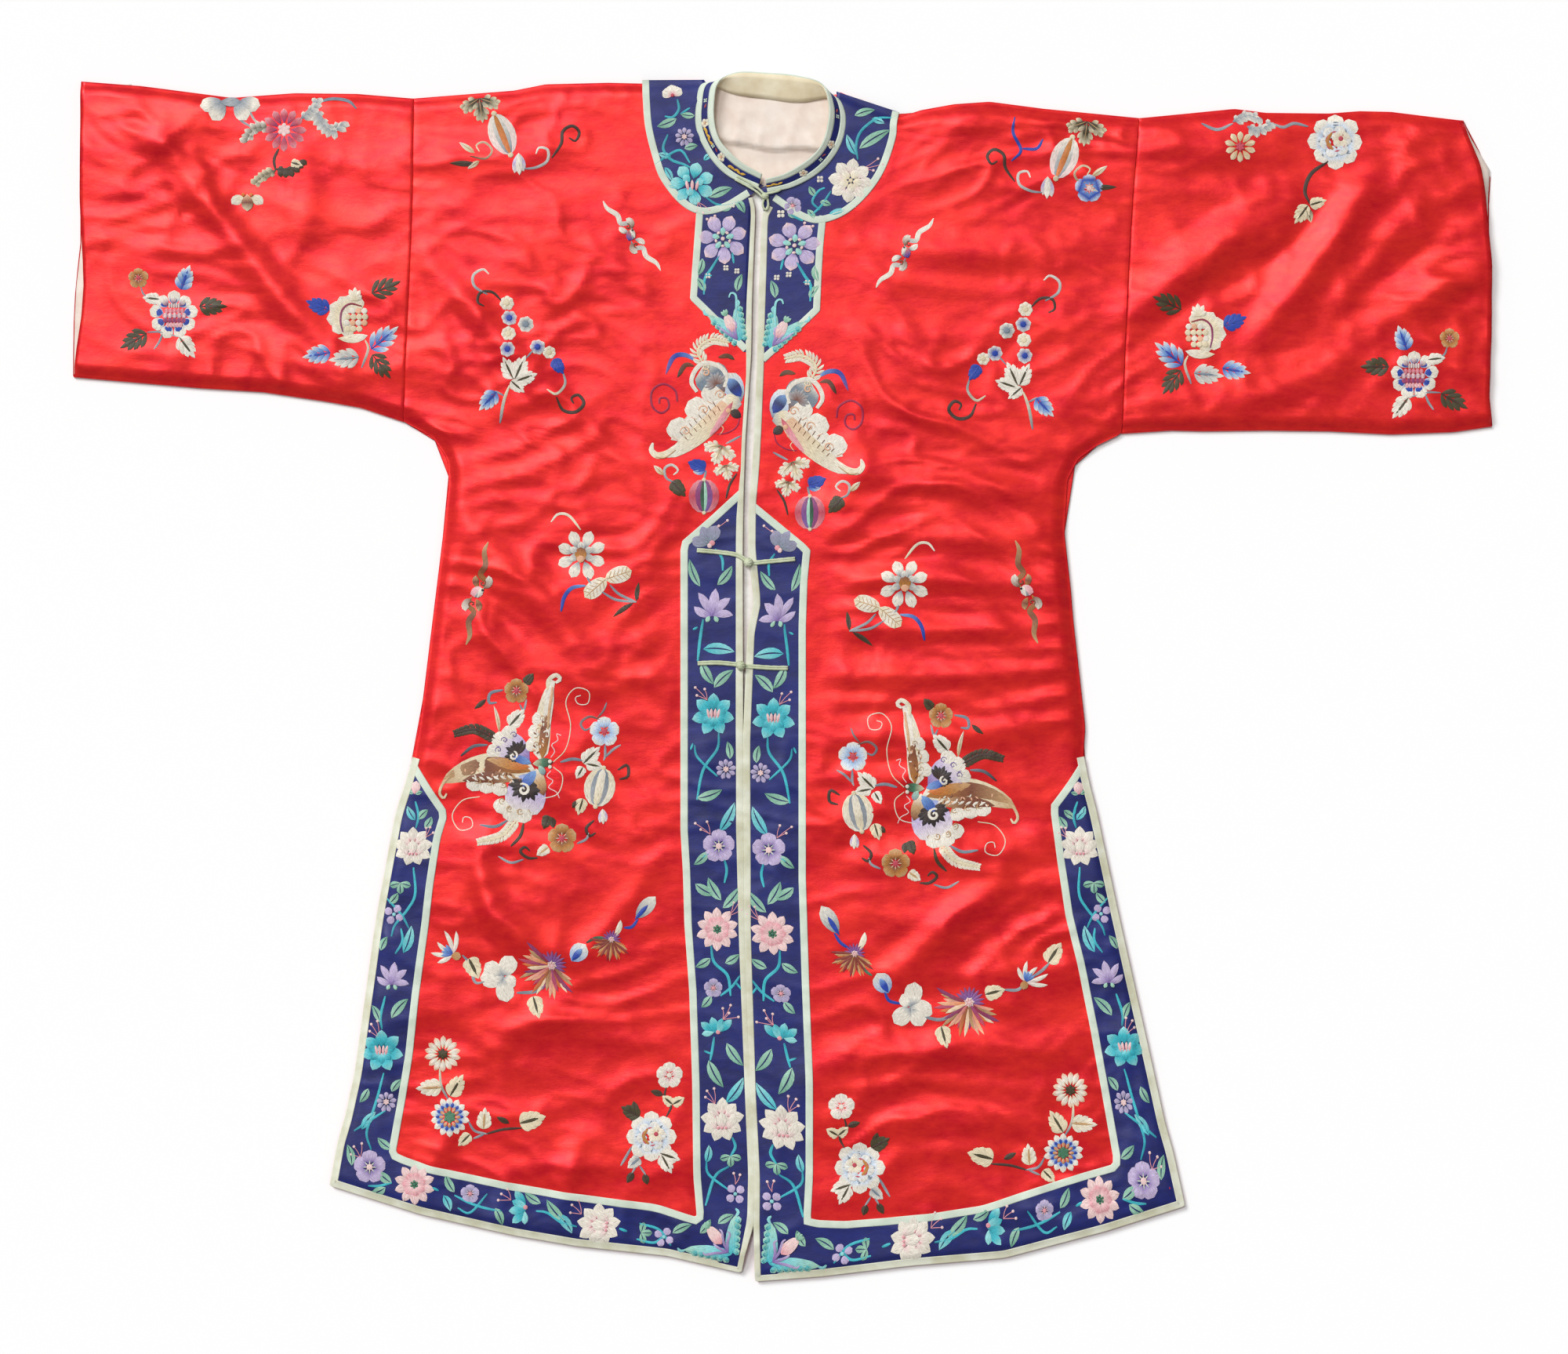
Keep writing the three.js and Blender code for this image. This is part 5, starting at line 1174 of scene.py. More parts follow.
class Stitches:
    """Silk stitches gathered into one mesh."""

    def __init__(self, ground, mirror=None):
        self.ground, self.mirror = ground, mirror
        self.x, self.y, self.lift, self.dye, self.run, self.faces = [], [], [], [], [], []
        self.count = 0

    def add(self, x, y, lift, dye, run, faces):
        """Keep a patch, turned so that its faces point up."""
        faces = np.asarray(faces)
        f = faces[len(faces) // 2]
        turn = ((x[f[1]] - x[f[0]]) * (y[f[2]] - y[f[1]])
                - (y[f[1]] - y[f[0]]) * (x[f[2]] - x[f[1]]))
        if turn > 0:
            faces = faces[:, ::-1]
        self.faces.append(faces + self.count)
        for store, value in ((self.x, x), (self.y, y), (self.lift, lift), (self.dye, dye),
                             (self.run, run)):
            store.append(value)
        self.count += len(x)

    def finish(self, name, place=None):
        """One mesh of all the stitches, on the garment's front unless place says where."""
        x, y, lift = (np.concatenate(v) for v in (self.x, self.y, self.lift))
        dye, run = np.concatenate(self.dye), np.concatenate(self.run)
        faces = [tuple(f) for part in self.faces for f in part.tolist()]
        if self.mirror:
            x, y = self.mirror(x, y)
            faces = [f[::-1] for f in faces]
        points = (place(x, y, lift) if place
                  else metres(x, y, FORM.at(x, y) + self.ground + lift))
        obj = add_mesh(name, points, faces, THREAD)
        mesh = obj.data
        colour = mesh.color_attributes.new("dye", "FLOAT_COLOR", "POINT")
        colour.data.foreach_set("color", np.hstack([dye, np.ones((len(dye), 1))]).ravel())
        corner = np.empty(len(mesh.loops), int)
        mesh.loops.foreach_get("vertex_index", corner)
        mesh.uv_layers.new(name="stitch").data.foreach_set("uv", run[corner].ravel())
        return obj


class Pen:
    """Draws stitched forms about one place; heading 0 is up, turning clockwise."""

    def __init__(self, cloth, x, y, turn=0.0, size=1.0, flip=1):
        self.cloth, self.x, self.y = cloth, x, y
        self.a, self.size, self.flip = math.radians(turn * flip), size, flip

    def at(self, u, v, turn=0.0, size=1.0):
        """A pen at another place of this one's drawing."""
        x, y = self.plan(u, v)
        p = Pen(self.cloth, x, y, 0, self.size * size, self.flip)
        p.a = self.a + math.radians(turn * self.flip)
        return p

    def plan(self, u, v):
        u = np.asarray(u, float) * self.flip * self.size
        v = np.asarray(v, float) * self.size
        c, s = math.cos(self.a), math.sin(self.a)
        return self.x + u * c - v * s, self.y + u * s + v * c

    def lay(self, u, v, lift, dye, run, rows, cols):
        """Put a net of stitched points on the cloth, in a slightly different tone each time."""
        x, y = self.plan(u.ravel(), v.ravel())
        tone = 1 + rng.uniform(-0.07, 0.05)
        self.cloth.add(x, y, lift.ravel(), np.clip(dye.reshape(-1, 3) * tone, 0, 1),
                       np.stack([run[0].ravel(), run[1].ravel()], -1) * self.size,
                       grid_faces(rows, cols))

    def petal(self, u, v, heading, length, width, dyes, full=0.7, widest=0.55, bend=0.0,
              lift=0.35, dome=0.4, notch=0.0, slant=0.0, span=(-1, 1), n=7, m=5):
        """A form in satin stitch that runs from its foot along a heading.

        full and widest shape the outline, notch cuts into the point, span takes a part of
        the width, slant turns the threads, and n by m points carry it."""
        t = np.linspace(0, 1, n)[:, None]
        s = np.linspace(*span, m)[None, :]
        h = np.radians(heading + bend * (t - 0.5) * 2)
        mid = (h[1:] + h[:-1]) / 2
        zero = np.zeros((1, 1))
        cu = u + np.vstack([zero, np.cumsum(np.sin(mid), 0) * length / (n - 1)])
        cv = v - np.vstack([zero, np.cumsum(np.cos(mid), 0) * length / (n - 1)])
        power = math.log(0.5) / math.log(widest)
        w = width / 2 * np.maximum(np.sin(np.pi * t ** power), 0.0) ** full + 0.15
        back = -notch * length * t ** 3 * (1 - s * s)
        pu = cu + np.cos(h) * w * s + np.sin(h) * back
        pv = cv + np.sin(h) * w * s - np.cos(h) * back
        dye = blend(t[:, 0], dyes)[:, None, :].repeat(s.shape[1], 1)
        up = lift + dome * (1 - s * s) * np.sin(np.pi * np.clip(t, 0.03, 0.97)) ** 0.5
        run = (w * s + slant * t * length + rng.uniform(0, 50), t * length + 0 * s)
        self.lay(pu, pv, up + 0 * pu, dye, (run[0] + 0 * pu, run[1] + 0 * pu), n, s.shape[1])

    def leaf(self, u, v, heading, length, width, dyes="sea leaf", bend=12.0, full=0.85,
             widest=0.45, lift=0.35):
        for span, way in (((-1, -0.14), 1), ((0.14, 1), -1)):
            self.petal(u, v, heading, length, width, dyes, full, widest, bend, lift, 0.3,
                       slant=0.7 * way, span=span, m=3)
        vein = dyes.split()[0]
        if vein in DARK_VEINS:
            self.petal(u, v, heading, 0.94 * length, 0.26 * width, vein, 0.5, 0.5, bend,
                       lift - 0.1, 0.2, m=3)

    def stem(self, points, width, dyes="turquoise", taper=0.45, lift=0.3, spacing=3.0, dome=0.3):
        """A line of stitches through points, thinner by a share at both ends."""
        p = along(points, spacing / self.size, True)
        n = len(p)
        t = np.linspace(0, 1, n)[:, None]
        s = np.linspace(-1, 1, 3)[None, :]
        step = np.gradient(p, axis=0)
        step /= np.hypot(*step.T)[:, None] + 1e-9
        w = width / 2 * (1 - taper * np.abs(2 * t - 1) ** 3)
        pu, pv = p[:, :1] + step[:, 1:] * w * s, p[:, 1:] - step[:, :1] * w * s
        dye = blend(t[:, 0], dyes)[:, None, :].repeat(3, 1)
        run = (w * s + 0.6 * t * n * spacing, t * n * spacing + 0 * s)
        self.lay(pu, pv, lift + dome * (1 - s * s) + 0 * pu, dye, run, n, 3)

    def dot(self, u, v, radius, dye, lift=0.4, sides=7):
        """A knot: a low dome of stitches."""
        a = np.linspace(0, 2 * math.pi, sides, endpoint=False)
        du, dv = (np.concatenate([[0], 0.7 * f(a), f(a)]) * radius for f in (np.cos, np.sin))
        up = np.concatenate([[0.45], 0.3 + 0 * a, -0.1 + 0 * a]) + lift
        j = np.arange(sides)
        k = (j + 1) % sides
        x, y = self.plan(u + du, v + dv)
        dyed = np.clip(TINT[dye] * (1 + rng.uniform(-0.08, 0.05)) + np.zeros((len(x), 1)), 0, 1)
        for faces in ([0 * j, 1 + j, 1 + k], [1 + j, 1 + sides + j, 1 + sides + k, 1 + k]):
            self.cloth.add(x, y, up, dyed, np.stack([du, dv * 0.2], -1), np.stack(faces, -1))

    def ring(self, count, base, length, width, dyes, start=0.0, arc=360.0, **more):
        """Petals round the middle, from a base radius outwards."""
        for k in range(count):
            h = start + arc * (k / count if arc >= 360 else k / max(count - 1, 1) - 0.5)
            self.petal(*spoke(h, base), h + rng.uniform(-3, 3), length * rng.uniform(0.95, 1.05),
                       width, dyes, **more)

    def spiral(self, u, v, heading, radius, turns, width, dyes, way=1, **more):
        """A curl: it starts at a point and winds in beside it."""
        h = math.radians(heading)
        cu, cv = u + math.cos(h) * radius * way, v + math.sin(h) * radius * way
        t = np.linspace(0, 1, int(10 + 14 * turns))
        a = math.atan2(v - cv, u - cu) + way * t * turns * 2 * math.pi
        r = radius * (1 - 0.82 * t)
        self.stem(np.stack([cu + np.cos(a) * r, cv + np.sin(a) * r], -1), width, dyes, **more)

    def stamens(self, u, v, ends, dye="pink", tip="blush", radius=1.9):
        for eu, ev in ends:
            self.stem([(u, v), ((u + eu) / 2 + 1, (v + ev) / 2), (eu, ev)], 0.9, dye, 0.2)
            self.dot(eu, ev, radius, tip)


def knots(p, reach, radius, dye, lift):
    """Six knots in a ring."""
    for k in range(6):
        u, v = spoke(60 * k, reach)
        p.dot(u, -v, radius, dye, lift)


def plum_flower(p, r, dyes, heart="pink", count=5, inner="ochre"):
    p.ring(count, 0.22 * r, 0.8 * r, 0.92 * r * 5 / count, dyes, full=0.42, widest=0.58,
           notch=0.08, m=7)
    p.dot(0, 0, 0.2 * r, heart, 0.6)
    for k in range(8):
        p.petal(*spoke(45 * k, 0.12 * r), 45 * k, 0.3 * r, 0.07 * r,
                f"{heart} {inner}", lift=0.8, dome=0.1, n=3, m=3)


def star_flower(p, r, dyes, heart, count=12, width=0.34, hollow=0.3):
    """A daisy: narrow petals round a knotted middle."""
    p.ring(count, hollow * r, (1 - hollow) * r, width * r, dyes, full=0.6, widest=0.62)
    p.dot(0, 0, hollow * r * 0.8, heart, 0.5, 9)
    knots(p, hollow * r * 0.7, 0.1 * r, heart, 0.7)


def full_flower(p, r, outer, inner, heart):
    """A many-petalled flower in two rings with a knotted middle."""
    p.ring(10, 0.32 * r, 0.7 * r, 0.43 * r, outer, full=0.75, widest=0.52)
    p.ring(7, 0.1 * r, 0.5 * r, 2.9 * r / 7, inner, start=17, full=0.6, widest=0.6, lift=0.65)
    knots(p, 0.15 * r, 0.07 * r, heart, 0.95)
    p.dot(0, 0, 0.08 * r, heart, 1.0)


def lotus_flower(p, r, outer, inner):
    """An open lotus: pointed petals all round and upright ones in the middle."""
    p.ring(7, 0.2 * r, 0.86 * r, 0.58 * r, outer, full=0.8, widest=0.5)
    p.ring(5, 0.1 * r, 0.55 * r, 0.4 * r, inner, start=180, arc=200, full=0.8, lift=0.65)
    for off in (-0.2, -0.07, 0.07, 0.2):
        p.petal(off * r, 0.2 * r, off * 60, 0.48 * r, 0.13 * r, "pink blush", lift=0.9, full=0.5)


def magnolia(p, r, dyes):
    p.petal(0, 0.5 * r, -62, 0.95 * r, 0.36 * r, dyes, bend=22)
    p.petal(0, 0.5 * r, -30, 1.25 * r, 0.38 * r, dyes, bend=-8)
    p.petal(0, 0.5 * r, 46, 1.2 * r, 0.4 * r, dyes, bend=14)
    p.petal(0, 0.5 * r, 88, 1.0 * r, 0.36 * r, dyes, bend=22)
    p.petal(0, 0.52 * r, 8, 1.3 * r, 0.46 * r, dyes, lift=0.6)
    p.petal(-0.1 * r, 0.5 * r, -150, 0.32 * r, 0.2 * r, "sea", lift=0.6)
    p.petal(0.12 * r, 0.5 * r, 150, 0.32 * r, 0.2 * r, "sea", lift=0.6)


def trefoil(p, r, dyes="sea leaf"):
    for h in (-75, 0, 75):
        p.leaf(0, 0, h, r, 0.62 * r, dyes, 0, 0.6, 0.6)


def corner_wing(p, r, fan=1.0):
    """A half butterfly for the corners of the navy bands: long wings lie along the edges."""
    for h, long_, way in ((8 * fan, 1.55, 1), (-84 * fan, 1.8, -1)):
        q = p.at(0, 0, h)
        q.petal(0, 0, 0, long_ * r, 0.46 * r, "turquoise aqua sea", full=0.5,
                widest=0.4, bend=6 * way)
        for k in range(6):
            v, out = -r * (0.18 + 0.24 * k), way * r * (0.2 - 0.02 * k)
            q.petal(out - way * 0.12 * r, v + 0.08 * r, way * 66, 0.26 * r, 0.25 * r,
                    "turquoise sea", full=0.4, lift=0.6, n=5)
            q.spiral(out, v, way * 90, 0.08 * r, 1.0, 0.045 * r, "teal", way, lift=1.0)
        q.stem([(0, -long_ * r + 3), (way * 2, -long_ * r - 3), (-way * 2, -long_ * r - 7)], 4,
               "aqua", 0.6, lift=0.6)
    for h, reach in ((-96, 0.85), (-62, 0.5), (-16, 0.8), (6, 0.7)):
        du, dv = spoke(h * fan, reach * r)
        p.stem([(-0.1 * r, -0.1 * r), (0.5 * du - 0.16 * r, 0.5 * dv - 0.12 * r),
                (du - 0.1 * r, dv - 0.1 * r), (du - 0.2 * r, dv - 0.2 * r)], 0.1 * r,
               "violet lilac", 0.6, lift=1.0)
    bud = p.at(-0.34 * r * fan, -0.42 * r, -38 * fan)
    bud.petal(0, 0, 0, 0.86 * r, 0.44 * r, "pink blush blush", full=0.5, widest=0.4,
              lift=1.0)
    for h in (-26, 0, 24):
        bud.petal(0, -0.74 * r, h, 0.3 * r, 0.13 * r, "leaf sea", lift=1.1)


LILAC = "violet lilac lilac"
GREY_LILAC = "haze lilac"
AQUA = "teal turquoise aqua"
BLUSH = "pink blush blush"
IVORY = "blush ivory ivory"
# How each kind of flower, fruit or creature is drawn, by a pen at its middle.
KINDS = {
    "plum": lambda p: plum_flower(p, 22, LILAC, "blush", inner="sea"),
    "haze": lambda p: plum_flower(p, 19, GREY_LILAC, "pink"),
    "fan": lambda p: ([p.petal(2, 8, h, 22, 15, "slate haze", full=0.5, widest=0.6)
                       for h in (-78, -26, 22)],
                      p.dot(5, 8, 3.4, "pink", 0.8), p.dot(2, 11, 3, "blush", 0.8)),
    "cluster": lambda p: ([p.petal(0, 4, h, 14, 13, "pink ivory ivory", full=0.42,
                                   widest=0.62) for h in (-70, -8, 52)],
                          p.dot(0, 4, 2.4, "rose", 0.8)),
    "round": lambda p: (p.ring(7, 7, 22, 16, "teal turquoise aqua aqua", start=15,
                               full=0.7, widest=0.6),
                        p.ring(3, 4, 12, 10, "turquoise aqua", start=75, lift=0.8),
                        [p.petal(u, 9, h, 14, 4, "pink blush", lift=1.0)
                         for u, h in ((-5, -12), (0, 0), (5, 12))]),
    "pale": lambda p: (p.ring(8, 7, 22, 16, IVORY, start=8, full=0.8, widest=0.56),
                       p.ring(5, 3, 12, 11, "cream ivory", start=30, lift=0.7, full=0.5),
                       p.dot(0, 0, 3, "cream", 1.1)),
    "small": lambda p: plum_flower(p, 12, GREY_LILAC, "pink", inner="blush"),
    "cross": lambda p: (p.ring(4, 3, 11, 10, "lilac lilac", start=30, full=0.45),
                        p.dot(0, 0, 2.6, "aqua", 0.8)),
    "magnolia": lambda p: magnolia(p, 24, "violet lilac lilac"),
    "lotus": lambda p: lotus_flower(p, 26, AQUA, "aqua turquoise teal"),
    "daisy": lambda p: star_flower(p, 13, "haze lilac", "blush", 9, 0.42),
    "peony": lambda p: full_flower(p, 27, BLUSH, "blush pink", "green"),
    "white": lambda p: (p.dot(0, 0, 9, "ivory", 0.3),
                        p.ring(9, 6, 22, 15, IVORY, full=0.95, widest=0.52, n=8),
                        p.ring(8, 8, 5, 1.6, "pink", start=20, lift=0.8, n=3, m=3),
                        [p.petal(u, 11, h, 21, 11, "blush ivory ivory", lift=0.9)
                         for u, h in ((-8, -24), (8, 24), (0, 0))],
                        [p.dot(u, 10, 1.8, "pink", 1.4) for u in (-5, 0, 5)]),
    "bud": lambda p: (p.petal(-4, 6, -52, 20, 10, AQUA), p.petal(4, 6, 44, 22, 10, AQUA),
                      p.petal(0, 8, -16, 22, 11, AQUA, lift=0.6), p.petal(2, 8, 14, 20, 10,
                      "aqua turquoise", lift=0.7), p.petal(-3, 6, -100, 16, 8, "aqua"),
                      p.dot(2, 6, 3, "pink", 0.9)),
    "pinkbud": lambda p: (p.petal(0, 8, 0, 20, 14, BLUSH, full=0.6), p.leaf(-2, 8, -60, 11, 6),
                          p.leaf(2, 8, 60, 11, 6)),
    "trefoil": lambda p: trefoil(p, 14),
    "corner": lambda p: corner_wing(p, 34), "tip": lambda p: (
        corner_wing(p, 34, 0.5),
        p.stem([(-3, -30), (2, -52), (3, -66), (-3, -70), (-7, -64)], 3.2, "aqua", lift=0.8)),
    "lily": lambda p: (p.ring(7, 8, 22, 16, "violet lilac lilac blush", start=20,
                              full=0.66, widest=0.58),
                       p.ring(5, 4, 10, 6, "sea aqua", lift=0.8, full=0.5),
                       p.ring(5, 7, 3.4, 4, "blush", start=36, lift=0.9, full=0.4),
                       p.dot(0, 0, 2.6, "blush", 1.2)),
    "tiny": lambda p: p.ring(4, 0.6, 3.6, 3.2, "ivory", start=45, n=4, m=3),
}
# Flowers on the left navy bands: kind, x, y, turn, size.
BAND_FLOWERS = [
    ("fan", 903, 684, 0, 1.1), ("magnolia", 908, 772, 0, 1.15), ("lotus", 910, 911, 0, 1),
    ("daisy", 926, 981, 0, 1), ("plum", 917, 1079, 0, 0.95), ("peony", 915, 1185, 0, 1),
    ("small", 910, 1260, 0, 1), ("bud", 914, 1310, 0, 1), ("white", 921, 1428, 0, 1),
    ("trefoil", 932, 1474, 180, 1), ("cross", 938, 1522, 20, 1), ("corner", 932, 1600, 0, 1),
    ("cross", 847, 1577, 0, 0.95), ("trefoil", 818, 1572, 90, 1), ("white", 764, 1562, -80, 1),
    ("bud", 664, 1540, -80, 1.05), ("small", 600, 1522, 0, 1), ("peony", 529, 1510, 0, 0.95),
    ("plum", 472, 1488, 0, 0.95), ("daisy", 493, 1405, 0, 1), ("lotus", 487, 1340, 0, 1),
    ("magnolia", 500, 1244, 0, 0.95), ("cross", 503, 1166, 0, 0.95), ("trefoil", 511, 1126, 180, 1),
    ("white", 527, 1080, 0, 0.9), ("pinkbud", 530, 1006, 10, 0.85), ("lily", 922, 305, 0, 1.05),
    ("tip", 944, 436, -8, 0.9), ("tiny", 940, 346, 0, 1), ("tiny", 926, 342, 0, 1),
    ("tiny", 903, 352, 0, 1)]
# Leaves there: x, y of the foot, x, y of the point, width, and dye (0 sea green, 1 turquoise).
BAND_LEAVES = [
    (893, 748, 881, 717, 9, 0), (915, 746, 932, 724, 10, 0), (897, 828, 933, 831, 13, 1),
    (895, 845, 909, 870, 11, 0), (911, 877, 933, 857, 11, 0), (931, 968, 928, 948, 8, 0),
    (889, 1018, 918, 1008, 11, 0), (918, 1060, 935, 1027, 12, 1), (903, 1086, 887, 1101, 9, 0),
    (887, 1127, 909, 1140, 11, 0), (920, 1148, 905, 1122, 11, 0), (922, 1158, 942, 1133, 11, 0),
    (906, 1222, 889, 1232, 9, 0), (925, 1228, 941, 1218, 9, 0), (907, 1270, 896, 1283, 9, 0),
    (927, 1330, 946, 1356, 11, 0), (904, 1352, 921, 1383, 12, 0), (926, 1406, 946, 1377, 12, 1),
    (901, 1482, 904, 1462, 8, 1), (916, 1560, 934, 1550, 9, 0), (893, 1572, 905, 1556, 9, 0),
    (858, 1572, 880, 1562, 9, 0), (720, 1556, 700, 1532, 11, 0), (712, 1548, 728, 1570, 11, 1),
    (690, 1534, 672, 1522, 9, 0), (632, 1540, 640, 1560, 9, 0), (580, 1520, 570, 1500, 9, 0),
    (566, 1524, 574, 1542, 9, 1), (500, 1508, 484, 1494, 10, 0), (492, 1514, 474, 1522, 10, 0),
    (449, 1486, 444, 1462, 9, 0), (500, 1465, 484, 1452, 9, 0), (462, 1440, 478, 1420, 9, 1),
    (500, 1392, 511, 1378, 8, 0), (470, 1388, 460, 1404, 8, 0), (485, 1303, 476, 1284, 8, 0),
    (500, 1298, 519, 1276, 11, 0), (515, 1215, 524, 1184, 11, 1), (486, 1212, 494, 1196, 8, 0),
    (497, 1152, 507, 1140, 8, 0), (534, 1045, 545, 1034, 8, 0), (530, 1046, 521, 1030, 8, 1),
    (542, 1056, 550, 1043, 8, 0), (896, 330, 890, 350, 8, 0), (899, 372, 889, 356, 8, 0),
    (934, 262, 918, 266, 8, 0), (940, 372, 946, 352, 8, 0)]
# Stems there: width, then the plan points.
BAND_STEMS = [
    (3.4, 912, 700, 921, 712, 922, 728), (3.8, 897, 790, 893, 815, 890, 843),
    (3, 890, 800, 884, 803), (3.6, 917, 934, 915, 955, 897, 982, 889, 1020),
    (3, 886, 950, 890, 966, 915, 990), (2.6, 884, 948, 881, 956),
    (3.4, 924, 1096, 927, 1110, 924, 1126), (2.8, 905, 1088, 896, 1094),
    (3.8, 907, 1206, 911, 1227, 928, 1244, 932, 1270), (3.4, 944, 1244, 934, 1258, 919, 1270),
    (2.6, 938, 1252, 946, 1262), (3.4, 911, 1322, 909, 1336, 906, 1352),
    (2.6, 898, 1340, 908, 1344), (3.6, 934, 1450, 938, 1462, 932, 1474),
    (3.6, 930, 1487, 912, 1500, 900, 1537), (3.2, 901, 1480, 904, 1497, 928, 1516),
    (3.4, 856, 1588, 841, 1568, 816, 1560), (3.2, 852, 1568, 836, 1584, 812, 1580),
    (3.4, 800, 1570, 790, 1566), (3.4, 736, 1564, 716, 1558, 698, 1546, 684, 1544),
    (3.2, 640, 1544, 618, 1540, 600, 1534, 580, 1524), (3.0, 622, 1522, 600, 1546, 584, 1540),
    (3.2, 560, 1518, 552, 1514), (3.2, 470, 1512, 484, 1512, 500, 1508),
    (3.4, 474, 1466, 468, 1446, 474, 1424, 482, 1398, 490, 1368),
    (3.2, 452, 1442, 470, 1430, 492, 1416), (3.4, 488, 1312, 486, 1296, 492, 1270),
    (3.2, 505, 1216, 514, 1200, 512, 1184),
    (3.4, 500, 1194, 504, 1180, 520, 1160, 530, 1140, 528, 1106),
    (3.0, 522, 1184, 512, 1166, 494, 1146), (3.2, 531, 1056, 534, 1040, 530, 1022),
    (3.4, 918, 326, 908, 342, 899, 356, 898, 376), (2.8, 934, 322, 936, 336),
    (2.6, 899, 350, 908, 352)]
# Stamens there: foot x, y, then the ends.
BAND_STAMENS = [
    ((910, 676), [(917, 671), (928, 664)]), ((902, 893), [(887, 877), (899, 879), (889, 887)]),
    ((906, 1064), [(887, 1050), (902, 1048), (894, 1058)]),
    ((930, 1168), [(936, 1151), (946, 1160), (943, 1150)]),
    ((922, 1300), [(922, 1286), (932, 1282), (942, 1297), (930, 1292)]),
    ((912, 1408), [(902, 1391), (911, 1388), (900, 1399)]),
    ((742, 1548), [(730, 1536), (738, 1530), (728, 1546)]),
    ((652, 1530), [(640, 1522), (648, 1516), (636, 1530)]),
    ((460, 1476), [(452, 1462), (462, 1458), (448, 1472)]),
    ((484, 1324), [(474, 1306), (482, 1302), (472, 1315)]),
    ((542, 1068), [(549, 1055), (553, 1062), (544, 1056)]), ((912, 292), [(902, 280), (912, 276)]),
    ((938, 1510), [(944, 1498), (936, 1496)])]
LEAF_DYES = ["sea leaf", "turquoise aqua"]


def leaf_between(p, fx, fy, tx, ty, width, dyes, bend=10):
    p.leaf(fx, fy, bearing(fx, fy, tx, ty), math.hypot(tx - fx, ty - fy), width, dyes, bend)


def band_work(side):
    cloth = Stitches(NAVY_UP, to_right if side == "right" else None)
    p = Pen(cloth, 0, 0)
    for width, *points in BAND_STEMS:
        p.stem(as_points(points), width, "teal turquoise turquoise")
    for fx, fy, tx, ty, width, dye in BAND_LEAVES:
        bend = 14 if (fx + ty) % 2 < 1 else -14
        leaf_between(p, fx, fy, 1.12 * tx - 0.12 * fx, 1.12 * ty - 0.12 * fy, width + 1.5,
                     LEAF_DYES[dye], bend)
    for (fx, fy), ends in BAND_STAMENS:
        p.stamens(fx, fy, ends)
    for kind, x, y, turn, size in BAND_FLOWERS:
        KINDS[kind](Pen(cloth, x, y, turn, size))
    return cloth.finish(f"{side}_band_embroidery")


# Yoke work on each side: flowers, leaves and stems in the same columns.
YOKE_WORK = {
    "left": (
        [
            ("round", 883, 235, 0, 0.98), ("daisy", 873, 175, 0, 0.92), ("cluster", 858, 118, 0, 1),
            ("tiny", 934, 262, 0, 1.0)],
        [
            (886, 148, 868, 146, 8, 0), (863, 152, 838, 162, 11, 0), (873, 190, 890, 186, 9, 0),
            (905, 252, 934, 240, 12, 0), (938, 254, 950, 272, 10, 0), (856, 200, 840, 196, 8, 1),
            (848, 214, 858, 232, 8, 1), (866, 240, 850, 236, 7, 1), (898, 205, 908, 196, 7, 1)],
        [
            (3.4, 864, 127, 866, 140, 858, 150, 848, 149), (2.6, 868, 146, 880, 138),
            (3.6, 852, 172, 846, 190, 856, 204, 872, 210, 880, 214),
            (3.2, 836, 210, 850, 200, 868, 192, 880, 208), (3.0, 900, 252, 918, 262, 944, 258)],
        [((890, 258), [(888, 270), (897, 272), (905, 268)])]),
    "right": (
        [
            ("pale", 1085, 231, 0, 0.98), ("small", 1011, 263, -20, 0.95),
            ("tiny", 996, 273, 0, 1.4), ("tiny", 1046, 229, 0, 1.2)],
        [
            (1092, 198, 1080, 172, 10, 1), (1096, 190, 1136, 166, 13, 0),
            (1090, 148, 1116, 140, 10, 0), (1040, 250, 1032, 238, 8, 0),
            (1046, 258, 1060, 262, 8, 0), (1056, 276, 1082, 268, 9, 1),
            (1030, 268, 1040, 282, 8, 0), (1112, 152, 1128, 158, 8, 1)],
        [
            (3.4, 1094, 204, 1092, 186, 1098, 168, 1118, 152, 1138, 150),
            (3.0, 1046, 268, 1036, 258, 1044, 244, 1052, 240),
            (3.0, 1060, 244, 1048, 262, 1034, 276), (3.0, 1008, 274, 1024, 282)],
        [((1100, 216), [(1120, 203), (1126, 210), (1114, 218)])])}


def yoke_work(side):
    cloth = Stitches(NAVY_UP + 0.15)
    p = Pen(cloth, 0, 0)
    flowers, leaves, stems, threads = YOKE_WORK[side]
    for width, *points in stems:
        p.stem(as_points(points), width, "teal turquoise")
    for fx, fy, tx, ty, width, dye in leaves:
        leaf_between(p, fx, fy, tx, ty, width, LEAF_DYES[dye])
    for (fx, fy), ends in threads:
        p.stamens(fx, fy, ends)
    for kind, x, y, turn, size in flowers:
        KINDS[kind](Pen(cloth, x, y, turn, size))
    return cloth.finish(f"{side}_yoke_embroidery")


# Leaves on the red ground: the dye of the vein, then those of the blade.
LEAVES = {
    "olive": "olive cream", "dark": "bark olive", "white": "olive ivory ivory",
    "cream": "tan cream ivory", "blue": "blue sky ivory", "navy": "blue blue",
    "slate": "slate grey ivory", "green": "green sea"}


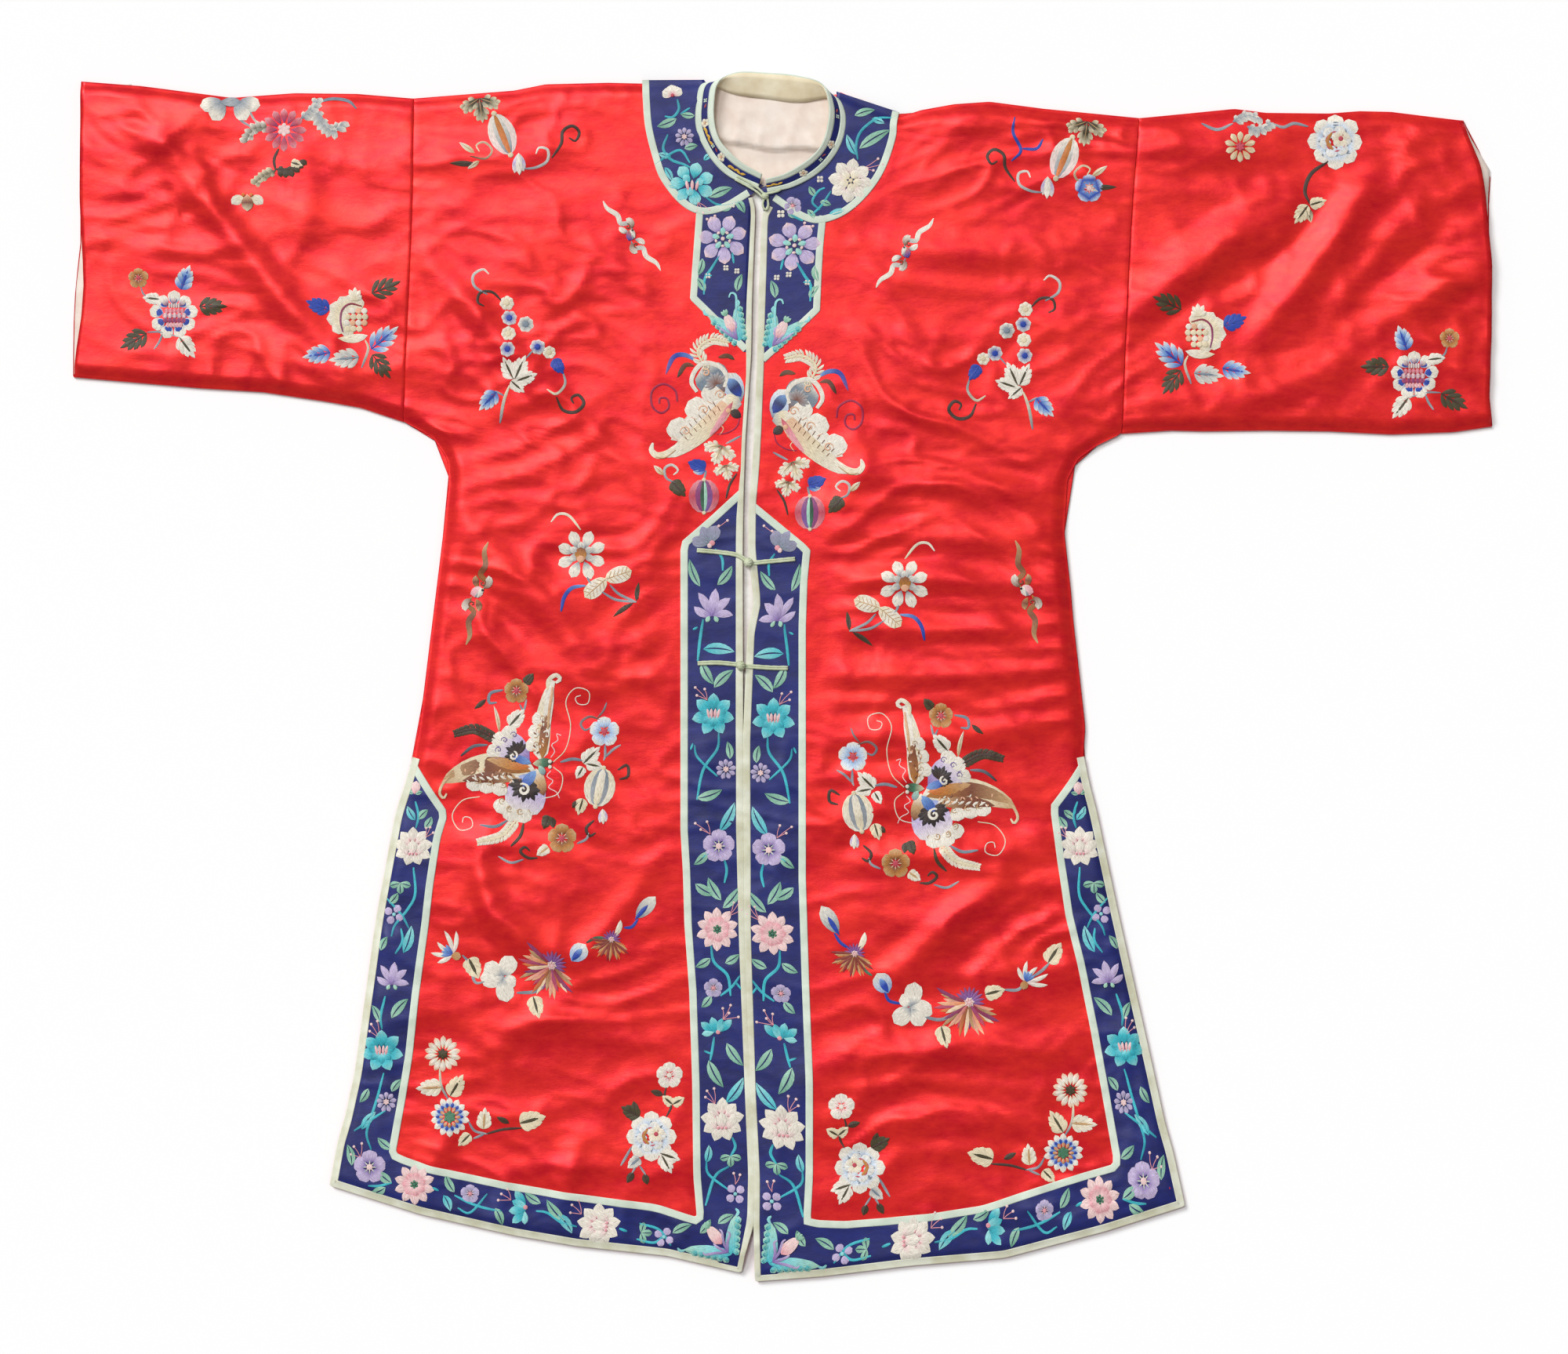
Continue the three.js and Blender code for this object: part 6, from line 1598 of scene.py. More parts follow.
def gourd(p, wide, tall, ribs):
    """A ribbed fruit: each rib is a share to the side, its width and its dyes."""
    for s, width, dyes in ribs:
        bow = 62 * s * wide / tall
        arc = math.radians(abs(bow)) or 1e-3
        p.petal(0, tall, 0, 2 * tall * arc / math.sin(arc), width, dyes, bend=-bow, full=0.6,
                widest=0.5, lift=0.4 + 0.5 * (1 - abs(s)), n=9)
    p.dot(0, tall, 0.13 * tall, "cream", 0.8)
    p.dot(0, -tall, 0.13 * tall, "cream", 0.8)


def pomegranate(p):
    for turn, length, wide in ((-160, 24, 16), (-126, 28, 18), (-94, 30, 19), (-62, 30, 19),
                               (-32, 28, 18), (-4, 26, 16), (24, 24, 14)):
        a = math.radians(turn)
        p.petal(math.sin(a) * 6 + 3, -math.cos(a) * 6, turn, length - 3, wide,
                "ivory cream ivory", full=0.4, widest=0.6)
    p.petal(-15, 27, 84, 38, 11, "cream ivory", bend=-14, lift=0.6)
    p.stem([(15, -14), (0, -17), (-10, -9), (-12, 5), (-9, 19)], 2.6, "wine plum", lift=0.9)
    for row in range(4):
        for k in range(4):
            if (row, k) not in ((0, 0), (3, 3)):
                p.dot(-4 + 7.4 * k + row % 2, -8 + 7.6 * row, 4.1,
                      ("peach", "cream", "ivory", "cream")[(row + 2 * k) % 4], 0.9, 7)
    for h, long_ in ((-58, 12), (-26, 16), (2, 17), (28, 15), (56, 11)):
        p.petal(6, -21, h, long_, 6.5, "cream ivory", lift=0.9)


def bat(p, wing, body):
    """A bat seen from above: two long curved wings and a small body between."""
    for way in (-1, 1):
        q = Pen(p.cloth, p.x, p.y, 0, p.size, p.flip)
        q.a = p.a + (0 if way < 0 else math.pi)
        q.stem([(6, -6), (9, -18), (-2, -26), (2, -40), (-4, -58), (-2, -72)], 8, wing, 0.85)
        q.petal(7, -9, 8, 20, 11, "brown ivory", bend=-40, lift=0.7)
        q.petal(0, -8, -26, 18, 9, wing, bend=30, lift=0.6)
        q.spiral(6, -20, 120, 5, 1.0, 2.4, "brown", lift=0.9)
    p.petal(-9, 3, 60, 19, 15, body, full=0.5, lift=0.9)
    p.petal(-2, 6, 32, 17, 8, "slate ivory", lift=1.0)
    p.petal(2, 6, 8, 15, 6, "ivory", lift=1.1)
    p.dot(6, -6, 2, "ink", 1.2)


def shell_bead(p, r, outer, inner):
    p.ring(7, 0.2 * r, 0.85 * r, 0.8 * r, f"{inner} {outer}", arc=300, full=0.45)
    p.dot(0, 0, 0.42 * r, inner, 0.8)


def grey_peony(p, r):
    p.ring(8, 0.3 * r, 0.66 * r, 0.56 * r, "slate ice ivory ivory", full=0.4,
           notch=0.12, m=7, widest=0.62)
    for k in range(8):
        p.petal(*spoke(45 * k, 0.4 * r), 45 * k, 0.34 * r, 0.2 * r,
                "slate slate", lift=0.65, dome=0.1, n=5, m=3)
    p.ring(6, 0.16 * r, 0.42 * r, 0.4 * r, "ice ivory", start=20, full=0.45, lift=0.8)
    p.ring(6, 0.3 * r, 0.06 * r, 0.3 * r, "rose", start=50, lift=1.0, n=3, m=3)
    q = p.at(0.18 * r, -0.1 * r)
    q.ring(5, 0.04 * r, 0.3 * r, 0.3 * r, "cream ivory", full=0.5, lift=1.0)
    p.stem([(-0.14 * r, -0.3 * r), (-0.3 * r, 0), (-0.1 * r, 0.28 * r)], 0.14 * r, "ochre",
           lift=1.1)
    q.dot(0, 0, 0.09 * r, "rose", 1.4)


def sleeve_lotus(p):
    p.ring(9, 13, 18, 16, "sky ivory ivory", full=0.45, widest=0.6)
    p.ring(9, 14, 9, 9, "blue blue", full=0.5, widest=0.6, lift=0.6, n=5, m=3)
    rows = ((-12, 15, "plum", "ivory"), (-5, 25, "rose", "pink"), (1, 30, "plum", "blush"),
            (7, 28, "rose", "plum"), (13, 20, "blush", "pink"))
    for row, (v, wide, dark, pale) in enumerate(rows):
        for k in range(5):
            p.petal((k - 2.4) * wide / 5, v, 90, wide / 4, 6.4, f"{dark} {pale} {dark}", full=0.4,
                    lift=0.75 + 0.05 * row, n=5, m=3)
    p.ring(3, 14, 10, 7, "plum ivory", start=0, arc=70, lift=1.0)


def reed_lotus(p):
    p.ring(8, 9, 23, 14, "slate ivory ivory", start=22, full=0.6, widest=0.6)
    p.ring(5, 3, 14, 9, "slate ivory", start=0, arc=220, lift=0.7)
    p.petal(-1, 10, 0, 20, 15, "peach ochre brown", full=0.5, lift=1.0)
    p.dot(-1, 5, 5, "peach", 1.3)


def ribbed(p, fx, fy, tx, ty, width):
    long_ = math.hypot(tx - fx, ty - fy)
    q = p.at(fx, fy, bearing(fx, fy, tx, ty))
    q.petal(0, 0, 0, long_, width, "cream ivory cream", full=0.42, n=9)
    q.stem([(0, -2), (0, -long_ + 3)], 1.1, "tan", lift=0.8)
    for k in range(1, 6):
        v = -long_ * k / 6.6
        for way in (-1, 1):
            q.stem([(0, v), (way * width * 0.2, v - 3), (way * width * 0.36, v - 5)], 0.8, "tan",
                   lift=0.75)


def mum(p, r, fan, dyes):
    """A tousled flower: long thin petals fall to one side of its heart."""
    count = 24
    for k, h in enumerate(np.linspace(fan[0] - 14, fan[1] + 14, count)):
        p.petal(0, 0, h, r * (0.85 + 0.35 * math.sin(2.4 * k) ** 2), r * 0.13,
                dyes[k % len(dyes)], full=0.5, bend=22 * (k - count / 2) / count
                + rng.uniform(-9, 9), lift=0.4 + 0.2 * (k % 3), m=3)
    for h in np.linspace(fan[1] + 24, fan[0] + 336, 9):
        p.petal(0, 0, h, r * 0.52, r * 0.1, "violet plum", lift=0.5)
    p.dot(0, 0, r * 0.15, "blush", 1.0)
    p.ring(7, r * 0.02, r * 0.16, r * 0.06, "rose ivory", lift=1.3, n=3, m=3)


def spiky(p, petal_dyes, short_dyes, foot):
    for h, long_ in ((-86, 30), (-52, 27), (-20, 34), (8, 32), (-118, 24)):
        p.petal(0, 0, h, long_, 6, petal_dyes, bend=16 if h < -30 else -16)
    for h in (-96, -76, -56, -36):
        p.petal(0, 0, h, 16, 4.5, short_dyes, lift=0.7)
    p.petal(-2, 1, 100, 13, 11, foot + " tan", full=0.5, lift=0.9)


def frond(p, points, dyes, reach, barbs):
    """A feather: a curved spine with barbs on both sides."""
    line = along(points, 2.0, True)
    p.stem(points, 3.6, dyes.split()[0], 0.5, lift=0.6)
    for k in range(barbs):
        i = int((k + 0.4) / barbs * (len(line) - 2))
        a, b = line[i], line[i + 1]
        way = bearing(*a, *b)
        for side_ in (-1, 1):
            p.petal(*a, way + side_ * 44, 1.35 * reach * (1 - 0.45 * (k / barbs) ** 2), 3.4, dyes,
                    bend=-16 * side_, n=5, m=3)


def acanthus(p, points, dyes, reach):
    """A ruffled leaf that bends: lobes on its outer side, a smooth inner edge."""
    line = along(points, 3.0, True)
    p.stem(points, 7.5, dyes, 0.8)
    for k in range(1, len(line) - 1, 2):
        a, b = line[k], line[k + 1]
        way = bearing(*a, *b)
        p.petal(*a, way + 58, 1.25 * reach, 8, dyes, bend=34, full=0.5, n=5)
        if k % 4 == 1:
            p.petal(*a, way - 50, 0.8 * reach, 6, dyes, bend=-30, full=0.5, n=5)


def vine_leaf(p, vein, lobes):
    """A cut leaf: three lobes, each with side points, and a dark vein in each."""
    for h, long_ in ((-66, 28), (-4, 34), (58, 28)):
        q = p.at(0, 8, h)
        for side_ in (-1, 1):
            for v, reach, lean in ((-6, 12, 52), (-13, 13, 42), (-20, 11, 30)):
                q.petal(side_, v, side_ * lean, reach * long_ / 32, 6.5, lobes, full=0.6)
        q.petal(0, 0, 0, long_, 8, f"{vein} {lobes}", full=0.6, lift=0.6)
        q.stem([(0, -2), (0, -long_ * 0.7)], 0.9, "tan", lift=1.1)


def cut_leaf(p, fx, fy, tx, ty, width, dyes):
    """A leaf with a toothed edge and a dark vein."""
    long_ = math.hypot(tx - fx, ty - fy) * 1.08
    q = p.at(fx, fy, bearing(fx, fy, tx, ty))
    vein, blade = dyes.split(" ", 1)
    pale = dyes if vein == "blue" else blade
    for k, (foot, reach, lean) in enumerate(((0.02, 0.5, 40), (0.2, 0.52, 32), (0.42, 0.44, 24))):
        for side_ in (-1, 1):
            q.petal(0, -foot * long_, side_ * lean, reach * long_, 0.52 * width, pale, full=0.55,
                    widest=0.6, bend=-8 * side_, lift=0.35 + 0.05 * k, n=6, m=3)
    q.petal(0, -0.3 * long_, 0, 0.7 * long_, 0.5 * width, pale, full=0.6, lift=0.5)
    q.petal(0, 0, 0, 0.82 * long_, 0.2 * width, vein, full=0.5, lift=0.8, dome=0.2, m=3)


def sunburst(p, u, v, heading, r, dyes="bark ink"):
    for k in range(11):
        h = heading + (k - 5) * 19
        p.petal(u, v, h, r * (1.0 if k % 2 else 0.84), r * 0.3, dyes, full=0.7, lift=0.8)


def scallops(p, places, r, curl="tan", way=1):
    """Rounded lobes of a wing's edge, each with a curl; heading is the way it points."""
    for u, v, h in places:
        du, dv = spoke(h, r)
        p.petal(u - du, v - dv, h, 2.1 * r, 2.3 * r, "ivory", full=0.34,
                widest=0.52, lift=0.5, n=8)
        p.spiral(u - 0.35 * du, v - 0.35 * dv, h + 40 * way, 0.52 * r, 1.3, 0.13 * r, curl,
                 way, lift=1.0)
        p.stem([(u - 0.8 * du + 0.8 * dv, v - 0.8 * dv - 0.8 * du), (u - 0.2 * du + 1.02 * dv,
               v - 0.2 * dv - 1.02 * du)], 0.9, curl, lift=0.9)


def flecks(p, fx, fy, tx, ty, spread, count):
    """Short stitches scattered along a line, as on a speckled wing."""
    for k in range(count):
        t = (k + rng.uniform(0, 1)) / count
        off = rng.uniform(-0.5, 0.5) * spread
        long_ = math.hypot(tx - fx, ty - fy)
        u = fx + (tx - fx) * t + off * (ty - fy) / long_
        v = fy + (ty - fy) * t - off * (tx - fx) / long_
        p.petal(u, v, rng.uniform(-60, 60), 5, 1.8, ("brown", "peach", "ivory")[k % 3], lift=1.1,
                n=4, m=3)


def butterfly(p):
    """The large butterfly, drawn about its head at the plan point (700, 975)."""
    p.petal(690, 970, 6, 98, 22, "ivory cream ivory", 0.6, 0.3, 6, n=12)
    p.petal(692, 968, 9, 78, 12, "ochre brown tan", 0.7, 0.36, 6, lift=0.7, n=9)
    p.stem([(697, 940), (698, 918), (701, 896), (702, 880), (706, 868)], 11,
           "ivory ivory", 0.5, lift=0.8)
    p.stem([(699, 930), (701, 906), (704, 886), (705, 876)], 3.6, "tan peach", lift=1.2)
    flecks(p, 688, 962, 692, 922, 13, 16)
    scallops(p, [(679, 950, -70), (682, 933, -76), (687, 917, -72)], 7.5)
    p.stem([(699, 880), (700, 868), (709, 861), (715, 866), (709, 871)], 5.5, "cream ivory",
           lift=0.9)
    p.petal(684, 984, -97, 126, 34, "ivory cream cream tan", 0.62, 0.42, -26, n=12)
    p.petal(678, 984, -95, 116, 21, "ochre brown tan", 0.7, 0.42, -26, lift=0.6, n=9)
    flecks(p, 664, 992, 592, 990, 15, 26)
    p.petal(676, 978, -80, 56, 13, "orange ochre tan", 0.5, 0.5, 5, lift=0.9, n=9)
    p.petal(662, 993, -92, 72, 15, "tan brown brown", 0.6, 0.45, -10, lift=0.7, n=9)
    for k in range(7):
        p.petal(664 - 9 * k, 993 + 0.4 * k, -60, 9, 3, "ivory", lift=1.1, n=4, m=3)
    scallops(p, [(638, 1006, 190), (621, 1003, 186), (605, 1000, 196)], 8.5, way=-1)
    p.stem([(574, 990), (565, 1000), (561, 1011), (566, 1018), (570, 1012)], 3.6, "tan cream",
           lift=0.9)
    p.petal(676, 972, -58, 52, 45, "violet lilac ivory", 0.42, 0.6)
    sunburst(p, 662, 962, -62, 19)
    p.petal(678, 973, -72, 24, 10, "sky blue", 0.5, lift=1.2)
    p.spiral(656, 958, 100, 6, 1.2, 3, "ivory", lift=1.3)
    scallops(p, [(650, 934, -30), (637, 943, -52), (630, 959, -84)], 8.5, "violet")
    p.petal(683, 982, -160, 63, 52, "sky lilac ivory", 0.42, 0.6)
    sunburst(p, 672, 1000, -168, 24)
    p.petal(684, 983, -140, 26, 13, "sky blue", 0.5, lift=1.2)
    p.spiral(664, 1000, 60, 8, 1.3, 3.6, "ivory", lift=1.4)
    scallops(p, [(640, 1028, 218), (652, 1038, 196), (668, 1040, 172)], 9)
    p.petal(684, 980, 164, 36, 15, "ivory tan brown", 0.5, 0.5, lift=0.9)
    p.petal(680, 974, 84, 26, 11, "cream green bark", 0.5, lift=1.5)
    p.petal(688, 976, 150, 14, 8, "sea slate", 0.5, lift=1.5)
    p.dot(702, 971, 2.6, "ivory", 1.9)
    p.dot(702, 978, 2.6, "ivory", 1.9)
    for line in ([(706, 972), (722, 955), (728, 925), (722, 895), (734, 878), (751, 882),
                  (750, 897), (738, 898), (734, 890), (741, 887)],
                 [(706, 978), (718, 990), (712, 1012), (690, 1019)],
                 [(612, 1016), (590, 1021), (577, 1040), (586, 1058), (602, 1055), (601, 1044),
                  (592, 1042), (590, 1049)]):
        p.stem(line, 1.3, "cream ivory", 0.1)
    for line in ([(703, 966), (708, 958), (704, 950), (712, 944), (710, 936), (716, 938)],
                 [(703, 983), (698, 990), (706, 996), (700, 1004), (710, 1010), (714, 1018)]):
        p.stem(line, 1.2, "blush", 0.1)


def half_butterfly(p):
    """The butterfly that the front edge cuts, with its head at (936, 520)."""
    p.petal(924, 500, -132, 92, 26, "ivory ivory", 0.4, 0.45, 10, lift=0.4, n=12)
    scallops(p, [(909, 501, -44), (888, 521, -48), (865, 547, -42)], 12.5, "peach")
    p.petal(934, 508, -132, 114, 25, "peach cream ivory", 0.5, 0.4, 11, lift=0.7, n=12)
    p.petal(935, 512, -146, 54, 8, "rose pink pink", 0.5, 0.5, 4, lift=0.9, n=9)
    for k in range(8):
        for across in (0, 6):
            p.stem([(915 - 6 * k - across, 518 + 5.6 * k - across),
                    (919 - 6 * k - across, 525 + 5.2 * k - across)], 1.1, "brown", lift=1.1)
    p.stem([(866, 566), (852, 578), (838, 581), (831, 574), (833, 565)], 8.5,
           "ivory cream ivory", 0.75, lift=0.7)
    p.stem([(862, 574), (848, 584), (836, 583)], 1.3, "tan", lift=1.2)
    p.petal(924, 504, -36, 46, 44, "brown slate slate ivory", 0.42, 0.6)
    sunburst(p, 914, 490, -30, 16, "brown grey")
    p.stem([(889, 500), (882, 488), (886, 474), (896, 464), (908, 464), (921, 470), (927, 482),
            (924, 494)], 6, "ivory", 0.3, lift=0.8)
    p.spiral(896, 472, 40, 5.5, 1.3, 2.0, "peach", lift=1.3)
    p.spiral(904, 466, 150, 4.5, 1.2, 1.8, "cream", lift=1.3)
    p.petal(946, 512, -30, 42, 28, "slate ice ivory", 0.45, 0.6)
    p.petal(945, 506, -34, 28, 15, "blue navy_blue sky", 0.5, lift=0.9)
    p.petal(946, 516, -80, 26, 22, "grey cream ivory", 0.45, lift=0.6)
    p.petal(945, 532, -58, 15, 11, "ink bark", 0.5, lift=0.9)
    p.dot(929, 524, 3.4, "peach", 1.3)
    frond(p, [(897, 464), (890, 450), (896, 439), (910, 433), (931, 437)], "cream ivory",
          10, 15)
    for line, dyes in (([(890, 462), (874, 453), (859, 456), (849, 478)], "sky blue violet"),
                       ([(886, 467), (874, 466), (864, 482)], "brown bark"),
                       ([(916, 456), (928, 454), (937, 459)], "brown olive")):
        p.stem(line, 6, dyes, 0.95)
    p.stem([(864, 512), (861, 498), (846, 490), (832, 499), (832, 518), (843, 527), (853, 520),
            (851, 509), (842, 508), (841, 515)], 2.8, "magenta", 0.1)
    p.stem([(926, 524), (922, 530), (927, 535), (919, 541), (923, 547), (918, 555)], 1.5, "peach")
    p.stem([(944, 530), (940, 544), (928, 552), (914, 554)], 1.8, "magenta")


KINDS.update({
    "ivory_melon": lambda p: gourd(p, 21, 25, [
        (-1, 15, "ivory cream"), (1, 15, "ivory cream"), (-0.5, 13, "grey slate"),
        (0.5, 13, "grey slate"), (0, 13, "cream ivory")]),
    "pink_melon": lambda p: gourd(p, 20, 20, [
        (-1, 13, "pink rose pink"), (1, 13, "pink rose pink"),
        (-0.55, 11, "plum"), (0.55, 11, "violet plum"), (-0.15, 7, "green ink"),
        (0.15, 6, "sea")]),
    "long_melon": lambda p: gourd(p, 20, 30, [
        (-1, 14, "blush ivory"), (1, 13, "blush ivory"), (-0.55, 9, "slate ivory"),
        (0.5, 9, "slate ivory"), (0, 9, "orange ochre")]),
    "ochre": lambda p: plum_flower(p, 17, "brown ochre tan", "rose", inner="cream"),
    "frost": lambda p: plum_flower(p, 19, "sky ice ivory", "rose", inner="peach"),
    "azure": lambda p: plum_flower(p, 18, "sky blue ice", "blush", inner="rose"),
    "star": lambda p: star_flower(p, 28, "plum rose pink", "blush", 12, 0.33),
    "pale_star": lambda p: star_flower(p, 20, "tan cream", "rose", 10, 0.36),
    "cream_daisy": lambda p: star_flower(p, 23, "cream ivory peach", "olive", 14, 0.3),
    "blue_daisy": lambda p: (star_flower(p, 25, "blue sky ivory ivory", "green", 14,
                                         0.32, 0.34),
                             p.ring(12, 7, 7, 4, "peach ochre", lift=0.9, n=5),
                             p.ring(14, 12, 6, 4, "blue blue", start=13, lift=0.8, n=4, m=3)),
    "grey_peony": lambda p: grey_peony(p, 34),
    "white_bud": lambda p: plum_flower(p, 17, "blush ivory ivory", "ivory", inner="pink"),
    "sleeve_lotus": sleeve_lotus, "reed_lotus": reed_lotus, "pomegranate": pomegranate,
    "ochre_bat": lambda p: bat(p, "ochre brown tan", "pink blush"),
    "white_bat": lambda p: bat(p, "slate ivory ivory", "blue orange"),
    "cream_bead": lambda p: shell_bead(p, 9, "ivory", "cream"),
    "blue_bead": lambda p: shell_bead(p, 9.5, "ivory", "blue"),
    "grey_bead": lambda p: shell_bead(p, 9.5, "ivory", "slate"),
    "half_flower": lambda p: ([p.petal(u, v, h, long_, 19, "slate grey ivory ivory",
                                       full=0.45, widest=0.6, lift=0.4 + 0.1 * (k % 2))
                               for k, (u, v, h, long_) in enumerate((
                                   (-8, 4, -102, 28), (10, 4, 100, 28), (-6, 4, 212, 27),
                                   (8, 4, 150, 26)))],
                              p.petal(-12, 4, 90, 26, 12, "slate grey slate", lift=0.9)),
    "acorn_bud": lambda p: (p.petal(-3, -4, -112, 19, 13, "cream ivory", bend=-30),
                            p.petal(3, -4, 112, 19, 13, "cream ivory", bend=30),
                            p.petal(0, -10, 180, 22, 15, "peach brown cream", lift=0.9),
                            p.dot(-5, -9, 2.6, "orange", 1.3), p.dot(5, -9, 2.6, "orange", 1.3)),
    "blue_bud": lambda p: (p.petal(0, 15, 0, 31, 25, "sky ivory", full=0.5),
                           p.petal(0, 14, 0, 22, 9, "blue blue sky", lift=0.9)),
    "long_bud": lambda p: (p.petal(0, 20, 0, 42, 20, "slate ivory", full=0.6),
                           p.petal(0, 22, 0, 28, 6, "blue blue", lift=0.9)),
    "hanging_bud": lambda p: (p.petal(0, -12, 165, 24, 10, "ivory lilac ivory"),
                              p.petal(0, -12, -168, 26, 10, "ivory lilac ivory"),
                              p.petal(0, -12, 178, 28, 8, "ivory", lift=0.8)),
    "butterfly": butterfly, "half_butterfly": half_butterfly,
    "mum": lambda p: mum(p, 37, (140, 300), [
        "rose peach", "brown tan", "wine plum", "peach cream",
        "brown orange", "plum rose", "orange peach"]),
    "brown_mum": lambda p: (mum(p, 24, (130, 260), ["brown orange", "ochre tan",
                                                    "brown wine"]),
                            p.petal(3, -3, 22, 24, 7, "cream ivory", bend=-20)),
    "spiky": lambda p: spiky(p, "blush ivory ivory", "blue sky", "ochre"),
    "lobes": lambda p: [p.petal(u, v, h, long_, wide, "slate ivory ivory ivory",
                                full=0.4, notch=0.12, m=7, lift=0.35 + 0.1 * k)
                        for k, (u, v, h, long_, wide) in enumerate((
                            (4, 2, -88, 34, 26), (-2, 0, -48, 28, 22), (0, -2, 28, 30, 24),
                            (0, 2, 118, 20, 20), (0, 2, 168, 32, 24)))],
    "maple": lambda p: vine_leaf(p, "bark", "olive cream"),
    "ivory_leaf": lambda p: vine_leaf(p, "olive", "cream ivory"),
})
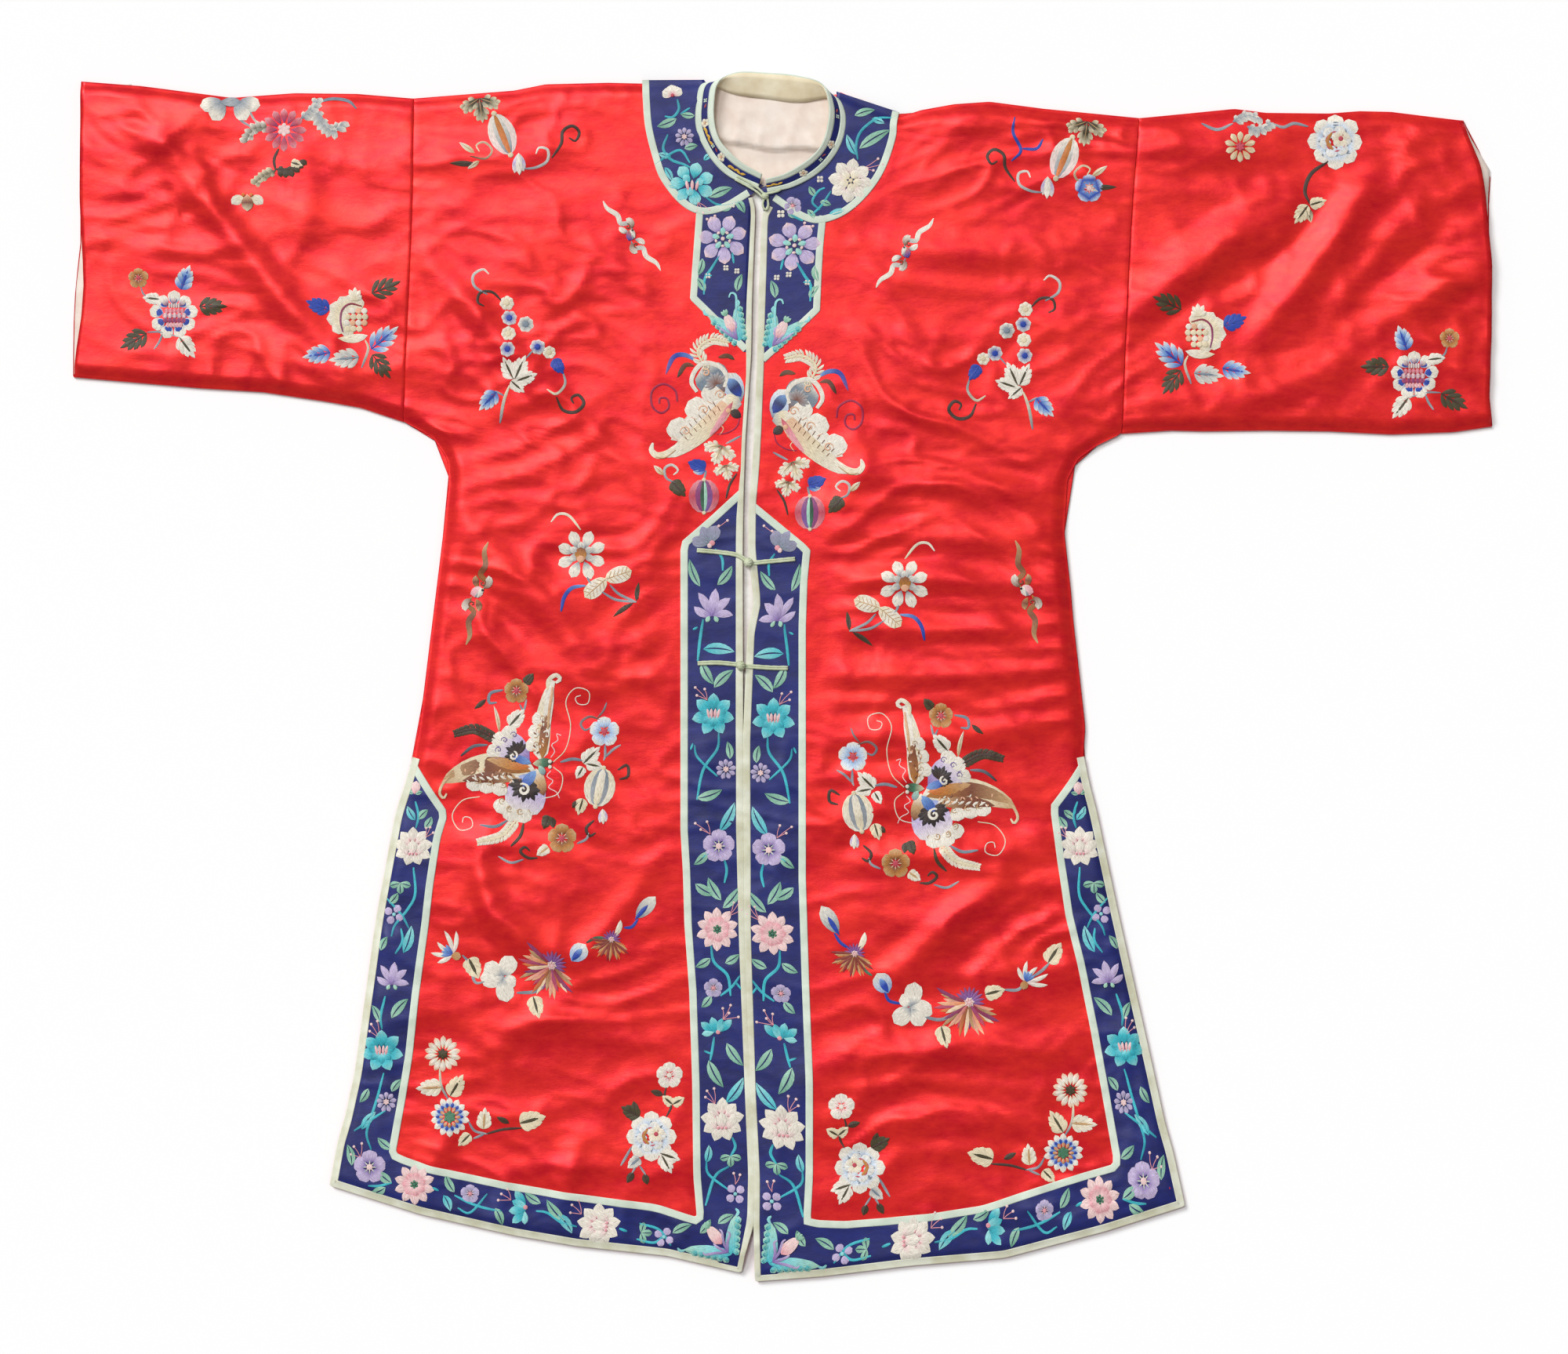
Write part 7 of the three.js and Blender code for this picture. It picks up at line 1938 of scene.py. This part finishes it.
# Groups on the red ground: where the drawing's middle lies on the left and the right half
# (None where a half has no such group; a right place turns the left drawing over), then
#   leaves: foot, point, width, kind, and for narrow ones the bend
#   stems: width, dyes, plan points
#   fronds and sprays: plan points, dyes, reach
#   ribbed leaves: foot, point, width
#   flowers: kind, plan point, turn, size.
GROUPS = {
    "sleeve_blossom": {
        "at": ((222, 400), (1803, 477)),
        "leaves": [
            (231, 370, 242, 341, 14, "blue"), (254, 391, 288, 391, 12, "dark"),
            (188, 425, 156, 443, 12, "dark"), (229, 430, 248, 455, 13, "white"),
            (204, 382, 184, 380, 11, "white")],
        "stems": [
            (2.6, "slate", 180, 366, 184, 376, 198, 388),
            (3, "slate", 208, 426, 204, 436, 197, 446),
            (2.6, "slate", 188, 424, 206, 424, 228, 430)],
        "flowers": [("ochre", 177, 355, 0, 0.75), ("sleeve_lotus", 222, 402, 0, 1)]},
    "pomegranate": {
        "at": ((447, 405), (1534, 425)),
        "leaves": [
            (421, 396, 393, 385, 12, "navy"), (474, 375, 509, 360, 11, "dark"),
            (473, 446, 506, 419, 13, "blue"), (475, 452, 497, 481, 11, "dark"),
            (423, 450, 389, 456, 12, "blue"), (459, 456, 423, 460, 13, "slate")],
        "stems": [(3.4, "cream slate", 466, 434, 470, 446, 462, 470)],
        "flowers": [("pomegranate", 447, 405, 0, 1)]},
    "shoulder_melon": {
        "at": ((640, 168), (1358, 198)),
        "leaves": [
            (608, 210, 574, 209, 7, "dark", 0), (606, 196, 586, 182, 7, "cream", 0),
            (612, 206, 597, 216, 6, "cream", 0)],
        "stems": [
            (3, "brown cream", 600, 200, 620, 203, 628, 192, 618, 182, 608, 186, 612, 194),
            (3.6, "slate ivory", 668, 216, 684, 214, 698, 206, 699, 192, 688, 189, 684, 197),
            (4.2, "dark_stem", 704, 202, 716, 184, 718, 168, 730, 161, 739, 169, 734, 180, 726,
             176)],
        "flowers": [
            ("maple", 612, 133, 176, 0.95), ("long_melon", 641, 172, -22, 0.95),
            ("hanging_bud", 662, 208, 0, 1)]},
    "bat_high": {"at": ((805, 300), (1155, 322)), "flowers": [("white_bat", 806, 301, -38, 0.8)]},
    "bat_low": {"at": ((610, 755), (1308, 753)), "flowers": [("ochre_bat", 609, 757, 14, 0.93)]},
    "bead_spray": {
        "at": ((655, 440), (1300, 448)),
        "leaves": [
            (655, 484, 643, 458, 12, "white"), (657, 484, 670, 456, 13, "white"),
            (660, 486, 684, 478, 12, "white"), (652, 486, 668, 500, 10, "white"),
            (634, 500, 613, 522, 12, "blue"), (706, 458, 718, 476, 11, "navy")],
        "stems": [
            (3.6, "slate ivory", 622, 376, 606, 366, 604, 352, 616, 344, 624, 350),
            (3.6, "dark_stem", 640, 384, 628, 373, 613, 374, 610, 386, 618, 391),
            (4, "cream slate", 650, 492, 643, 512, 638, 540), (2.6, "slate", 643, 505, 632, 499),
            (3.4, "slate cream", 718, 474, 721, 490, 710, 503, 698, 497),
            (4.4, "dark_stem", 710, 507, 718, 523, 734, 526, 745, 515, 738, 504, 729, 508, 732,
                515),
            (2.4, "slate", 671, 458, 684, 446, 702, 450)],
        "flowers": [
            ("cream_bead", 647, 387, 0, 1), ("blue_bead", 650, 406, 180, 1),
            ("grey_bead", 671, 414, 60, 1.05), ("cream_bead", 649, 426, 0, 1),
            ("blue_bead", 648, 446, 180, 1), ("blue_bead", 686, 443, 60, 1),
            ("cream_bead", 701, 450, 0, 0.9)]},
    "reeds": {
        "at": ((742, 705), (1153, 742)),
        "leaves": [(812, 767, 815, 743, 6, "dark", 6), (808, 769, 782, 787, 6, "dark", -6)],
        "stems": [
            (3.4, "ivory cream", 703, 666, 712, 656, 726, 658, 741, 676),
            (3, "slate", 748, 728, 751, 740, 756, 746),
            (3.4, "slate", 778, 746, 790, 758, 812, 768),
            (3.4, "slate", 768, 755, 786, 765, 812, 768),
            (5, "sky blue blue", 747, 747, 730, 750, 720, 762, 716, 780)],
        "ribbed": [(772, 739, 806, 728, 21), (774, 738, 746, 762, 21)],
        "flowers": [("reed_lotus", 742, 708, 0, 1)]},
    "half": {
        "at": ((948, 520), (983, 541)),
        "leaves": [
            (900, 598, 879, 590, 15, "navy"), (900, 600, 884, 602, 9, "blue", 8),
            (857, 614, 873, 632, 14, "dark"), (847, 606, 834, 594, 7, "cream", 0)],
        "stems": [
            (3, "slate", 945, 556, 934, 562, 926, 566),
            (3.4, "slate ivory", 862, 616, 850, 610, 848, 598, 857, 593, 865, 600, 859, 606),
            (3.2, "dark_stem", 940, 604, 931, 618, 926, 636), (3, "slate", 901, 600, 898, 612)],
        "flowers": [
            ("half_butterfly", 0, 0, 0, 1), ("ivory_leaf", 918, 574, 205, 0.8),
            ("ivory_leaf", 926, 598, 172, 0.62), ("pink_melon", 898, 633, 0, 1.05)]},
    "garden": {
        "at": ((665, 990), (1194, 1022)),
        "leaves": [
            (670, 872, 680, 860, 10, "dark"), (620, 892, 605, 904, 6, "dark", 6),
            (650, 926, 668, 906, 14, "white"), (637, 934, 630, 900, 5, "cream", -10),
            (744, 974, 764, 954, 13, "white"), (748, 974, 768, 978, 12, "white"),
            (744, 978, 736, 992, 11, "white"), (744, 1018, 738, 1038, 10, "olive"),
            (738, 1022, 730, 1030, 8, "dark", 0), (700, 1040, 694, 1056, 11, "dark"),
            (704, 1042, 706, 1056, 9, "dark", 0), (700, 1080, 686, 1090, 12, "cream")],
        "stems": [
            (4, "slate slate", 642, 880, 626, 884, 624, 896, 634, 896),
            (3, "slate", 663, 898, 668, 906, 672, 892),
            (4, "slate ink", 622, 950, 604, 952, 588, 964),
            (4, "slate slate", 715, 972, 730, 968, 744, 970),
            (3.2, "brown slate", 766, 918, 752, 914, 741, 922, 746, 931, 754, 928),
            (2.6, "brown slate", 762, 916, 770, 906, 774, 896),
            (3.2, "slate", 772, 950, 772, 964, 770, 970),
            (3.2, "slate", 772, 966, 782, 956, 792, 950),
            (4, "dark_stem", 788, 982, 800, 976, 801, 990, 790, 994),
            (4, "dark_stem", 758, 1046, 748, 1056, 752, 1066, 760, 1062),
            (3.2, "slate", 736, 1076, 748, 1070, 751, 1062),
            (4, "dark_stem", 686, 1094, 674, 1094, 664, 1086, 670, 1080, 676, 1085),
            (3.2, "slate", 668, 1096, 652, 1100, 636, 1092),
            (4.4, "olive bark", 668, 1050, 664, 1066, 652, 1079),
            (4, "slate slate", 648, 1046, 632, 1054, 612, 1052)],
        "fronds": [
            ([(632, 942), (606, 930), (579, 936)], "bark olive", 8),
            ([(659, 1046), (640, 1066), (609, 1074)], "cream ivory", 8)],
        "flowers": [
            ("ochre", 659, 881, 0, 0.95), ("frost", 771, 933, 0, 1),
            ("ivory_melon", 765, 1004, 12, 1), ("hanging_bud", 769, 1040, 0, 0.7),
            ("ochre", 717, 1069, 0, 1.1), ("butterfly", 0, 0, 0, 1)]},
    "daisies": {
        "at": ((568, 1390), (1362, 1436)),
        "leaves": [
            (564, 1386, 533, 1388, 14, "cream"), (574, 1398, 590, 1372, 14, "olive"),
            (617, 1440, 619, 1414, 12, "cream"), (600, 1446, 586, 1460, 11, "olive"),
            (663, 1432, 694, 1424, 20, "olive"), (650, 1432, 634, 1424, 7, "dark", 0)],
        "stems": [
            (3.4, "cream slate", 561, 1362, 563, 1384, 572, 1402),
            (3.2, "slate", 598, 1430, 606, 1442, 622, 1446),
            (3.4, "dark_stem", 620, 1446, 642, 1440, 666, 1438),
            (3, "slate", 618, 1446, 604, 1452)],
        "flowers": [("cream_daisy", 565, 1344, 0, 1), ("blue_daisy", 574, 1424, 0, 1)]},
    "peonies": {
        "at": ((835, 1440), (1092, 1480)),
        "leaves": [
            (846, 1396, 830, 1391, 8, "dark", 0), (858, 1408, 872, 1400, 12, "olive"),
            (858, 1408, 846, 1398, 12, "olive"), (816, 1424, 794, 1412, 13, "dark"),
            (812, 1420, 808, 1404, 9, "dark", 0), (842, 1470, 866, 1478, 14, "white"),
            (844, 1472, 856, 1494, 12, "white"), (816, 1476, 802, 1488, 13, "slate"),
            (808, 1494, 800, 1508, 9, "dark", 0), (822, 1496, 826, 1510, 9, "dark", 0)],
        "stems": [
            (3.2, "dark_stem", 850, 1386, 848, 1398, 856, 1410, 850, 1424),
            (3.4, "slate", 806, 1462, 798, 1476, 792, 1486), (2.6, "slate", 812, 1486, 806, 1496),
            (2.6, "slate", 816, 1486, 824, 1498)],
        "flowers": [("white_bud", 854, 1371, 0, 1), ("grey_peony", 831, 1449, 0, 1)]},
    "garland_left": {
        "at": ((0, 0), None),
        "leaves": [(598, 1222, 610, 1246, 20, "olive"), (680, 1270, 688, 1296, 14, "olive")],
        "stems": [
            (4, "slate", 590, 1218, 600, 1230, 606, 1252, 618, 1252),
            (4.4, "slate", 659, 1266, 684, 1264, 700, 1250),
            (4, "bark green", 748, 1202, 760, 1196, 774, 1196),
            (4, "navy_stem", 796, 1183, 806, 1182, 814, 1172)],
        "flowers": [
            ("spiky", 578, 1217, 0, 0.95), ("lobes", 641, 1246, 0, 0.95), ("mum", 704, 1231, 0, 1),
            ("blue_bud", 738, 1215, 40, 0.9), ("brown_mum", 780, 1198, 0, 1),
            ("long_bud", 823, 1158, 42, 0.9)]},
    "garland_right": {
        "at": (None, (0, 0)),
        "leaves": [
            (1200, 1308, 1207, 1334, 14, "olive"), (1256, 1268, 1280, 1262, 16, "olive"),
            (1336, 1228, 1352, 1204, 18, "olive")],
        "stems": [
            (4, "navy_stem", 1064, 1190, 1072, 1202, 1084, 1210),
            (4, "bark green", 1094, 1226, 1104, 1238, 1112, 1244),
            (4, "navy_stem", 1128, 1264, 1134, 1276, 1150, 1280),
            (4.4, "slate", 1176, 1296, 1200, 1300, 1220, 1290),
            (4, "slate", 1280, 1262, 1298, 1262, 1308, 1252),
            (4, "slate", 1316, 1246, 1328, 1238, 1338, 1228)],
        "flowers": [
            ("long_bud", 1059, 1174, -32, 1), ("brown_mum", 1090, 1216, 0, 1.1),
            ("blue_bud", 1126, 1254, -30, 0.95), ("lobes", 1162, 1284, 200, 0.95),
            ("mum", 1236, 1278, -20, 1.05), ("spiky", 1308, 1252, 90, 0.9)]},
    "sleeve_top_left": {
        "at": ((0, 0), None), "leaves": [(372, 208, 386, 212, 10, "olive")],
        "stems": [
            (3.4, "slate", 301, 142, 308, 154, 322, 163),
            (3, "slate ivory", 318, 140, 324, 152, 332, 160),
            (4, "dark_stem", 356, 190, 350, 204, 352, 218),
            (4.4, "slate slate", 404, 131, 424, 126, 444, 129, 455, 139)],
        "sprays": [
            ([(344, 164), (326, 166), (316, 180)], "olive ivory", 10),
            ([(384, 152), (398, 140), (404, 126)], "slate ivory", 10),
            ([(404, 140), (412, 156), (426, 166), (436, 156)], "slate ivory", 12),
            ([(352, 216), (370, 218), (384, 206)], "bark olive", 9),
            ([(352, 218), (338, 226), (326, 236)], "olive cream", 9)],
        "flowers": [
            ("half_flower", 293, 126, 0, 1.05), ("star", 363, 166, 0, 1),
            ("acorn_bud", 316, 258, 0, 1)]},
    "sleeve_top_right": {
        "at": (None, (0, 0)),
        "leaves": [
            (1668, 262, 1652, 284, 11, "olive"), (1670, 262, 1690, 256, 10, "olive"),
            (1668, 266, 1672, 284, 9, "olive", 0)],
        "stems": [
            (5, "dark_stem", 1694, 206, 1672, 222, 1664, 244, 1670, 260),
            (4, "slate", 1668, 162, 1650, 158, 1636, 163, 1622, 158),
            (4, "slate", 1532, 158, 1552, 166, 1572, 158)],
        "sprays": [
            ([(1572, 156), (1590, 146), (1606, 150)], "slate ivory", 10),
            ([(1590, 162), (1604, 166), (1618, 158)], "slate ivory", 10)],
        "flowers": [("pale_star", 1581, 188, 0, 1), ("grey_peony", 1703, 181, 0, 1.08)]},
    "shoulder_right": {
        "at": (None, (0, 0)),
        "stems": [
            (4, "navy_stem", 1294, 150, 1292, 170, 1302, 192, 1290, 206),
            (4, "navy_stem", 1304, 190, 1322, 190, 1330, 178)],
        "flowers": [("azure", 1389, 241, 0, 1)]}}
STEM_DYES = {"dark_stem": "bark bark", "navy_stem": "blue blue",
             "slate": "slate grey"}


def draw_group(p, group):
    for width, dyes, *points in group.get("stems", []):
        p.stem(as_points(points), width, STEM_DYES.get(dyes, dyes), 0.6)
    for points, dyes, reach in group.get("fronds", []):
        frond(p, points, dyes, reach, 18)
    for points, dyes, reach in group.get("sprays", []):
        acanthus(p, points, dyes, reach)
    for fx, fy, tx, ty, width, dyes, *bend in group.get("leaves", []):
        if width < 10:
            leaf_between(p, fx, fy, tx, ty, width, LEAVES[dyes], *bend)
        else:
            cut_leaf(p, fx, fy, tx, ty, width, LEAVES[dyes])
    for row in group.get("ribbed", []):
        ribbed(p, *row)
    for kind, x, y, turn, size in group["flowers"]:
        KINDS[kind](p.at(x, y, turn, size))


def ground_work(side):
    """All the work on one side's red satin, as body and sleeve pieces."""
    for piece, sleeved in (("body", False), ("sleeve", True)):
        cloth = Stitches(0.0)
        for key, group in GROUPS.items():
            if (key.startswith("sleeve") or key == "pomegranate") != sleeved:
                continue
            left, right = group["at"]
            if side == "left" and left:
                draw_group(Pen(cloth, 0, 0), group)
            elif side == "right" and right and left:
                draw_group(Pen(cloth, right[0] + left[0], right[1] - left[1], 0, 1, -1), group)
            elif side == "right" and right:
                draw_group(Pen(cloth, 0, 0), group)
        cloth.finish(f"{side}_{piece}_embroidery")


def build():
    stage()
    for side in HALVES:
        for make in (body_half, sleeve, add_trims, cuff_lining, band_work, yoke_work, ground_work):
            make(side)
    for make in (add_collar, collar_work, add_linings, add_buttons):
        make()


build()
declare_cloth()
bpy.context.view_layer.update()
